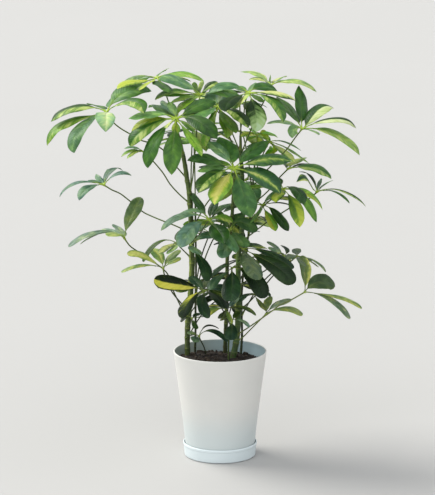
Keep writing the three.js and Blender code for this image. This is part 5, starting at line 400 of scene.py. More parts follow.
        (5.1, 130, 569.8, 25.2, 116.9, 564.7, 46.1, 103.2, 555.3, 0.38, 0.27, 0.89, 22.4, 0, 0, "c"),
        (7.7, 153.7, 573.8, 30.6, 163.6, 569, 54.1, 172.9, 558.5, 0.08, 0.19, 0.98, 22.4, 0, 0, "n"),
    ]),
    ("leaf_left_08", "stem_left", [(-59.4, -6.4, 510.1), (-61.9, -12.4, 520.6), (-65, -20.6, 535.2), (-68.1, -30.8, 553.4), (-71.1, -42, 573.3)], [
        (-93.9, -38.8, 588.1, -123.6, -39.8, 583.5, -147.6, -41.8, 574.1, -0.12, -0.17, 0.98, 35.1, 3.25, 0.5, "n"),
        (-96.5, -41.4, 575.9, -136.5, -45.8, 556, -146, -51.2, 530.8, -0.42, -0.57, 0.71, 33, 0.375, 0, "h"),
        (-99, -54.6, 560.3, -116, -68.3, 530.9, -116.4, -79.9, 500.1, -0.52, -0.66, 0.55, 30, 0.75, 0, "n"),
        (-74.4, -63.7, 548.8, -78.4, -82.8, 522.1, -77.7, -98.2, 493, -0.18, -0.81, 0.56, 31, 0.875, 0, "n"),
        (-55.8, -68.8, 561.1, -39.2, -91.8, 546.3, -29.4, -112.5, 524.9, 0.43, -0.39, 0.82, 22, 2.5, 0, "h"),
        (-48.1, -64, 588.7, -22.2, -88.2, 572, -5, -108.6, 553.9, 0.03, -0.45, 0.89, 34.5, -0.25, 0, "n"),
        (-51.4, -29.3, 584, -32.6, -15.5, 599.9, -6.7, -6.1, 595.2, -0.02, -0.51, 0.86, 29.7, 0.25, 0, "n"),
        (-68.3, -6.5, 585, -51.3, 29.8, 593.7, -19.8, 48.1, 606.4, -0.37, -0.09, 0.93, 30, 3.25, 0, "h"),
        (-84.8, -4.6, 564.8, -84.8, 47, 590.3, -119, 71.9, 575.9, 0.23, -0.06, 0.97, 42, 3, 1, "s"),
        (-75, -9.2, 576.4, -82.5, 22.4, 581.6, -93.8, 52.6, 589, 0.46, -0.04, 0.89, 30, 3.25, 1.5, "s"),
        (-75.8, -62.2, 574.7, -80.7, -82.2, 573.5, -85.8, -101.9, 569.5, -0.49, 0.04, 0.87, 20, -1.125, 0, "y"),
        (-96.8, -37.4, 574.8, -125.8, -33.4, 573.2, -143.5, -34.3, 551.9, 0, -0.45, 0.89, 17, 1.375, 0, "l"),
        (-71.1, -32.8, 582.9, -77.5, -23.5, 592.4, -84, -16.3, 597.5, 0, -0.45, 0.89, 14, 3.25, 0.5, "n"),
        (-58.2, -36.2, 577.1, -45.3, -30, 582.3, -32.4, -26.3, 579.8, 0, -0.45, 0.89, 12, 1.375, 0.5, "n"),
        (-61.4, -38.6, 569.3, -50.1, -35.8, 562.1, -40.5, -34.7, 550.4, 0, -0.45, 0.89, 14, 3.25, 0.5, "n"),
        (-72.7, -47.1, 566.2, -71.1, -52.6, 557.5, -71.1, -57.6, 548.7, 0, -0.45, 0.89, 14, 3.25, 0, "l"),
    ]),
    ("leaf_back_13", "stem_right", [(36.1, 23.2, 467.8), (34.7, 59, 527.3), (32.4, 91.8, 577.8)], [
        (43.2, 114.7, 575.7, 52.6, 134.8, 564.7, 61.1, 152.8, 546.5, 0.39, 0.27, 0.88, 24.5, 0, 0, "n"),
        (19.9, 106.8, 584.4, 7.8, 119.2, 582.3, -5, 138, 574.6, -0.11, 0.15, 0.98, 24.5, 0, 0, "n"),
        (9, 101.5, 588.9, -15.9, 111.8, 589, -42.6, 122.8, 584.4, 0.07, -0.05, 1, 24.5, 0, 0, "c"),
        (10.4, 81.4, 584.5, -11.6, 71, 582.4, -34, 60.4, 572.4, -0.1, 0.05, 0.99, 24.5, 0, 0, "n"),
        (24.8, 70.1, 589.1, 16.8, 47.4, 593.5, 7.8, 21.2, 594.1, -0.09, 0.25, 0.96, 24.5, 0, 0, "e"),
        (43.7, 67, 583.8, 55, 42.5, 581.5, 66.3, 17.9, 569.8, -0.19, -0.19, 0.96, 24.5, 0, 0, "n"),
        (48.4, 104.6, 579.2, 63.5, 116.8, 574.4, 78.9, 129.1, 565.2, 0.25, 0.02, 0.97, 24.5, 0, 0, "e"),
    ]),
    ("leaf_left_09", "stem_left", [(-51.5, -1, 464.7), (-73.6, -0.8, 490.3), (-94.7, -0.5, 516.8), (-114.2, -1.8, 527), (-130.4, -3.4, 532.2), (-146.6, -4.3, 542.3), (-162.7, -5.2, 552.3), (-174, -5.5, 562.2), (-183.6, -5, 578.6)], [
        (-214.5, -1.6, 594.4, -253.2, -2.5, 590.2, -276.2, -8, 564.6, -0.26, -0.13, 0.96, 45, -0.875, 0, "h"),
        (-219.8, -7.3, 567.9, -275.7, -7.4, 567.6, -281.8, -16.5, 525.4, -0.39, -0.32, 0.86, 30, 1.125, 0, "h"),
        (-205.3, -23.4, 578, -248.5, -44.2, 551.1, -234.2, -60.3, 521, -0.44, -0.51, 0.74, 30, 1.25, 1, "s"),
        (-183.6, -37, 584.6, -181.6, -79, 587.6, -182.6, -91, 560.6, 0.13, -0.17, 0.98, 32.8, 3.25, 1, "p"),
        (-190.9, 30.3, 579.9, -201.8, 64.2, 579.2, -219.2, 95.5, 574.6, 0.21, 0.13, 0.97, 30, 1, 0, "n"),
        (-181.2, 32.9, 586.3, -172.9, 69.1, 593.1, -155.4, 102.7, 599.5, -0.53, -0.06, 0.84, 33, 1, 1, "s"),
        (-176.3, 17.5, 597.8, -142.8, 38.8, 622.2, -111.6, 45.5, 605.9, -0.06, -0.4, 0.92, 43.5, 1.25, 0.5, "n"),
        (-170.7, -21.2, 596.9, -127.9, -37.3, 615.3, -122.1, -63, 586.4, -0.26, -0.23, 0.94, 27.5, 0.25, 0, "h"),
    ]),
    ("leaf_front_10", "stem_right", [(34.1, 26.3, 497.4), (26.2, 32.3, 509.3), (16.3, 33.6, 529), (6.4, 22.4, 557.5), (-3.4, -2, 586.3)], [
        (6.5, -22.2, 577.2, 10.6, -40.1, 562.6, 11, -56.7, 544.8, 0.6, -0.44, 0.67, 29.2, 1.5, 0, "h"),
        (6.6, -24.2, 579.5, 16.2, -44.3, 568.7, 25.5, -62.6, 554, 0.48, -0.26, 0.84, 32.4, 0.875, -0.5, "n"),
        (14.5, -22.1, 587.6, 35.9, -41.7, 582.1, 44.7, -59.2, 561.5, 0.21, -0.3, 0.93, 29.7, -1.125, 0, "h"),
        (-7.9, -16.3, 566.6, -28.3, -27.9, 550.8, -24.4, -38.4, 526.9, -0.69, -0.42, 0.58, 27, 2.625, 0, "h"),
        (-7.3, 16.6, 593.1, -13.1, 34.9, 598.5, -21.5, 52.8, 602.3, -0.18, -0.32, 0.93, 24.1, 3.25, 1, "s"),
        (-2.3, 14.1, 596.4, 3.9, 29.6, 603.8, 14.6, 44.6, 608.6, 0.04, -0.42, 0.91, 21.8, 2.625, 1.5, "s"),
        (-17.5, -23.9, 590, -28.3, -45.1, 582.9, -37.1, -65.7, 569.2, -0.36, -0.16, 0.92, 40.5, 1, 0.5, "n"),
        (-23.1, 14.9, 589.4, -42.4, 31.9, 586, -62.5, 48.2, 577.9, -0.02, 0.13, 0.99, 25.9, 1, 0, "n"),
        (-6.7, -1, 577.9, -13.2, -0.3, 567.8, -21.3, 0.7, 560.9, 0, -0.45, 0.89, 14, 1.5, 0, "h"),
        (3.1, 1.1, 577.4, 9.6, 3.8, 566.9, 12.8, 5.2, 553.3, 0, -0.45, 0.89, 12, 0, 0, "n"),
    ]),
    ("leaf_centre_05", "stem_left", [(-49.1, 0.2, 445), (-44.1, -15, 476.4), (-42.4, -22, 502.5), (-39.1, -23.6, 527.5), (-36.7, -9.8, 574.5), (-32.7, 12, 603.8)], [
        (-43.3, 0.8, 621.2, -72.6, -7.6, 638, -99.5, -16.2, 634.4, 0.42, -0.38, 0.82, 31.2, 1.5, 1, "s"),
        (-56.8, 9.1, 611.4, -86.2, 6.8, 616.6, -106.5, 0.6, 598.2, -0.09, -0.14, 0.99, 30.3, 0.625, 0, "h"),
        (-50, 11.9, 603.4, -66.3, 11, 599, -81.5, 9.2, 591.1, -0.27, -0.29, 0.92, 17, 3.25, 0, "h"),
        (-36.9, 27.6, 607.8, -41.6, 43.1, 611.5, -47, 58.5, 614.7, -0.95, -0.31, 0.08, 16.8, 1.625, 0, "e"),
        (-32.8, 28.6, 608.3, -32.9, 45.3, 612.9, -33, 61.9, 617.5, -0.85, -0.15, 0.51, 20.4, 2.25, -0.5, "n"),
        (-25.4, 28.1, 608.8, -18.4, 44.1, 614, -11.6, 59.5, 616.2, -0.59, -0.05, 0.81, 21.8, 2.25, 0, "e"),
        (-8.6, 17.7, 612.7, 14.9, 21.3, 609.6, 37.7, 29.4, 595.6, 0.32, -0.39, 0.86, 26.9, 1.875, 0.5, "n"),
        (-52.7, 23.6, 605.1, -72.6, 35.9, 601.3, -92.9, 49.6, 595.7, 0.07, 0.27, 0.96, 26.9, 0.75, 0, "e"),
        (-24.6, 18.2, 612.5, -14.8, 24.7, 622.8, -3.4, 28.2, 622, 0, -0.45, 0.89, 15, -1, 0, "h"),
    ]),
    ("leaf_centre_06", "stem_right", [(32.9, 27.7, 510.6), (32.6, 26.6, 530.2), (34.2, 25.6, 548.7), (39.1, 24.1, 572.1), (40.7, 23.1, 588.8), (45.5, 22, 605.5)], [
        (30.8, 21.3, 623.5, -2.6, 17.8, 622.9, -19.7, 12.3, 607.8, -0.06, -0.34, 0.94, 28.1, 1.125, 1, "s"),
        (46.2, 52.8, 601.4, 47.3, 83.3, 598.6, 51.5, 112, 604, -0.72, 0.04, 0.69, 34.5, 1.375, 0.5, "n"),
        (57, 40.4, 615.3, 85.7, 53.7, 615.5, 95.3, 60.6, 601.1, 0.41, -0.25, 0.88, 29.3, 0.25, 0, "n"),
        (71.6, 20.4, 609, 101.5, 18.5, 607.5, 123.7, 14.8, 595.9, 0.19, -0.05, 0.98, 40.5, -1.125, 0, "y"),
        (72.3, 6.3, 608.6, 100.7, -9.5, 596, 101.7, -25.1, 565.5, 0.47, -0.3, 0.83, 33, 0.75, 0.5, "h"),
        (56.8, -3, 594, 59.6, -24.9, 575.7, 58.6, -45.4, 554.3, 0.19, -0.62, 0.76, 34.5, -1.125, 0, "d"),
        (29.2, -18.9, 607.9, 8.3, -60, 609.4, 7.7, -103.9, 596.5, -0.01, -0.08, 1, 30, -1.125, 0, "t"),
        (39.1, -7.1, 605.7, 32.9, -35.8, 601.8, 27, -64.2, 594.9, -0.54, -0.01, 0.84, 30, 2.25, 0, "y"),
        (28.9, 47.3, 606.2, 12.8, 72.4, 604.1, -4.6, 97.9, 599.8, 0.21, 0.21, 0.96, 28.8, 0, 0, "n"),
        (52, 25.8, 599.8, 61.8, 30.2, 597.1, 73.3, 32.9, 589.9, 0, -0.45, 0.89, 17, 2.5, 0.5, "n"),
        (42.3, 26.5, 609.6, 34.1, 30.9, 613.7, 24.3, 33.5, 611.4, 0, -0.45, 0.89, 14, 1.75, 0.5, "s"),
    ]),
    ("leaf_back_14", "stem_right", [(33.7, 26.8, 502.1), (49.1, 36.3, 538.5), (60.7, 46.6, 565.1), (72.3, 57.4, 586.6), (84, 72, 610.9)], [
        (73.6, 95.1, 622.2, 57, 114.8, 629, 34.2, 128.5, 624.9, 0.12, -0.09, 0.99, 24, 2.625, 0, "e"),
        (73.3, 74, 620, 61.3, 74.7, 623.4, 47.7, 73.9, 619.8, 0.13, -0.28, 0.95, 13.1, -1.125, 0, "y"),
        (82.9, 86.7, 611.6, 82.1, 101.5, 612.3, 81.8, 116.2, 613.2, -0.99, -0.05, 0.14, 24, 1, 0, "n"),
        (97.6, 89.7, 616.8, 115.6, 102.9, 615.1, 138, 112.1, 608.1, 0.1, -0.03, 0.99, 24, 1, 0, "e"),
        (107.9, 74.9, 624.1, 140.1, 73.7, 618.6, 159.8, 69.7, 600.5, 0.25, -0.15, 0.96, 27.6, 2, 0, "h"),
        (89, 97.6, 613.3, 97.1, 122.1, 614.9, 110.5, 144.7, 614.9, -0.32, 0.08, 0.94, 24, 1, 0, "y"),
    ]),
    ("leaf_left_10", "stem_left", [(-58.3, -5.7, 504.5), (-62.4, 21.9, 519.5), (-70.9, 49.5, 542.9), (-82.5, 63.5, 577.3), (-88.2, 61.6, 594.3), (-93.7, 53.5, 613.8), (-103.2, 42, 627.2)], [
        (-124.1, 43.3, 633.2, -143.6, 43.1, 632.1, -160.5, 40.1, 618.4, -0.21, -0.18, 0.96, 19.6, 1.875, 0.5, "n"),
        (-123.6, 24.6, 621.7, -150.7, 9.8, 630.8, -166.9, -9.4, 617, 0.06, -0.17, 0.98, 26, -1.125, 0, "l"),
        (-79.3, 44.7, 639.7, -49.4, 44, 636.2, -26.3, 41.1, 623.2, 0.15, -0.14, 0.98, 31.2, 1.625, 0, "h"),
        (-97, 14.4, 623.9, -90.5, -13.3, 621.2, -83.8, -40.9, 618.7, 0.29, -0.03, 0.96, 33.8, 0.375, 0, "n"),
        (-103, 70.8, 628.6, -99.1, 99.1, 628.7, -90.1, 126.5, 626.9, -0.55, 0.11, 0.83, 26, 1, 0, "e"),
        (-110.5, 15.2, 627.5, -119.8, -10.6, 624.6, -130.6, -35.6, 619.5, -0.36, 0.02, 0.93, 26, -1.125, 0, "l"),
        (-116.4, 56.1, 628.9, -128.8, 69.3, 623.5, -140.3, 81.6, 611.9, -0.18, 0.21, 0.96, 25, 3.25, 1, "n"),
        (-84.6, 54.8, 632.2, -66.4, 67.4, 627.7, -48.6, 79.6, 616, 0.11, 0.14, 0.98, 25, 0, 0, "e"),
    ]),
]

# the share of a leaflet that is stalk
BLADE_START = 0.17
# a blade's half width along its length, as a share of the widest
WIDTH_AT = np.array([0, 0.03, 0.06, 0.14, 0.25, 0.38, 0.5, 0.62, 0.74, 0.84, 0.92, 0.97, 0.992, 1])
WIDTH = np.array([0.045, 0.1, 0.17, 0.38, 0.65, 0.87, 0.97, 1.0, 0.93, 0.76, 0.49, 0.23, 0.085, 0.01])
# the same for the pointed blades of young leaves
WIDTH_KEEN = np.array([0.045, 0.1, 0.17, 0.41, 0.7, 0.92, 1.0, 0.98, 0.86, 0.65, 0.39, 0.17, 0.06, 0.01])
# and for the blunt blades of old leaves
WIDTH_BLUNT = np.array([0.045, 0.09, 0.15, 0.33, 0.57, 0.79, 0.91, 0.99, 1.0, 0.93, 0.76, 0.53, 0.3, 0.02])
# where a blade's columns lie between its midrib and its margins
COLUMNS = np.array([-1, -0.94, -0.82, -0.64, -0.44, -0.26, -0.12, -0.04, 0, 0.04, 0.12, 0.26, 0.44, 0.64, 0.82, 0.94, 1])
BLADE_ROWS = 26

SOIL_LEVEL = 157.0
# low heaps of soil: x, y, height, spread
SOIL_HEAPS = [(-50, 14, 8.0, 24.0), (8, 10, 9.0, 34.0), (40, -8, 3.0, 20.0), (-12, -30, 2.5, 18.0)]


def lin(r, g, b):
    """An sRGB colour of 0 to 255 as linear light."""
    c = np.array([r, g, b], float) / 255
    return np.where(c <= 0.04045, c / 12.92, ((c + 0.055) / 1.055) ** 2.4)


def unit(v):
    v = np.asarray(v, float)
    return v / (np.linalg.norm(v, axis=-1, keepdims=True) + 1e-12)


def smooth(x, a=0.0, b=1.0):
    x = np.clip((np.asarray(x, float) - a) / (b - a), 0, 1)
    return x * x * (3 - 2 * x)


def hermite(x, xs, ys):
    """A smooth curve through the points, that doesn't overshoot them."""
    h = np.diff(xs)
    d = np.diff(ys) / h
    m = np.zeros(len(xs))
    m[1:-1] = np.where(d[1:] * d[:-1] > 0, 2 * d[1:] * d[:-1] / (d[1:] + d[:-1] + 1e-12), 0)
    m[0], m[-1] = d[0], d[-1]
    k = np.clip(np.searchsorted(xs, x, side="right") - 1, 0, len(xs) - 2)
    t = (x - xs[k]) / h[k]
    return (
        (2 * t**3 - 3 * t**2 + 1) * ys[k]
        + (t**3 - 2 * t**2 + t) * h[k] * m[k]
        + (-2 * t**3 + 3 * t**2) * ys[k + 1]
        + (t**3 - t**2) * h[k] * m[k + 1]
    )


def bezier(P, t):
    t = np.asarray(t, float)[:, None]
    return (1 - t) ** 3 * P[0] + 3 * (1 - t) ** 2 * t * P[1] + 3 * (1 - t) * t**2 * P[2] + t**3 * P[3]


def bezier_slope(P, t):
    t = np.asarray(t, float)[:, None]
    return 3 * (1 - t) ** 2 * (P[1] - P[0]) + 6 * (1 - t) * t * (P[2] - P[1]) + 3 * t**2 * (P[3] - P[2])


def through(points, count):
    """A smooth line through the points, its count of places evenly spaced, and how far along each place is."""
    P = np.asarray(points, float)
    ext = np.vstack([2 * P[0] - P[1], P, 2 * P[-1] - P[-2]])
    out = []
    for i in range(1, len(ext) - 2):
        p0, p1, p2, p3 = ext[i - 1 : i + 3]
        k = np.cumsum([0] + [max(np.linalg.norm(b - a), 1e-6) ** 0.5 for a, b in ((p0, p1), (p1, p2), (p2, p3))])
        t = np.linspace(k[1], k[2], 16, endpoint=False)[:, None]
        a1 = (k[1] - t) / (k[1] - k[0]) * p0 + (t - k[0]) / (k[1] - k[0]) * p1
        a2 = (k[2] - t) / (k[2] - k[1]) * p1 + (t - k[1]) / (k[2] - k[1]) * p2
        a3 = (k[3] - t) / (k[3] - k[2]) * p2 + (t - k[2]) / (k[3] - k[2]) * p3
        b1 = (k[2] - t) / (k[2] - k[0]) * a1 + (t - k[0]) / (k[2] - k[0]) * a2
        b2 = (k[3] - t) / (k[3] - k[1]) * a2 + (t - k[1]) / (k[3] - k[1]) * a3
        out.append((k[2] - t) / (k[2] - k[1]) * b1 + (t - k[1]) / (k[2] - k[1]) * b2)
    C = np.vstack(out + [P[-1:]])
    s = np.concatenate([[0], np.cumsum(np.linalg.norm(np.diff(C, axis=0), axis=1))])
    at = np.linspace(0, s[-1], count)
    return np.stack([np.interp(at, s, C[:, k]) for k in range(3)], -1), at


class Shell:
    """Vertices, faces and numbers per vertex that become one mesh."""

    def __init__(self):
        self.v, self.q, self.t, self.mq, self.mt, self.parts = [], [], [], [], [], []
        self.n = 0

    def add(self, verts, quads=(), tris=(), material=0, **values):
        verts = np.asarray(verts, float).reshape(-1, 3)
        quads = np.asarray(quads, int).reshape(-1, 4)
        tris = np.asarray(tris, int).reshape(-1, 3)
        self.v.append(verts)
        self.q.append(quads + self.n)
        self.t.append(tris + self.n)
        self.mq.append(np.full(len(quads), material))
        self.mt.append(np.full(len(tris), material))
        self.parts.append((len(verts), values))
        self.n += len(verts)

    def build(self, name, materials, sharp=60):
        v = np.concatenate(self.v) * MM
        q, t = np.concatenate(self.q), np.concatenate(self.t)
        me = bpy.data.meshes.new(name)
        me.vertices.add(len(v))
        me.vertices.foreach_set("co", v.astype(np.float32).ravel())
        me.loops.add(q.size + t.size)
        me.loops.foreach_set("vertex_index", np.concatenate([q.ravel(), t.ravel()]).astype(np.int32))
        me.polygons.add(len(q) + len(t))
        starts = np.concatenate([np.arange(len(q)) * 4, q.size + np.arange(len(t)) * 3])
        me.polygons.foreach_set("loop_start", starts.astype(np.int32))
        me.polygons.foreach_set("material_index", np.concatenate(self.mq + self.mt).astype(np.int32))
        me.polygons.foreach_set("use_smooth", np.ones(len(q) + len(t), bool))
        me.update(calc_edges=True)
        me.set_sharp_from_angle(angle=math.radians(sharp))
        for key in sorted({k for _, vals in self.parts for k in vals}):
            wide = any(np.ndim(vals.get(key, 0)) == 2 or (np.ndim(vals.get(key, 0)) == 1 and np.size(vals.get(key, 0)) == 3) for n, vals in self.parts if n != 3)
            rows = []
            for n, vals in self.parts:
                a = np.asarray(vals.get(key, 0.0), float)
                if wide:
                    a = np.broadcast_to(a if a.ndim else np.full(3, float(a)), (n, 3))
                else:
                    a = np.broadcast_to(a, (n,))
                rows.append(a)
            data = np.concatenate(rows).astype(np.float32).ravel()
            att = me.attributes.new(key, "FLOAT_VECTOR" if wide else "FLOAT", "POINT")
            att.data.foreach_set("vector" if wide else "value", data)
        for m in materials:
            me.materials.append(m)
        o = bpy.data.objects.new(name, me)
        bpy.context.scene.collection.objects.link(o)
        return o


def lattice(rows, cols, closed=False, flip=False):
    """The quads between rows of cols vertices each."""
    i, j = np.meshgrid(np.arange(rows - 1), np.arange(cols if closed else cols - 1), indexing="ij")
    a = i * cols + j
    b = i * cols + (j + 1) % cols
    q = np.stack([a, b, b + cols, a + cols], -1).reshape(-1, 4)
    return q[:, ::-1] if flip else q


def frames(C):
    """Tangents of a line and two directions across it that turn as little as they can."""
    T = unit(np.gradient(C, axis=0))
    a = np.cross(T[0], [0, 1, 0] if abs(T[0][1]) < 0.8 else [1, 0, 0])
    A = [unit(a)]
    for k in range(1, len(C)):
        a = A[-1] - T[k] * (A[-1] @ T[k])
        A.append(unit(a))
    A = np.array(A)
    return T, A, np.cross(T, A)


def tube(C, radius, sides):
    """A round tube along C with closed ends: its vertices, quads, triangles, and how far round each vertex is."""
    T, A, B = frames(C)
    th = np.linspace(0, 2 * np.pi, sides, endpoint=False)
    R = np.asarray(radius, float)
    if R.ndim == 1:
        R = R[:, None] * np.ones(sides)
    V = C[:, None] + A[:, None] * (np.cos(th) * R)[..., None] + B[:, None] * (np.sin(th) * R)[..., None]
    n = len(C)
    verts = np.concatenate([V.reshape(-1, 3), C[:1], C[-1:]])
    quads = lattice(n, sides, closed=True)
    j = np.arange(sides)
    k = (j + 1) % sides
    first, last = n * sides, n * sides + 1
    tris = np.concatenate([np.stack([np.full(sides, first), k, j], -1), np.stack([np.full(sides, last), (n - 1) * sides + j, (n - 1) * sides + k], -1)])
    return verts, quads, tris, np.concatenate([np.tile(th, n), [0, 0]])


def turned(profile, steps):
    """A closed profile of radius and height turned about +Z."""
    profile = np.asarray(profile, float)
    th = np.linspace(0, 2 * np.pi, steps, endpoint=False)
    r, z = profile[:, 0], profile[:, 1]
    verts, rows = [], []
    for rr, zz in zip(r, z):
        if rr < 1e-6:
            rows.append([len(verts)])
            verts.append((0, 0, zz))
        else:
            rows.append(list(range(len(verts), len(verts) + steps)))
            verts += [(rr * c, rr * s, zz) for c, s in zip(np.cos(th), np.sin(th))]
    quads, tris = [], []
    for a, b in zip(rows, rows[1:]):
        for j in range(steps):
            k = (j + 1) % steps
            if len(a) == 1 and len(b) == 1:
                continue
            if len(a) == 1:
                tris.append((a[0], b[k], b[j]))
            elif len(b) == 1:
                tris.append((a[j], a[k], b[0]))
            else:
                quads.append((a[j], a[k], b[k], b[j]))
    return np.array(verts), quads, tris


def rounded(points, radius, steps=5):
    """A profile with its corners rounded. Each point may carry a radius of its own."""
    out = []
    P = [np.array(p[:2], float) for p in points]
    for i, p in enumerate(P):
        r = points[i][2] if len(points[i]) > 2 else radius
        if i in (0, len(P) - 1) or r <= 0:
            out.append(p)
            continue
        a, b = P[i - 1] - p, P[i + 1] - p
        la, lb = np.linalg.norm(a), np.linalg.norm(b)
        r = min(r, la * 0.49, lb * 0.49)
        for t in np.linspace(0, 1, steps):
            out.append((1 - t) ** 2 * (p + a / la * r) + 2 * t * (1 - t) * p + t * t * (p + b / lb * r))
    return out


def ball(level):
    """An icosphere's vertices and triangles."""
    bm = bmesh.new()
    bmesh.ops.create_icosphere(bm, subdivisions=level, radius=1)
    v = np.array([x.co[:] for x in bm.verts])
    t = np.array([[x.index for x in f.verts] for f in bm.faces])
    bm.free()
    return v, t


# ---------- node trees
class Net:
    """A material's node tree, written as sums."""

    def __init__(self, name):
        self.mat = bpy.data.materials.new(name)
        self.mat.use_nodes = True
        self.tree = self.mat.node_tree
        self.tree.nodes.clear()
        self.out = self.tree.nodes.new("ShaderNodeOutputMaterial")

    def node(self, kind, inputs=None, **props):
        n = self.tree.nodes.new(kind)
        for k, v in props.items():
            setattr(n, k, v)
        for k, v in (inputs or {}).items():
            self.put(n.inputs[k], v)
        return n

    def put(self, socket, v):
        if isinstance(v, bpy.types.NodeSocket):
            self.tree.links.new(v, socket)
        elif socket.type == "RGBA" and len(v) == 3:
            socket.default_value = (*[float(x) for x in v], 1)
        elif socket.type in ("VECTOR", "RGBA"):
            socket.default_value = [float(x) for x in v]
        else:
            socket.default_value = float(v)

    def num(self, name):
        return self.node("ShaderNodeAttribute", attribute_name=name).outputs["Fac"]

    def vec(self, name):
        return self.node("ShaderNodeAttribute", attribute_name=name).outputs["Vector"]

    def math(self, op, a, b=0.0, c=0.0, clamp=False):
        n = self.node("ShaderNodeMath", operation=op, use_clamp=clamp)
        for s, v in zip(n.inputs, (a, b, c)):
            self.put(s, v)
        return n.outputs[0]

    def add(self, *terms):
        out = terms[0]
        for t in terms[1:]:
            out = self.math("ADD", out, t)
        return out

    def mul(self, a, b):
        return self.math("MULTIPLY", a, b)

    def ramp(self, x, a, b, lo=0.0, hi=1.0):
        """x from a to b goes smoothly from lo to hi."""
        n = self.node("ShaderNodeMapRange", interpolation_type="SMOOTHSTEP", clamp=True)
        for s, v in zip(n.inputs, (x, a, b, lo, hi)):
            self.put(s, v)
        return n.outputs[0]

    def mix(self, f, a, b, kind="MIX"):
        n = self.node("ShaderNodeMix", data_type="RGBA", blend_type=kind, clamp_factor=True)
        self.put(n.inputs[0], f)
        self.put(n.inputs[6], a)
        self.put(n.inputs[7], b)
        return n.outputs[2]

    def xyz(self, x, y, z):
        n = self.node("ShaderNodeCombineXYZ")
        for s, v in zip(n.inputs, (x, y, z)):
            self.put(s, v)
        return n.outputs[0]

    def noise(self, at, scale, detail=2.0, rough=0.5, distort=0.0):
        n = self.node("ShaderNodeTexNoise", {"Scale": scale, "Detail": detail, "Roughness": rough, "Distortion": distort})
        self.put(n.inputs["Vector"], at)
        return n.outputs["Fac"]

    def cells(self, at, scale, feature="F1", out="Distance"):
        n = self.node("ShaderNodeTexVoronoi", {"Scale": scale}, feature=feature)
        self.put(n.inputs["Vector"], at)
        return n.outputs[out]

    def place(self):
        return self.node("ShaderNodeTexCoord").outputs["Object"]

    def bump(self, height, distance, strength=1.0, normal=None):
        n = self.node("ShaderNodeBump", {"Strength": strength, "Distance": distance})
        self.put(n.inputs["Height"], height)
        if normal is not None:
            self.put(n.inputs["Normal"], normal)
        return n.outputs[0]

    def surface(self, colour, rough, normal=None, **numbers):
        n = self.node("ShaderNodeBsdfPrincipled")
        self.put(n.inputs["Base Color"], colour)
        self.put(n.inputs["Roughness"], rough)
        if normal is not None:
            self.put(n.inputs["Normal"], normal)
        for k, v in numbers.items():
            self.put(n.inputs[k.replace("_", " ")], v)
        return n.outputs[0]

    def done(self, shader):
        self.tree.links.new(shader, self.out.inputs["Surface"])
        return self.mat


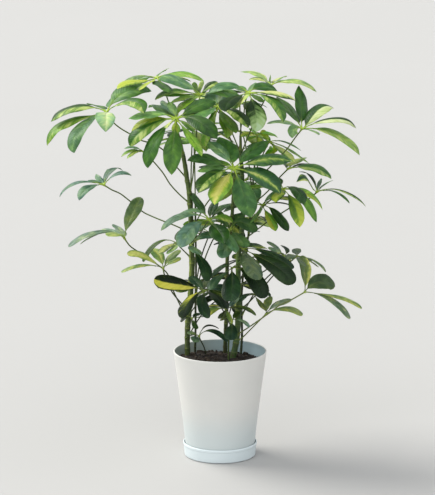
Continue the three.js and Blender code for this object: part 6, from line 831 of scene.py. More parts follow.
def blade_material(name, gloss, least_rough):
    """A glossy blade that lets light through. Its greens come from the mesh, and its yellow patches run along the side veins."""
    n = Net(name)
    u, v, q, t = n.num("b_u"), n.num("b_v"), n.num("b_q"), n.num("b_t")
    seed, under = n.num("b_seed"), n.num("b_under")
    green, glow = n.vec("b_green"), n.vec("b_yellow")
    au, aq = n.math("ABSOLUTE", u), n.math("ABSOLUTE", q)
    side = n.mul(n.math("SIGN", u), 4.3)
    # the side veins leave the midrib forward, so this is one number along each of them
    vein = n.math("SUBTRACT", v, n.mul(au, 0.8))
    far = n.add(n.mul(seed, 61.0), side)
    streak = n.noise(n.xyz(n.mul(vein, 0.17), n.mul(au, 0.04), far), 1.0, 3.0, 0.55)
    blotch = n.noise(n.xyz(n.mul(vein, 0.06), n.mul(au, 0.07), n.add(far, 9.0)), 1.0, 2.0, 0.5)
    fleck = n.noise(n.xyz(n.mul(vein, 0.42), n.mul(au, 0.12), n.add(far, 23.0)), 1.0, 2.0, 0.55)
    swell = n.noise(n.xyz(n.mul(v, 0.055), n.mul(u, 0.075), n.mul(seed, 83.0)), 1.0, 1.0, 0.5)
    wander = n.add(n.mul(n.math("SUBTRACT", streak, 0.5), 1.05), n.mul(n.math("SUBTRACT", blotch, 0.5), 0.7), n.mul(n.math("SUBTRACT", fleck, 0.5), 0.22))
    half = n.ramp(q, -0.13, 0.13, -1.0, 1.0)
    rim = n.mul(n.ramp(aq, 0.78, 1.0), n.num("b_vm"))
    field = n.add(n.num("b_va"), n.mul(aq, n.num("b_vb")), n.mul(q, n.num("b_vc")), n.mul(t, n.num("b_vd")), n.mul(half, n.num("b_vh")), n.mul(rim, -1.0), wander)
    lime = n.ramp(field, -0.3, 0.08)
    lemon = n.ramp(field, -0.02, 0.3)
    cream = n.ramp(field, 0.2, 0.62)
    # greens: yellower toward the base and the midrib, darker blotches between the veins, and painted shade toward the
    # drooping margin
    wave = n.math("SINE", n.mul(vein, 1.28))
    fine = n.math("SINE", n.add(n.mul(vein, 3.9), n.mul(streak, 3.0)))
    ribbed = n.ramp(wave, 0.5, 1.0)
    grain = n.noise(n.xyz(n.mul(v, 1.2), n.mul(u, 1.2), far), 1.0, 3.0, 0.6)
    col = n.mix(n.mul(n.ramp(blotch, 0.38, 0.6), 0.75), green, n.mix(1.0, green, (0.4, 0.54, 0.46), "MULTIPLY"))
    col = n.mix(n.mul(n.ramp(swell, 0.42, 0.62), 0.75), col, n.mix(1.0, col, (2.0, 1.66, 1.15), "MULTIPLY"))
    col = n.mix(n.mul(n.ramp(streak, 0.38, 0.6), 0.65), col, n.mix(1.0, col, (0.6, 0.66, 0.62), "MULTIPLY"))
    col = n.mix(n.mul(n.ramp(fleck, 0.48, 0.68), 0.5), col, n.mix(1.0, col, (1.5, 1.42, 1.5), "MULTIPLY"))
    # painted shade: the blade is darkened a little all over, and one half of it, chosen at random, more, as on a folded
    # blade lit from one side
    shadowed = n.math("ADD", 0.5, n.mul(half, n.num("b_dark")))
    col = n.mix(n.mul(shadowed, 0.3), col, n.mix(1.0, col, (0.6, 0.7, 0.72), "MULTIPLY"))
    col = n.mix(n.mul(n.ramp(aq, 0.0, 0.55, 1.0, 0.0), n.ramp(t, 0.3, 1.0, 0.3, 0.08)), col, n.mix(1.0, col, (1.5, 1.32, 1.12), "MULTIPLY"))
    # painted shade: darker toward the margin, where the blade droops away from the light
    col = n.mix(n.mul(n.ramp(aq, 0.55, 1.0), 0.5), col, n.mix(1.0, col, (0.5, 0.64, 0.62), "MULTIPLY"))
    col = n.mix(n.mul(ribbed, 0.07), col, n.mix(0.4, green, lin(140, 170, 84)))
    col = n.mix(n.mul(n.ramp(grain, 0.45, 0.8), 0.2), col, n.mix(1.0, col, (1.35, 1.25, 1.15), "MULTIPLY"))
    limed = n.mix(0.7, green, n.vec("b_lime"))
    col = n.mix(n.mul(lime, 0.92), col, limed)
    bright = n.mix(n.mul(n.ramp(fleck, 0.35, 0.75), 0.4), glow, n.mix(1.0, glow, (0.74, 0.88, 0.62), "MULTIPLY"))
    col = n.mix(n.mul(lemon, 0.8), col, bright)
    col = n.mix(n.mul(cream, 0.75), col, n.mix(1.0, glow, (1.2, 1.14, 1.7), "MULTIPLY"))
    # the midrib and the thin margin are a little paler
    rib = n.mul(n.ramp(n.math("DIVIDE", au, n.math("SUBTRACT", 0.5, n.mul(t, 0.3))), 0.5, 1.3, 1.0, 0.0), n.ramp(t, 0.25, 0.9, 1.0, 0.1))
    col = n.mix(n.mul(rib, n.ramp(t, 0.0, 0.7, 0.42, 0.16)), col, n.mix(0.35, n.vec("b_rib"), glow))
    edge = n.ramp(aq, 0.93, 1.0)
    col = n.mix(n.mul(edge, 0.42), col, n.mix(0.6, green, lin(170, 190, 110)))
    base = n.ramp(t, 0.0, 0.16, 1.0, 0.0)
    col = n.mix(n.mul(base, 0.5), col, lin(140, 166, 70))
    pale = n.mix(0.36, col, n.mix(0.5, green, lin(130, 160, 96)))
    shown = n.mix(under, col, pale)
    relief = n.add(n.mul(wave, 0.34), n.mul(fine, 0.1), n.mul(grain, 0.3), n.mul(swell, 3.6))
    normal = n.bump(relief, 0.00026, 0.9)
    rough = n.add(least_rough, n.mul(grain, 0.12), n.mul(under, 0.22))
    top = n.surface(shown, rough, normal, Specular_IOR_Level=gloss, IOR=1.45)
    through_colour = n.mix(n.mul(lime, 0.6), n.vec("b_glow"), n.mix(1.0, glow, (0.6, 0.92, 0.26), "MULTIPLY"))
    through_colour = n.mix(n.mul(lemon, 0.6), through_colour, n.mix(1.0, glow, (1.0, 1.04, 0.6), "MULTIPLY"))
    through_colour = n.mix(n.mul(n.ramp(blotch, 0.35, 0.68), 0.35), through_colour, n.mix(1.0, through_colour, (0.6, 0.66, 0.5), "MULTIPLY"))
    through_colour = n.mix(n.mul(rib, 0.5), through_colour, (0.1, 0.16, 0.02))
    light = n.node("ShaderNodeBsdfTranslucent")
    n.put(light.inputs["Color"], through_colour)
    n.put(light.inputs["Normal"], normal)
    both = n.node("ShaderNodeMixShader")
    both.inputs[0].default_value = 0.4
    n.tree.links.new(top, both.inputs[1])
    n.tree.links.new(light.outputs[0], both.inputs[2])
    return n.done(both.outputs[0])


def stalk_material():
    """Petioles, leaflet stalks and hubs: olive green, streaked along their length, browner on old ones."""
    n = Net("stalk")
    along, round_ = n.num("p_l"), n.num("p_a")
    at = n.place()
    streaks = n.noise(n.xyz(n.mul(along, 0.05), n.mul(round_, 1.6), n.num("b_seed")), 1.0, 3.0, 0.6)
    specks = n.noise(at, 420.0, 3.0, 0.65)
    green = n.vec("p_green")
    col = n.mix(n.mul(n.ramp(streaks, 0.35, 0.7), 0.5), green, n.mix(1.0, green, (0.55, 0.55, 0.5), "MULTIPLY"))
    col = n.mix(n.mul(n.ramp(specks, 0.62, 0.75), 0.45), col, lin(118, 106, 62))
    col = n.mix(n.mul(n.num("p_pale"), 0.75), col, lin(164, 188, 58))
    normal = n.bump(n.add(n.mul(streaks, 0.7), n.mul(specks, 0.3)), 0.00025, 0.6)
    return n.done(n.surface(col, n.add(0.42, n.mul(specks, 0.2)), normal, Specular_IOR_Level=0.4))


def stem_material():
    """Stems: green skin that turns brown and corky at the leaf scars and toward the foot, with painted light on the
    side toward the light, and painted shade on the far side and, in part, toward the foot.
    """
    n = Net("stem")
    along, round_, scar, cork, young = n.num("s_l"), n.num("s_a"), n.num("s_scar"), n.num("s_cork"), n.num("s_young")
    at = n.place()
    streaks = n.noise(n.xyz(n.mul(along, 0.035), n.math("COSINE", round_), n.math("SINE", round_)), 2.6, 4.0, 0.62)
    mottle = n.noise(at, 190.0, 4.0, 0.6)
    pores = n.cells(n.xyz(n.mul(along, 0.32), n.mul(round_, 1.9), 0.0), 1.0)
    col = n.mix(n.ramp(streaks, 0.3, 0.72), n.vec("s_green"), n.vec("s_dark"))
    col = n.mix(n.mul(n.ramp(mottle, 0.46, 0.68), 0.5), col, n.mix(1.0, col, (0.6, 0.58, 0.52), "MULTIPLY"))
    col = n.mix(n.mul(n.ramp(n.add(cork, n.mul(n.math("SUBTRACT", mottle, 0.5), 1.4)), 0.35, 0.75), 0.6), col, lin(80, 70, 42))
    # darker where corky, toward the foot: partly real bark, partly painted shade under the foliage
    col = n.mix(n.mul(n.ramp(cork, 0.08, 0.4), 0.8), col, n.mix(1.0, col, (0.58, 0.6, 0.56), "MULTIPLY"))
    col = n.mix(n.mul(n.ramp(pores, 0.05, 0.17, 1.0, 0.0), 0.35), col, lin(128, 124, 78))
    col = n.mix(n.mul(n.ramp(n.add(scar, n.mul(mottle, 0.3)), 0.45, 0.85), 0.6), col, lin(126, 134, 66))
    col = n.mix(n.mul(young, 0.5), col, lin(84, 106, 44))
    # painted light and shade: the side toward the light is painted lighter and yellower, and the far side darker
    col = n.mix(n.mul(n.ramp(n.num("s_sun"), 0.25, 0.75), n.num("s_lit")), col, n.mix(1.0, col, (2.7, 2.35, 1.9), "MULTIPLY"))
    col = n.mix(n.mul(n.ramp(n.num("s_sun"), 0.4, -0.5), 0.75), col, n.mix(1.0, col, (0.46, 0.54, 0.46), "MULTIPLY"))
    relief = n.add(n.mul(streaks, 0.6), n.mul(mottle, 0.5), n.mul(n.ramp(pores, 0.0, 0.2, 1.0, 0.0), 0.35))
    normal = n.bump(relief, 0.0006, 0.55)
    return n.done(n.surface(col, n.add(0.46, n.mul(mottle, 0.22)), normal, Specular_IOR_Level=0.4))


def soil_material():
    """Dark, damp potting mix with paler fibres and specks."""
    n = Net("soil")
    at = n.place()
    one = n.num("d_rnd")
    clod = n.noise(at, 90.0, 4.0, 0.65)
    fine = n.noise(at, 620.0, 4.0, 0.7)
    speck = n.cells(at, 330.0)
    col = n.mix(n.ramp(clod, 0.32, 0.68), lin(18, 15, 14), lin(48, 39, 32))
    col = n.mix(n.ramp(one, 0.0, 1.0), col, n.mix(n.ramp(fine, 0.3, 0.7), lin(34, 28, 24), lin(92, 78, 64)))
    col = n.mix(n.mul(n.ramp(fine, 0.56, 0.75), 0.35), col, lin(104, 86, 68))
    col = n.mix(n.mul(n.ramp(speck, 0.04, 0.1, 1.0, 0.0), 0.3), col, lin(150, 136, 112))
    relief = n.add(n.mul(clod, 0.6), n.mul(fine, 0.5))
    normal = n.bump(relief, 0.0016, 0.9)
    return n.done(n.surface(col, n.add(0.74, n.mul(fine, 0.25)), normal, Specular_IOR_Level=0.35))


def plastic_material(name, tint, rough, foot):
    """Matt white moulded plastic: a fine skin texture, faint cloudiness, painted shade inside, a painted bluish shade
    toward the foot, and light scuffs.
    """
    n = Net(name)
    at = n.place()
    split = n.node("ShaderNodeSeparateXYZ")
    n.put(split.inputs[0], at)
    cloud = n.noise(at, 16.0, 3.0, 0.55)
    skin = n.noise(at, 1500.0, 2.0, 0.5)
    scuff = n.noise(n.node("ShaderNodeMapping", {"Vector": at, "Scale": (90.0, 90.0, 900.0), "Rotation": (0.12, 0.08, 0.0)}).outputs[0], 1.0, 3.0, 0.7)
    worn = n.ramp(scuff, 0.66, 0.78)
    col = n.mix(n.ramp(cloud, 0.35, 0.7), tint, n.mix(1.0, tint, (0.972, 0.976, 0.978), "MULTIPLY"))
    # painted shade: bluish and a little darker toward the foot, as from cool light bounced up from below
    cool_foot_shade = n.ramp(n.add(split.outputs[2], n.mul(n.math("SUBTRACT", cloud, 0.5), 0.02)), 0.03, 0.1, foot, 0.0)
    col = n.mix(cool_foot_shade, col, n.mix(1.0, col, (0.8, 0.92, 0.98), "MULTIPLY"))
    # painted shade inside the pot: greyer and greener on the left, where the stems shade it, and bluish on the right
    inner = n.mix(n.ramp(split.outputs[0], -0.055, 0.03), (0.56, 0.66, 0.62), (0.66, 0.88, 1.0))
    col = n.mix(n.num("w_in"), col, n.mix(1.0, col, inner, "MULTIPLY"))
    col = n.mix(n.mul(worn, 0.05), col, lin(205, 206, 204))
    relief = n.add(n.mul(skin, 0.5), n.mul(cloud, 0.5), n.mul(worn, -0.2))
    normal = n.bump(relief, 0.00012, 0.35)
    return n.done(n.surface(col, n.add(rough, n.mul(cloud, 0.1), n.mul(worn, 0.12)), normal, Specular_IOR_Level=0.5))


FLOOR_TONE = lin(164, 163, 161)


def floor_material():
    n = Net("floor")
    at = n.place()
    soft = n.noise(at, 1.3, 2.0, 0.5)
    col = n.mix(soft, FLOOR_TONE, FLOOR_TONE * 1.03)
    return n.done(n.surface(col, 0.75, Specular_IOR_Level=0.2))


# ---------- leaves
UP = np.array([0.0, 0.2118, 0.9773])  # upward in the picture
# greens of the high young leaves and of the low old ones; the low greens are darker partly from age and partly as
# painted shade deep in the foliage
YOUNG = [lin(52, 96, 38), lin(82, 132, 48), lin(138, 174, 74)]
OLD_SHADED = [lin(27, 51, 29), lin(44, 76, 39), lin(104, 128, 64)]
# painted sheen: pale blue-greens for light glancing off the low leaves and off the high ones
TEAL_SHEEN = [lin(64, 104, 82), lin(98, 138, 114), lin(148, 176, 152)]
TEAL_SHEEN_YOUNG = [lin(62, 104, 66), lin(90, 137, 90), lin(144, 177, 138)]
YOUNG_YELLOW, OLD_YELLOW = lin(218, 222, 130), lin(222, 220, 96)
YOUNG_LIME, OLD_LIME = lin(146, 182, 76), lin(138, 158, 68)
OLIVE = [lin(62, 76, 34), lin(112, 130, 60), lin(184, 196, 116)]
# leaves that let more light through
LEAF_GLOW = {"leaf_right_02": 1.4, "leaf_right_01": 1.3, "leaf_left_02": 2.0, "leaf_left_03": 2.3, "leaf_centre_04": 2.2, "leaf_right_08": 1.4}
# leaves whose greens are mixed toward a greyer, paler green, and how far
GREYED = {"leaf_right_01": 0.5, "leaf_right_02": 0.3, "leaf_left_02": 0.45, "leaf_left_03": 0.6, "leaf_left_05": 0.4, "leaf_right_03": 0.4, "leaf_back_11": 0.3, "leaf_back_14": 0.45, "leaf_right_09": 0.25}
# one leaf with a painted bluish sheen, and the leaves whose leaflet stalks are stout and yellow
BLUE_SHEEN = {"leaf_left_06": 0.45}
STOUT = {"leaf_left_08": 1.4, "leaf_front_09": 1.25, "leaf_front_10": 1.2, "leaf_centre_06": 1.2}
# what each pattern adds: even, by distance from the midrib, toward the tip, and to one half
PATTERNS = {
    "n": (-2.0, 0.0, 0.0, 0.0),
    "s": (-2.0, 0.0, 0.0, 0.0),
    "c": (0.36, -0.95, 0.0, 0.0),
    "m": (0.34, -1.1, -0.35, 0.16),
    "e": (-0.5, 0.8, 0.0, 0.05),
    "h": (-0.13, 0.1, 0.0, 0.21),
    "b": (0.08, -0.12, 0.0, 0.4),
    "y": (0.5, -0.5, -0.1, 0.0),
    "l": (0.5, -0.35, -0.1, 0.0),
    "v": (0.0, 0.1, 0.0, 0.3),
    "w": (0.98, -1.2, -0.3, 0.0),
    "a": (0.5, -1.6, -0.4, 0.16),
    "p": (0.62, -0.6, -0.5, -0.08),
    # d: a dark base and a pale lime tip, painted shade and light standing in for the edge of a shadow cast across the
    # blade
    "d": (-0.62, 0.0, 1.15, 0.14),
    "f": (0.3, 0.0, -1.0, 0.3),
    "t": (-2.0, 0.0, 0.0, 0.0),
    "x": (-0.3, 0.1, 0.65, -0.24),
    "k": (0.02, -0.05, 0.0, 0.42),
    "g": (-0.22, 0.0, -0.1, 0.0),
}


def shade(palette, tone):
    """The palette's colour at a tone: 0 to 2 run through its three colours."""
    if tone <= 0:
        return palette[0] * (1 + 0.5 * tone)
    if tone >= 2:
        return palette[2] * (1 + 0.35 * (tone - 2))
    k = 0 if tone < 1 else 1
    return palette[k] * (k + 1 - tone) + palette[k + 1] * (tone - k)


def leaflet(shell, hub, row, z_share, more, greyed, blue_sheen, stout, rng):
    """One stalked leaflet: a stalk from the hub, then a blade with a sunken midrib and drooping margins."""
    P = np.array([hub, row[0:3], row[3:6], row[6:9]], float)
    N = unit(np.array(row[9:12], float))
    width, tone, sheen_olive, kind = row[12:16]
    length = np.linalg.norm(np.diff(bezier(P, np.linspace(0, 1, 24)), axis=0), axis=1).sum()
    tau = np.linspace(0, 1, BLADE_ROWS)
    x = 0.38 * tau + 0.62 * (0.5 - 0.5 * np.cos(np.pi * tau))
    s = BLADE_START + (1 - BLADE_START) * x
    C = bezier(P, s)
    T = unit(bezier_slope(P, s))
    B = unit(np.cross(T, N))
    up = unit(np.cross(B, T))
    age = 1.2 - 1.5 * z_share + rng.normal(0, 0.15)
    blunt, keen = np.clip(age, 0, 0.85), np.clip(-age * 3, 0, 1)
    half = width / 2 * hermite(x, WIDTH_AT, WIDTH * (1 - blunt - keen) + WIDTH_BLUNT * blunt + WIDTH_KEEN * keen)
    fold = rng.uniform(0.18, 0.34)
    droop = rng.uniform(0.22, 0.38)
    lop = rng.normal(0, 0.05)
    wave_a, wave_b = rng.uniform(0.015, 0.06, 2)
    ph_a, ph_b = rng.uniform(0, 6.28, 2)
    waves = rng.uniform(1.2, 2.3)
    q = COLUMNS
    side_half = half[:, None] * (1 + lop * np.sign(q) * np.abs(q))
    # the margin waves a little, and its outline isn't quite even
    side_half = side_half * (1 + 0.018 * np.sin(x[:, None] * 23 + ph_a + 2.2 * np.sign(q)) * np.abs(q))
    across = side_half * q
    flat = np.sqrt(q**2 + 0.0016) - 0.04
    ends = smooth(x, 0, 0.25) * smooth(1 - x, 0, 0.12)
    lift = half[:, None] * (fold * flat - droop * q**2)
    ripple = np.where(q < 0, wave_a * np.sin(x[:, None] * 6.28 * waves + ph_a), wave_b * np.sin(x[:, None] * 6.28 * waves + ph_b))
    lift = lift + width / 2 * ripple * (q**2) * ends[:, None]
    curl = width * rng.uniform(-0.02, 0.07) * smooth(x, 0.75, 1.0) ** 1.5
    lift = lift - curl[:, None]
    groove = 0.32 * np.exp(-((across / 0.8) ** 2)) * smooth(1 - x, 0, 0.5)[:, None]
    top = C[:, None] + B[:, None] * across[..., None] + up[:, None] * (lift - groove)[..., None]
    ridge = (0.34 + 0.75 * np.exp(-((across / 0.75) ** 2)) * (0.25 + 0.75 * (1 - x))[:, None]) * np.minimum(1, 6 * (1 - np.abs(q)) + 0.0)
    bottom = top - up[:, None] * ridge[..., None]
    rows, cols = top.shape[:2]
    inner = bottom[:, 1:-1]
    verts = np.concatenate([top.reshape(-1, 3), inner.reshape(-1, 3)])
    quads = [lattice(rows, cols)]
    n0 = rows * cols
    idx = np.concatenate([np.arange(rows)[:, None] * cols, n0 + np.arange(rows)[:, None] * (cols - 2) + np.arange(cols - 2), np.arange(rows)[:, None] * cols + cols - 1], 1)
    a, b = idx[:-1, :-1], idx[:-1, 1:]
    c, d = idx[1:, 1:], idx[1:, :-1]
    quads.append(np.stack([a, d, c, b], -1).reshape(-1, 4))
    for r in (0, rows - 1):
        t_ = r * cols + np.arange(cols)
        e = np.stack([t_[:-1], t_[1:], idx[r, 1:], idx[r, :-1]], -1)
        quads.append(e[1:-1, ::-1] if r == 0 else e[1:-1])
    quads = np.concatenate(quads)
    tris = []
    for r in (0, rows - 1):
        t_ = r * cols + np.arange(cols)
        f = [(t_[0], t_[1], idx[r, 1]), (t_[-2], t_[-1], idx[r, -2])]
        tris += [x_[::-1] for x_ in f] if r == 0 else f
    along = x * length * (1 - BLADE_START)
    full = np.broadcast_to
    shape = (rows, cols)

    def both(a):
        a = full(a, shape)
        return np.concatenate([a.reshape(-1), a[:, 1:-1].reshape(-1)])

    under = np.concatenate([np.zeros(n0), np.ones(rows * (cols - 2))])
    va, vb, vd, vh = PATTERNS[kind]
    vc = 0.0
    if kind in "hbdvfaxk":
        # the half that hangs lower is the yellow one: real variegation, and on high leaves partly painted light, the
        # lower half being lit through from behind
        vh *= 1 if (B[12] @ UP) < 0 else -1
    elif kind in "cmeylw":
        va += rng.normal(0, 0.06)
        vc = rng.choice([-1, 1]) * rng.uniform(0.1, 0.34)
    jitter = np.exp(rng.normal(0, 0.09)) * np.array([np.exp(rng.normal(0, 0.06)), 1.0, np.exp(rng.normal(0, 0.06))])
    # the lower the leaf, the more of the darker low greens: partly age, partly painted shade
    green = shade(YOUNG, tone) * z_share + shade(OLD_SHADED, tone) * (1 - z_share)
    # painted sheen: a share above zero mixes the green toward a pale blue-green, as light glancing off the blade; below
    # zero it mixes toward olive
    if sheen_olive > 0:
        green = green * (1 - sheen_olive) + (shade(TEAL_SHEEN_YOUNG, tone) * z_share + shade(TEAL_SHEEN, tone) * 0.74 * (1 - z_share)) * sheen_olive
    elif sheen_olive < 0:
        green = green * (1 + sheen_olive) - shade(OLIVE, tone) * sheen_olive
    green = green * jitter
    if kind == "g":
        greyed = 0.45
    if tone > 0.4:
        if kind != "g":
            greyed *= float(smooth(tone, 0.6, 1.5))
        green = green * (1 - greyed) + lin(158, 166, 132) * greyed * (0.35 + 0.4 * min(tone, 2.6))
    yellow = YOUNG_YELLOW * z_share + OLD_YELLOW * (1 - z_share)
    lime = YOUNG_LIME * z_share + OLD_LIME * (1 - z_share)
    if kind == "p":
        yellow, lime = lin(214, 222, 158), lin(168, 202, 134)
    # the pale greens of a d blade's tip are painted light
    elif kind == "d":
        yellow, lime = lin(186, 212, 146), lin(150, 184, 108)
    elif kind in "bf":
        yellow, lime = lin(222, 216, 84), lin(148, 158, 60)
    elif kind == "k":
        yellow, lime = lin(208, 218, 148), lin(150, 184, 92)
    elif kind == "w":
        yellow, lime = lin(228, 222, 112), lin(186, 204, 72)
    elif kind == "g":
        yellow, lime = lin(190, 200, 168), lin(150, 164, 128)
    elif kind in "vlx":
        yellow = lin(196, 208, 70) * z_share + lin(214, 206, 84) * (1 - z_share)
        lime = lin(140, 178, 58) * z_share + lin(132, 152, 58) * (1 - z_share)
    # on high leaves the pale lime half is partly painted backlight
    elif kind == "h":
        yellow = lin(206, 216, 126) * z_share + lin(220, 214, 92) * (1 - z_share)
        lime = lin(132, 174, 66) * z_share + lime * (1 - z_share)
    yellow = yellow * (1 - 0.6 * greyed) + lin(206, 208, 150) * 0.6 * greyed
    lime = lime * (1 - 0.6 * greyed) + lin(164, 172, 124) * 0.6 * greyed
    # painted sheen: the leaf's green is mixed toward a pale blue-grey
    green = green * (1 - blue_sheen) + lin(122, 150, 152) * blue_sheen * (0.35 + 0.35 * min(max(tone, 0), 2.6))
    glow = np.array([0.24, 0.5, 0.03]) * (1 - 0.6 * max(sheen_olive, 0)) + np.array([0.2, 0.32, 0.16]) * 0.6 * max(sheen_olive, 0) + np.array([0.1, 0.0, 0.01]) * max(-sheen_olive, 0)
    if kind == "l":
        glow = glow * 0.6
    glow = glow * (0.5 + 0.5 * z_share) * (0.62 + 0.34 * min(max(tone, -0.5), 2.2)) * more
    rib = green * 0.4 + lin(150, 175, 92) * 0.6
    seed = rng.uniform(0, 1)
    shell.add(
        verts, quads, tris, 2 if kind in "tf" else 0,
        b_u=both(across), b_v=both(along[:, None]), b_q=both(q[None]), b_t=both(x[:, None]),
        b_under=under, b_seed=seed, b_va=va, b_vb=vb, b_vc=vc, b_vd=vd, b_vh=vh,
        b_vm=1.3 if kind == "b" else 0.25, b_dark=rng.choice([-0.5, 0.5]) * rng.uniform(0.4, 1.0),
        b_green=green, b_yellow=yellow, b_lime=lime, b_glow=glow, b_rib=rib,
        p_green=green, p_pale=0.0, p_l=0.0, p_a=0.0,
    )
    # the stalk runs from the hub into the blade's underside
    at = np.linspace(0.012, BLADE_START + 0.1, 9)
    line = bezier(P, at)
    k = smooth(at, BLADE_START - 0.02, BLADE_START + 0.1)
    N_at = unit(np.cross(unit(np.cross(unit(bezier_slope(P, at)), N)), unit(bezier_slope(P, at))))
    line = line - N_at * (k * 0.55)[:, None]
    thick = min(1.0, 0.62 + width / 90)
    radius = thick * (1.2 + 0.5 * z_share - (0.4 + 0.4 * z_share) * smooth(at, 0.0, 0.12) - 0.3 * k)
    radius = radius * (1 + (stout - 1) * smooth(BLADE_START + 0.04 - at, 0, 0.1))
    v_, q_, t_, a_ = tube(line, radius, 8)
    l_ = np.concatenate([np.repeat(at * length, 8), [0, 0]])
    # low leaves' stalks are darker: partly age, partly painted shade under the foliage
    stalk = lin(112, 142, 44) * z_share + lin(70, 84, 36) * (1 - z_share)
    pale = np.concatenate([np.repeat(1 - smooth(at, 0.02, 0.14 + 0.06 * z_share + 0.25 * (stout - 1)), 8), [0, 0]])
    shell.add(v_, q_, t_, 1, b_seed=seed, p_green=stalk, p_pale=pale * (0.4 + 0.6 * z_share), p_l=l_, p_a=a_)


def leaf(name, stem, petiole, leaflets, materials, index):
    rng = np.random.default_rng(1000 + index)
    shell = Shell()
    hub = np.array(petiole[-1], float)
    z_share = float(smooth(hub[2], 290, 470))
    C, at = through(petiole, 28 if len(petiole) > 3 else 16)
    end = at[-1]
    r = 1.02 + 0.1 * (end > 90)
    radius = r + 1.25 * np.exp(-np.maximum(at - 2.5, 0) / 4.0) + 0.55 * np.exp(-(end - at) / 3.0)
    if stem == "soil":
        radius = np.full(len(C), r) + 0.5 * np.exp(-(end - at) / 3.0)
    if stem == "stem_shoot":
        radius = np.minimum(radius, 1.35)
    v_, q_, t_, a_ = tube(C, radius, 12)
    # low leaves' petioles are darker: partly age, partly painted shade under the foliage
    green = lin(82, 100, 40) * z_share + lin(50, 60, 30) * (1 - z_share)
    if name in ("leaf_right_02", "leaf_right_01"):
        green = lin(106, 116, 62)
    pale = np.concatenate([np.repeat(np.maximum(np.exp(-at / 5), np.exp(-(end - at) / 5)), 12), [0, 0]])
    l_ = np.concatenate([np.repeat(at, 12), [0, 0]])
    shell.add(v_, q_, t_, 1, p_green=green, p_pale=pale * 0.6, p_l=l_, p_a=a_, b_seed=index * 0.37)
    # the hub: a small knuckle, wider than it is high
    bv, bt = ball(3)
    axis = unit(np.mean([row[9:12] for row in leaflets], 0) + np.array([0, 0, 0.6]))
    bump = np.array([1 + 0.16 * noise.noise(Vector(p) * 2.2 + Vector((index, 0, 0))) for p in bv])
    h = bv * bump[:, None] * min(2.5, 1.5 + 0.012 * end)
    h = h - axis * (h @ axis)[:, None] * 0.35
    shell.add(h + hub, (), bt, 1, p_green=green, p_pale=0.7, p_l=0.0, p_a=0.0, b_seed=index * 0.37)
    for row in leaflets:
        leaflet(shell, hub, row, z_share, LEAF_GLOW.get(name, 1.0), GREYED.get(name, 0.0), BLUE_SHEEN.get(name, 0.0), STOUT.get(name, 1.0), rng)
    return shell.build(name, materials)


# ---------- stems
# each stem's green, the darker green of its streaks, and how corky it is; the greens are kept dark partly as painted
# shade under the foliage
STEM_LOOKS = {
    "stem_left": (lin(98, 118, 52), lin(42, 56, 26), 0.2),
    "stem_left_thin": (lin(62, 78, 36), lin(38, 46, 24), 0.15),
    "stem_centre": (lin(84, 102, 44), lin(42, 52, 26), 0.3),
    "stem_right": (lin(86, 116, 52), lin(44, 66, 30), 0.16),
    "stem_right_thin": (lin(62, 78, 38), lin(38, 46, 26), 0.15),
    "stem_shoot": (lin(84, 102, 44), lin(52, 66, 32), 0.08),
}


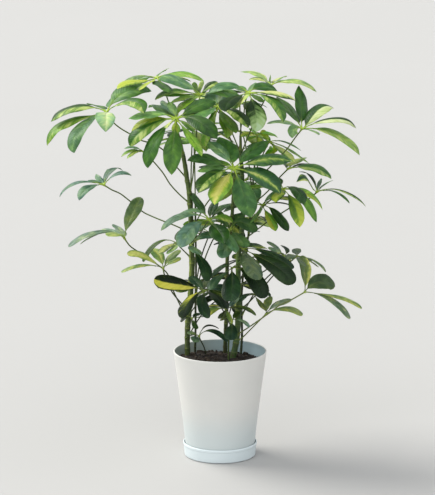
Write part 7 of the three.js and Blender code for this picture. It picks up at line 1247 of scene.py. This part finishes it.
def stem(name, rows, material, index):
    rng = np.random.default_rng(50 + index)
    rows = np.array(rows, float)
    length = np.linalg.norm(np.diff(rows[:, :3], axis=0), axis=1).sum()
    count = int(length / 1.5)
    C, at = through(rows[:, :3], count)
    s = np.concatenate([[0], np.cumsum(np.linalg.norm(np.diff(rows[:, :3], axis=0), axis=1))])
    r = np.interp(at / at[-1], s / s[-1], rows[:, 3])
    T, A, B = frames(C)
    sides = 24 if r[0] > 2.5 else 16
    th = np.linspace(0, 2 * np.pi, sides, endpoint=False)
    # nodes: where a leaf grows, and the scars of those it has dropped
    nodes = []
    for lname, lstem, pet, _ in LEAVES:
        if lstem != name:
            continue
        p = np.array(pet[0], float)
        k = int(np.argmin(np.linalg.norm(C - p, axis=1)))
        d = np.array(pet[min(2, len(pet) - 1)], float) - p
        nodes.append((at[k], math.atan2(d @ B[k], d @ A[k]), 1.0))
    foot = 30.0
    taken = sorted([foot - 6] + [x[0] for x in nodes] + [at[-1]])
    turn = rng.uniform(0, 6.28)
    for a, b in zip(taken, taken[1:]):
        gap = b - a
        k = int(gap // 19)
        for i in range(1, k + 1):
            turn += 2.4
            where = a + gap * i / (k + 1) + rng.normal(0, 1.5)
            if where > foot - 4:
                nodes.append((where, turn % 6.28, 0.75))
    R = np.repeat(r[:, None], sides, 1)
    scar = np.zeros_like(R)
    for where, angle, strength in nodes:
        d = at - where
        ring = np.exp(-((d / 0.9) ** 2)) * 0.11 + np.exp(-(((d + 2.6) / 3.0) ** 2)) * 0.07
        turned_by = (th - angle + np.pi) % (2 * np.pi) - np.pi
        face = np.exp(-((turned_by / 0.85) ** 2))
        crescent = np.exp(-(((d[:, None] + 1.4 - 1.1 * np.cos(turned_by)[None]) / 1.5) ** 2)) * face[None]
        R = R + strength * (r * ring)[:, None] + strength * crescent * min(0.55, 0.16 * float(r.mean()))
        scar = np.maximum(scar, strength * np.maximum(crescent, 0.75 * np.exp(-((d / 0.8) ** 2))[:, None]))
    flutes = np.array([[noise.noise(Vector((a * 0.03 + index * 7, math.cos(t) * 1.1, math.sin(t) * 1.1))) for t in th] for a in at])
    R = R * (1 + 0.07 * flutes)
    # the growing tip closes to a small bud
    tip = smooth(at, at[-1] - 6, at[-1])
    R = R * (1 - 0.55 * tip)[:, None]
    v_, q_, t_, a_ = tube(C, R, sides)
    cork = np.clip(1.0 - (at - 22) / 130, 0, 1) * 0.42 + STEM_LOOKS[name][2] * 0.5
    young = smooth(at, at[-1] - 150, at[-1]) * 0.8
    rep = lambda a: np.concatenate([np.repeat(a, sides), [a[0], a[-1]]])
    outward = A[:, None] * np.cos(th)[None, :, None] + B[:, None] * np.sin(th)[None, :, None]
    sun_side = np.concatenate([(outward @ unit([-0.9, -0.15, 0.2])).ravel(), [0, 0]])
    shell = Shell()
    # how strongly the lit side is painted: most on the left stem, between about 190 and 410 mm up
    lit = smooth(C[:, 2], 190, 280) * smooth(410 - C[:, 2], 0, 60) * 0.8 + 0.15
    lit = rep(lit if name == "stem_left" else lit * 0.6)
    shell.add(v_, q_, t_, 0, s_lit=lit, s_l=rep(at), s_a=a_, s_scar=np.concatenate([scar.ravel(), [0, 0]]), s_cork=rep(cork), s_young=rep(young), s_sun=sun_side,
              s_green=STEM_LOOKS[name][0], s_dark=STEM_LOOKS[name][1])
    # bud scales at the tip
    bv, bt = ball(3)
    up = T[-1]
    for k in range(3):
        w = float(r[-1]) * (0.75 - 0.12 * k)
        side_way = A[-1] * math.cos(k * 2.2) + B[-1] * math.sin(k * 2.2)
        v = bv.copy()
        h = (v[:, 2] + 1) / 2
        v = np.stack([v[:, 0] * (1 - 0.55 * h), v[:, 1] * (1 - 0.55 * h), v[:, 2]], -1)
        v = A[-1] * v[:, :1] * w + B[-1] * v[:, 1:2] * w + up * v[:, 2:] * (w * 1.9)
        shell.add(v + C[-1] + side_way * 0.5 + up * (0.6 + 0.7 * k), (), bt, 0, s_lit=0.3, s_l=at[-1], s_a=0.0, s_scar=0.2, s_cork=0.0, s_young=1.0, s_sun=0.0,
                  s_green=STEM_LOOKS[name][0], s_dark=STEM_LOOKS[name][1])
    return shell.build(name, [material])


# ---------- soil
def heaps(x, y):
    z = SOIL_LEVEL
    for hx, hy, a, s in SOIL_HEAPS:
        z = z + a * np.exp(-((x - hx) ** 2 + (y - hy) ** 2) / (2 * s * s))
    return z


def rough_soil(x, y):
    """The soil's surface with its clods."""
    r = math.hypot(x, y)
    p = Vector((x, y, 0))
    z = float(heaps(x, y)) - 2.2 * float(smooth(r, 62, 72))
    z += 2.3 * noise.noise(p / 9.5) + 1.5 * noise.noise(p / 4.6 + Vector((7, 0, 0))) + 0.8 * noise.noise(p / 2.1 + Vector((0, 9, 0)))
    z += 1.6 * max(0.0, 0.35 - noise.voronoi(p / 6.0)[0][0]) * 2
    return z


def soil(material):
    shell = Shell()
    seg, rings = 200, 74
    th = np.linspace(0, 2 * np.pi, seg, endpoint=False)
    radii = 71.5 * (np.arange(1, rings + 1) / rings) ** 0.9
    verts = [(0, 0, rough_soil(0, 0))]
    for r in radii:
        verts += [(r * math.cos(t), r * math.sin(t), rough_soil(r * math.cos(t), r * math.sin(t))) for t in th]
    # the sides follow the pot's inside down to its base
    for z, r in ((150, 71.0), (127.5, 68.0), (93, 63.6), (59, 59.3), (25, 55.8), (8.6, 52.4)):
        verts += [(r * math.cos(t), r * math.sin(t), z) for t in th]
    rows = rings + 6
    quads = lattice(rows, seg, closed=True) + 1
    j = np.arange(seg)
    k = (j + 1) % seg
    tris = [np.stack([np.zeros(seg, int), j + 1, k + 1], -1)]
    verts.append((0, 0, 8.6))
    end = len(verts) - 1
    tris.append(np.stack([np.full(seg, end), 1 + (rows - 1) * seg + k, 1 + (rows - 1) * seg + j], -1))
    shell.add(verts, quads[:, ::-1], np.concatenate(tris), 0, d_rnd=0.0)
    stems_at = [np.array(r[1][:2]) for r in STEMS.values()]
    rng = np.random.default_rng(11)
    fine, coarse = ball(3), ball(2)
    for i in range(330):
        big = i < 90
        for _ in range(20):
            a, d = rng.uniform(0, 2 * np.pi), 69.0 * math.sqrt(rng.uniform(0, 1))
            x, y = d * math.cos(a), d * math.sin(a)
            size = rng.uniform(2.4, 5.2) if big else rng.uniform(0.9, 2.4)
            if d + size * 1.2 < 71 and min(np.hypot(x - s[0], y - s[1]) for s in stems_at) > size + 3.5:
                break
        v, t = fine if big else coarse
        stretch = np.array([1.0, rng.uniform(0.45, 0.95), rng.uniform(0.35, 0.8)]) * (1.35 if rng.uniform() < 0.3 else 1.0)
        off = Vector(rng.uniform(-50, 50, 3))
        lump = np.array([1 + 0.34 * noise.noise(Vector(p) * 1.4 + off) + 0.16 * noise.noise(Vector(p) * 3.4 + off) for p in v])
        # flat broken faces on bark chips
        w = v * lump[:, None]
        for _ in range(3):
            m = unit(rng.normal(0, 1, 3))
            h = w @ m
            w = w - np.maximum(h - 0.62, 0)[:, None] * m * 0.85
        w = w * stretch * size
        e = rng.uniform(0, 2 * np.pi)
        tilt = rng.normal(0, 0.35)
        c, s = math.cos(e), math.sin(e)
        ct, st = math.cos(tilt), math.sin(tilt)
        w = w @ np.array([[ct, 0, st], [0, 1, 0], [-st, 0, ct]]).T @ np.array([[c, -s, 0], [s, c, 0], [0, 0, 1]]).T
        z = rough_soil(x, y) + size * rng.uniform(-0.05, 0.3)
        shell.add(w + [x, y, z], (), t, 0, d_rnd=float(rng.uniform(0, 1) ** 1.6))
    return shell.build("soil", [material], sharp=75)


# ---------- pot and saucer
def pot(material):
    foot = 3.55
    outside = [(56.2, foot + 0.4), (58.4, 25), (61.9, 59), (66.2, 93), (70.6, 127.5), (76.45, 171.3)]
    profile = [
        (0, foot + 2), (49.5, foot + 2), (50.3, foot, 0.4), (55.6, foot, 0.8), *[(r, z, 6) for r, z in outside],
        (77.25, 176.4, 1.2), (76.9, 178, 1.0), (75.0, 178, 1.0), (74.6, 176.4, 1.2),
        *[(r - 2.2, z, 6) for r, z in outside[1:][::-1]], (53.9, 9.6, 1.5), (52.0, 8.2, 1.5), (0, 8.15),
    ]
    profile = rounded(profile, 1.0)
    verts, quads, tris = turned(profile, 200)
    wall = np.interp(verts[:, 2], [z for _, z in outside], [r for r, _ in outside])
    inside = smooth(wall - np.hypot(verts[:, 0], verts[:, 1]), 0.9, 2.0) * (verts[:, 2] > 7)
    shell = Shell()
    shell.add(verts, quads, tris, 0, w_in=inside)
    o = shell.build("pot", [material], sharp=50)
    return o


def saucer(material):
    profile = [
        (0, 0.9), (50.5, 0.9, 0.5), (51.2, 0, 0.3), (57.4, 0, 0.8), (59.2, 1.3, 0.9), (60.55, 17.6, 1.0), (60.75, 18.3, 0.3), (61.15, 18.7, 0.3),
        (61.3, 22.0, 0.7), (60.7, 23, 0.5), (60.0, 23, 0.5), (59.4, 21.6, 0.7), (57.8, 4.9, 1.0), (56.3, 3.2, 0.9), (0, 3.2),
    ]
    verts, quads, tris = turned(rounded(profile, 0.8), 200)
    shell = Shell()
    shell.add(verts, quads, tris, 0, w_in=0.0)
    return shell.build("saucer", [material], sharp=50)


def stands_for(o, node):
    o.name = node + "_fine"
    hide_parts(node)
    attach(o, "root")


stalks = stalk_material()
matt = blade_material("blade_matt", 0.16, 0.5)
young_blades = [blade_material("blade_young", 0.4, 0.32), stalks, matt]
old_blades = [blade_material("blade_old", 0.34, 0.36), stalks, matt]
for i, (name, stem_name, petiole, leaflets) in enumerate(LEAVES):
    blades = young_blades if petiole[-1][2] > 380 else old_blades
    stands_for(leaf(name, stem_name, petiole, leaflets, blades, i), name)
bark = stem_material()
for i, (name, rows) in enumerate(STEMS.items()):
    stands_for(stem(name, rows, bark, i), name)
stands_for(soil(soil_material()), "soil")
stands_for(pot(plastic_material("pot", lin(203, 202, 197), 0.5, 0.75)), "pot")
stands_for(saucer(plastic_material("saucer", lin(202, 212, 214), 0.42, 0.0)), "saucer")

# ---------- floor, lights and camera
floor_mesh = bpy.data.meshes.new("floor")
floor_mesh.from_pydata([(-12, -12, 0), (12, -12, 0), (12, 12, 0), (-12, 12, 0)], [], [(0, 1, 2, 3)])
floor_mesh.materials.append(floor_material())
floor = bpy.data.objects.new("floor", floor_mesh)
bpy.context.scene.collection.objects.link(floor)
floor.location.z = -0.0002

world = bpy.data.worlds.new("studio")
bpy.context.scene.world = world
world.use_nodes = True
background = world.node_tree.nodes["Background"]
background.inputs["Color"].default_value = (0.93, 0.96, 1.0, 1)
background.inputs["Strength"].default_value = 0.84


def sun(name, toward, strength, spread, colour):
    """Even, soft light that comes from one side."""
    data = bpy.data.lights.new(name, "SUN")
    data.energy = strength
    data.angle = math.radians(spread)
    data.color = colour
    o = bpy.data.objects.new(name, data)
    bpy.context.scene.collection.objects.link(o)
    o.location = Vector(toward) * 3
    o.rotation_mode = "QUATERNION"
    o.rotation_quaternion = (-Vector(toward)).to_track_quat("-Z", "Y")
    return o


sun("key", (-0.72, 0.42, 0.86), 4.2, 40, (1.0, 0.985, 0.94))
sun("fill", (-0.3, -0.8, 0.6), 1.3, 70, (0.98, 0.99, 1.0))
sun("bounce", (0.85, -0.35, 0.4), 0.45, 80, (0.98, 0.99, 1.0))

camera = bpy.data.objects.new("camera", bpy.data.cameras.new("camera"))
bpy.context.scene.collection.objects.link(camera)
camera.data.lens = 197.42
camera.data.sensor_width = 36
camera.data.sensor_fit = "AUTO"
camera.data.clip_start, camera.data.clip_end = 0.1, 60
camera.location = (-0.0042273, -4.35862, 1.29710)
camera.rotation_euler = (math.radians(90 - 12.2291), 0, 0)
bpy.context.scene.camera = camera
bpy.context.scene.view_settings.view_transform = "Standard"
bpy.context.scene.view_settings.look = "None"
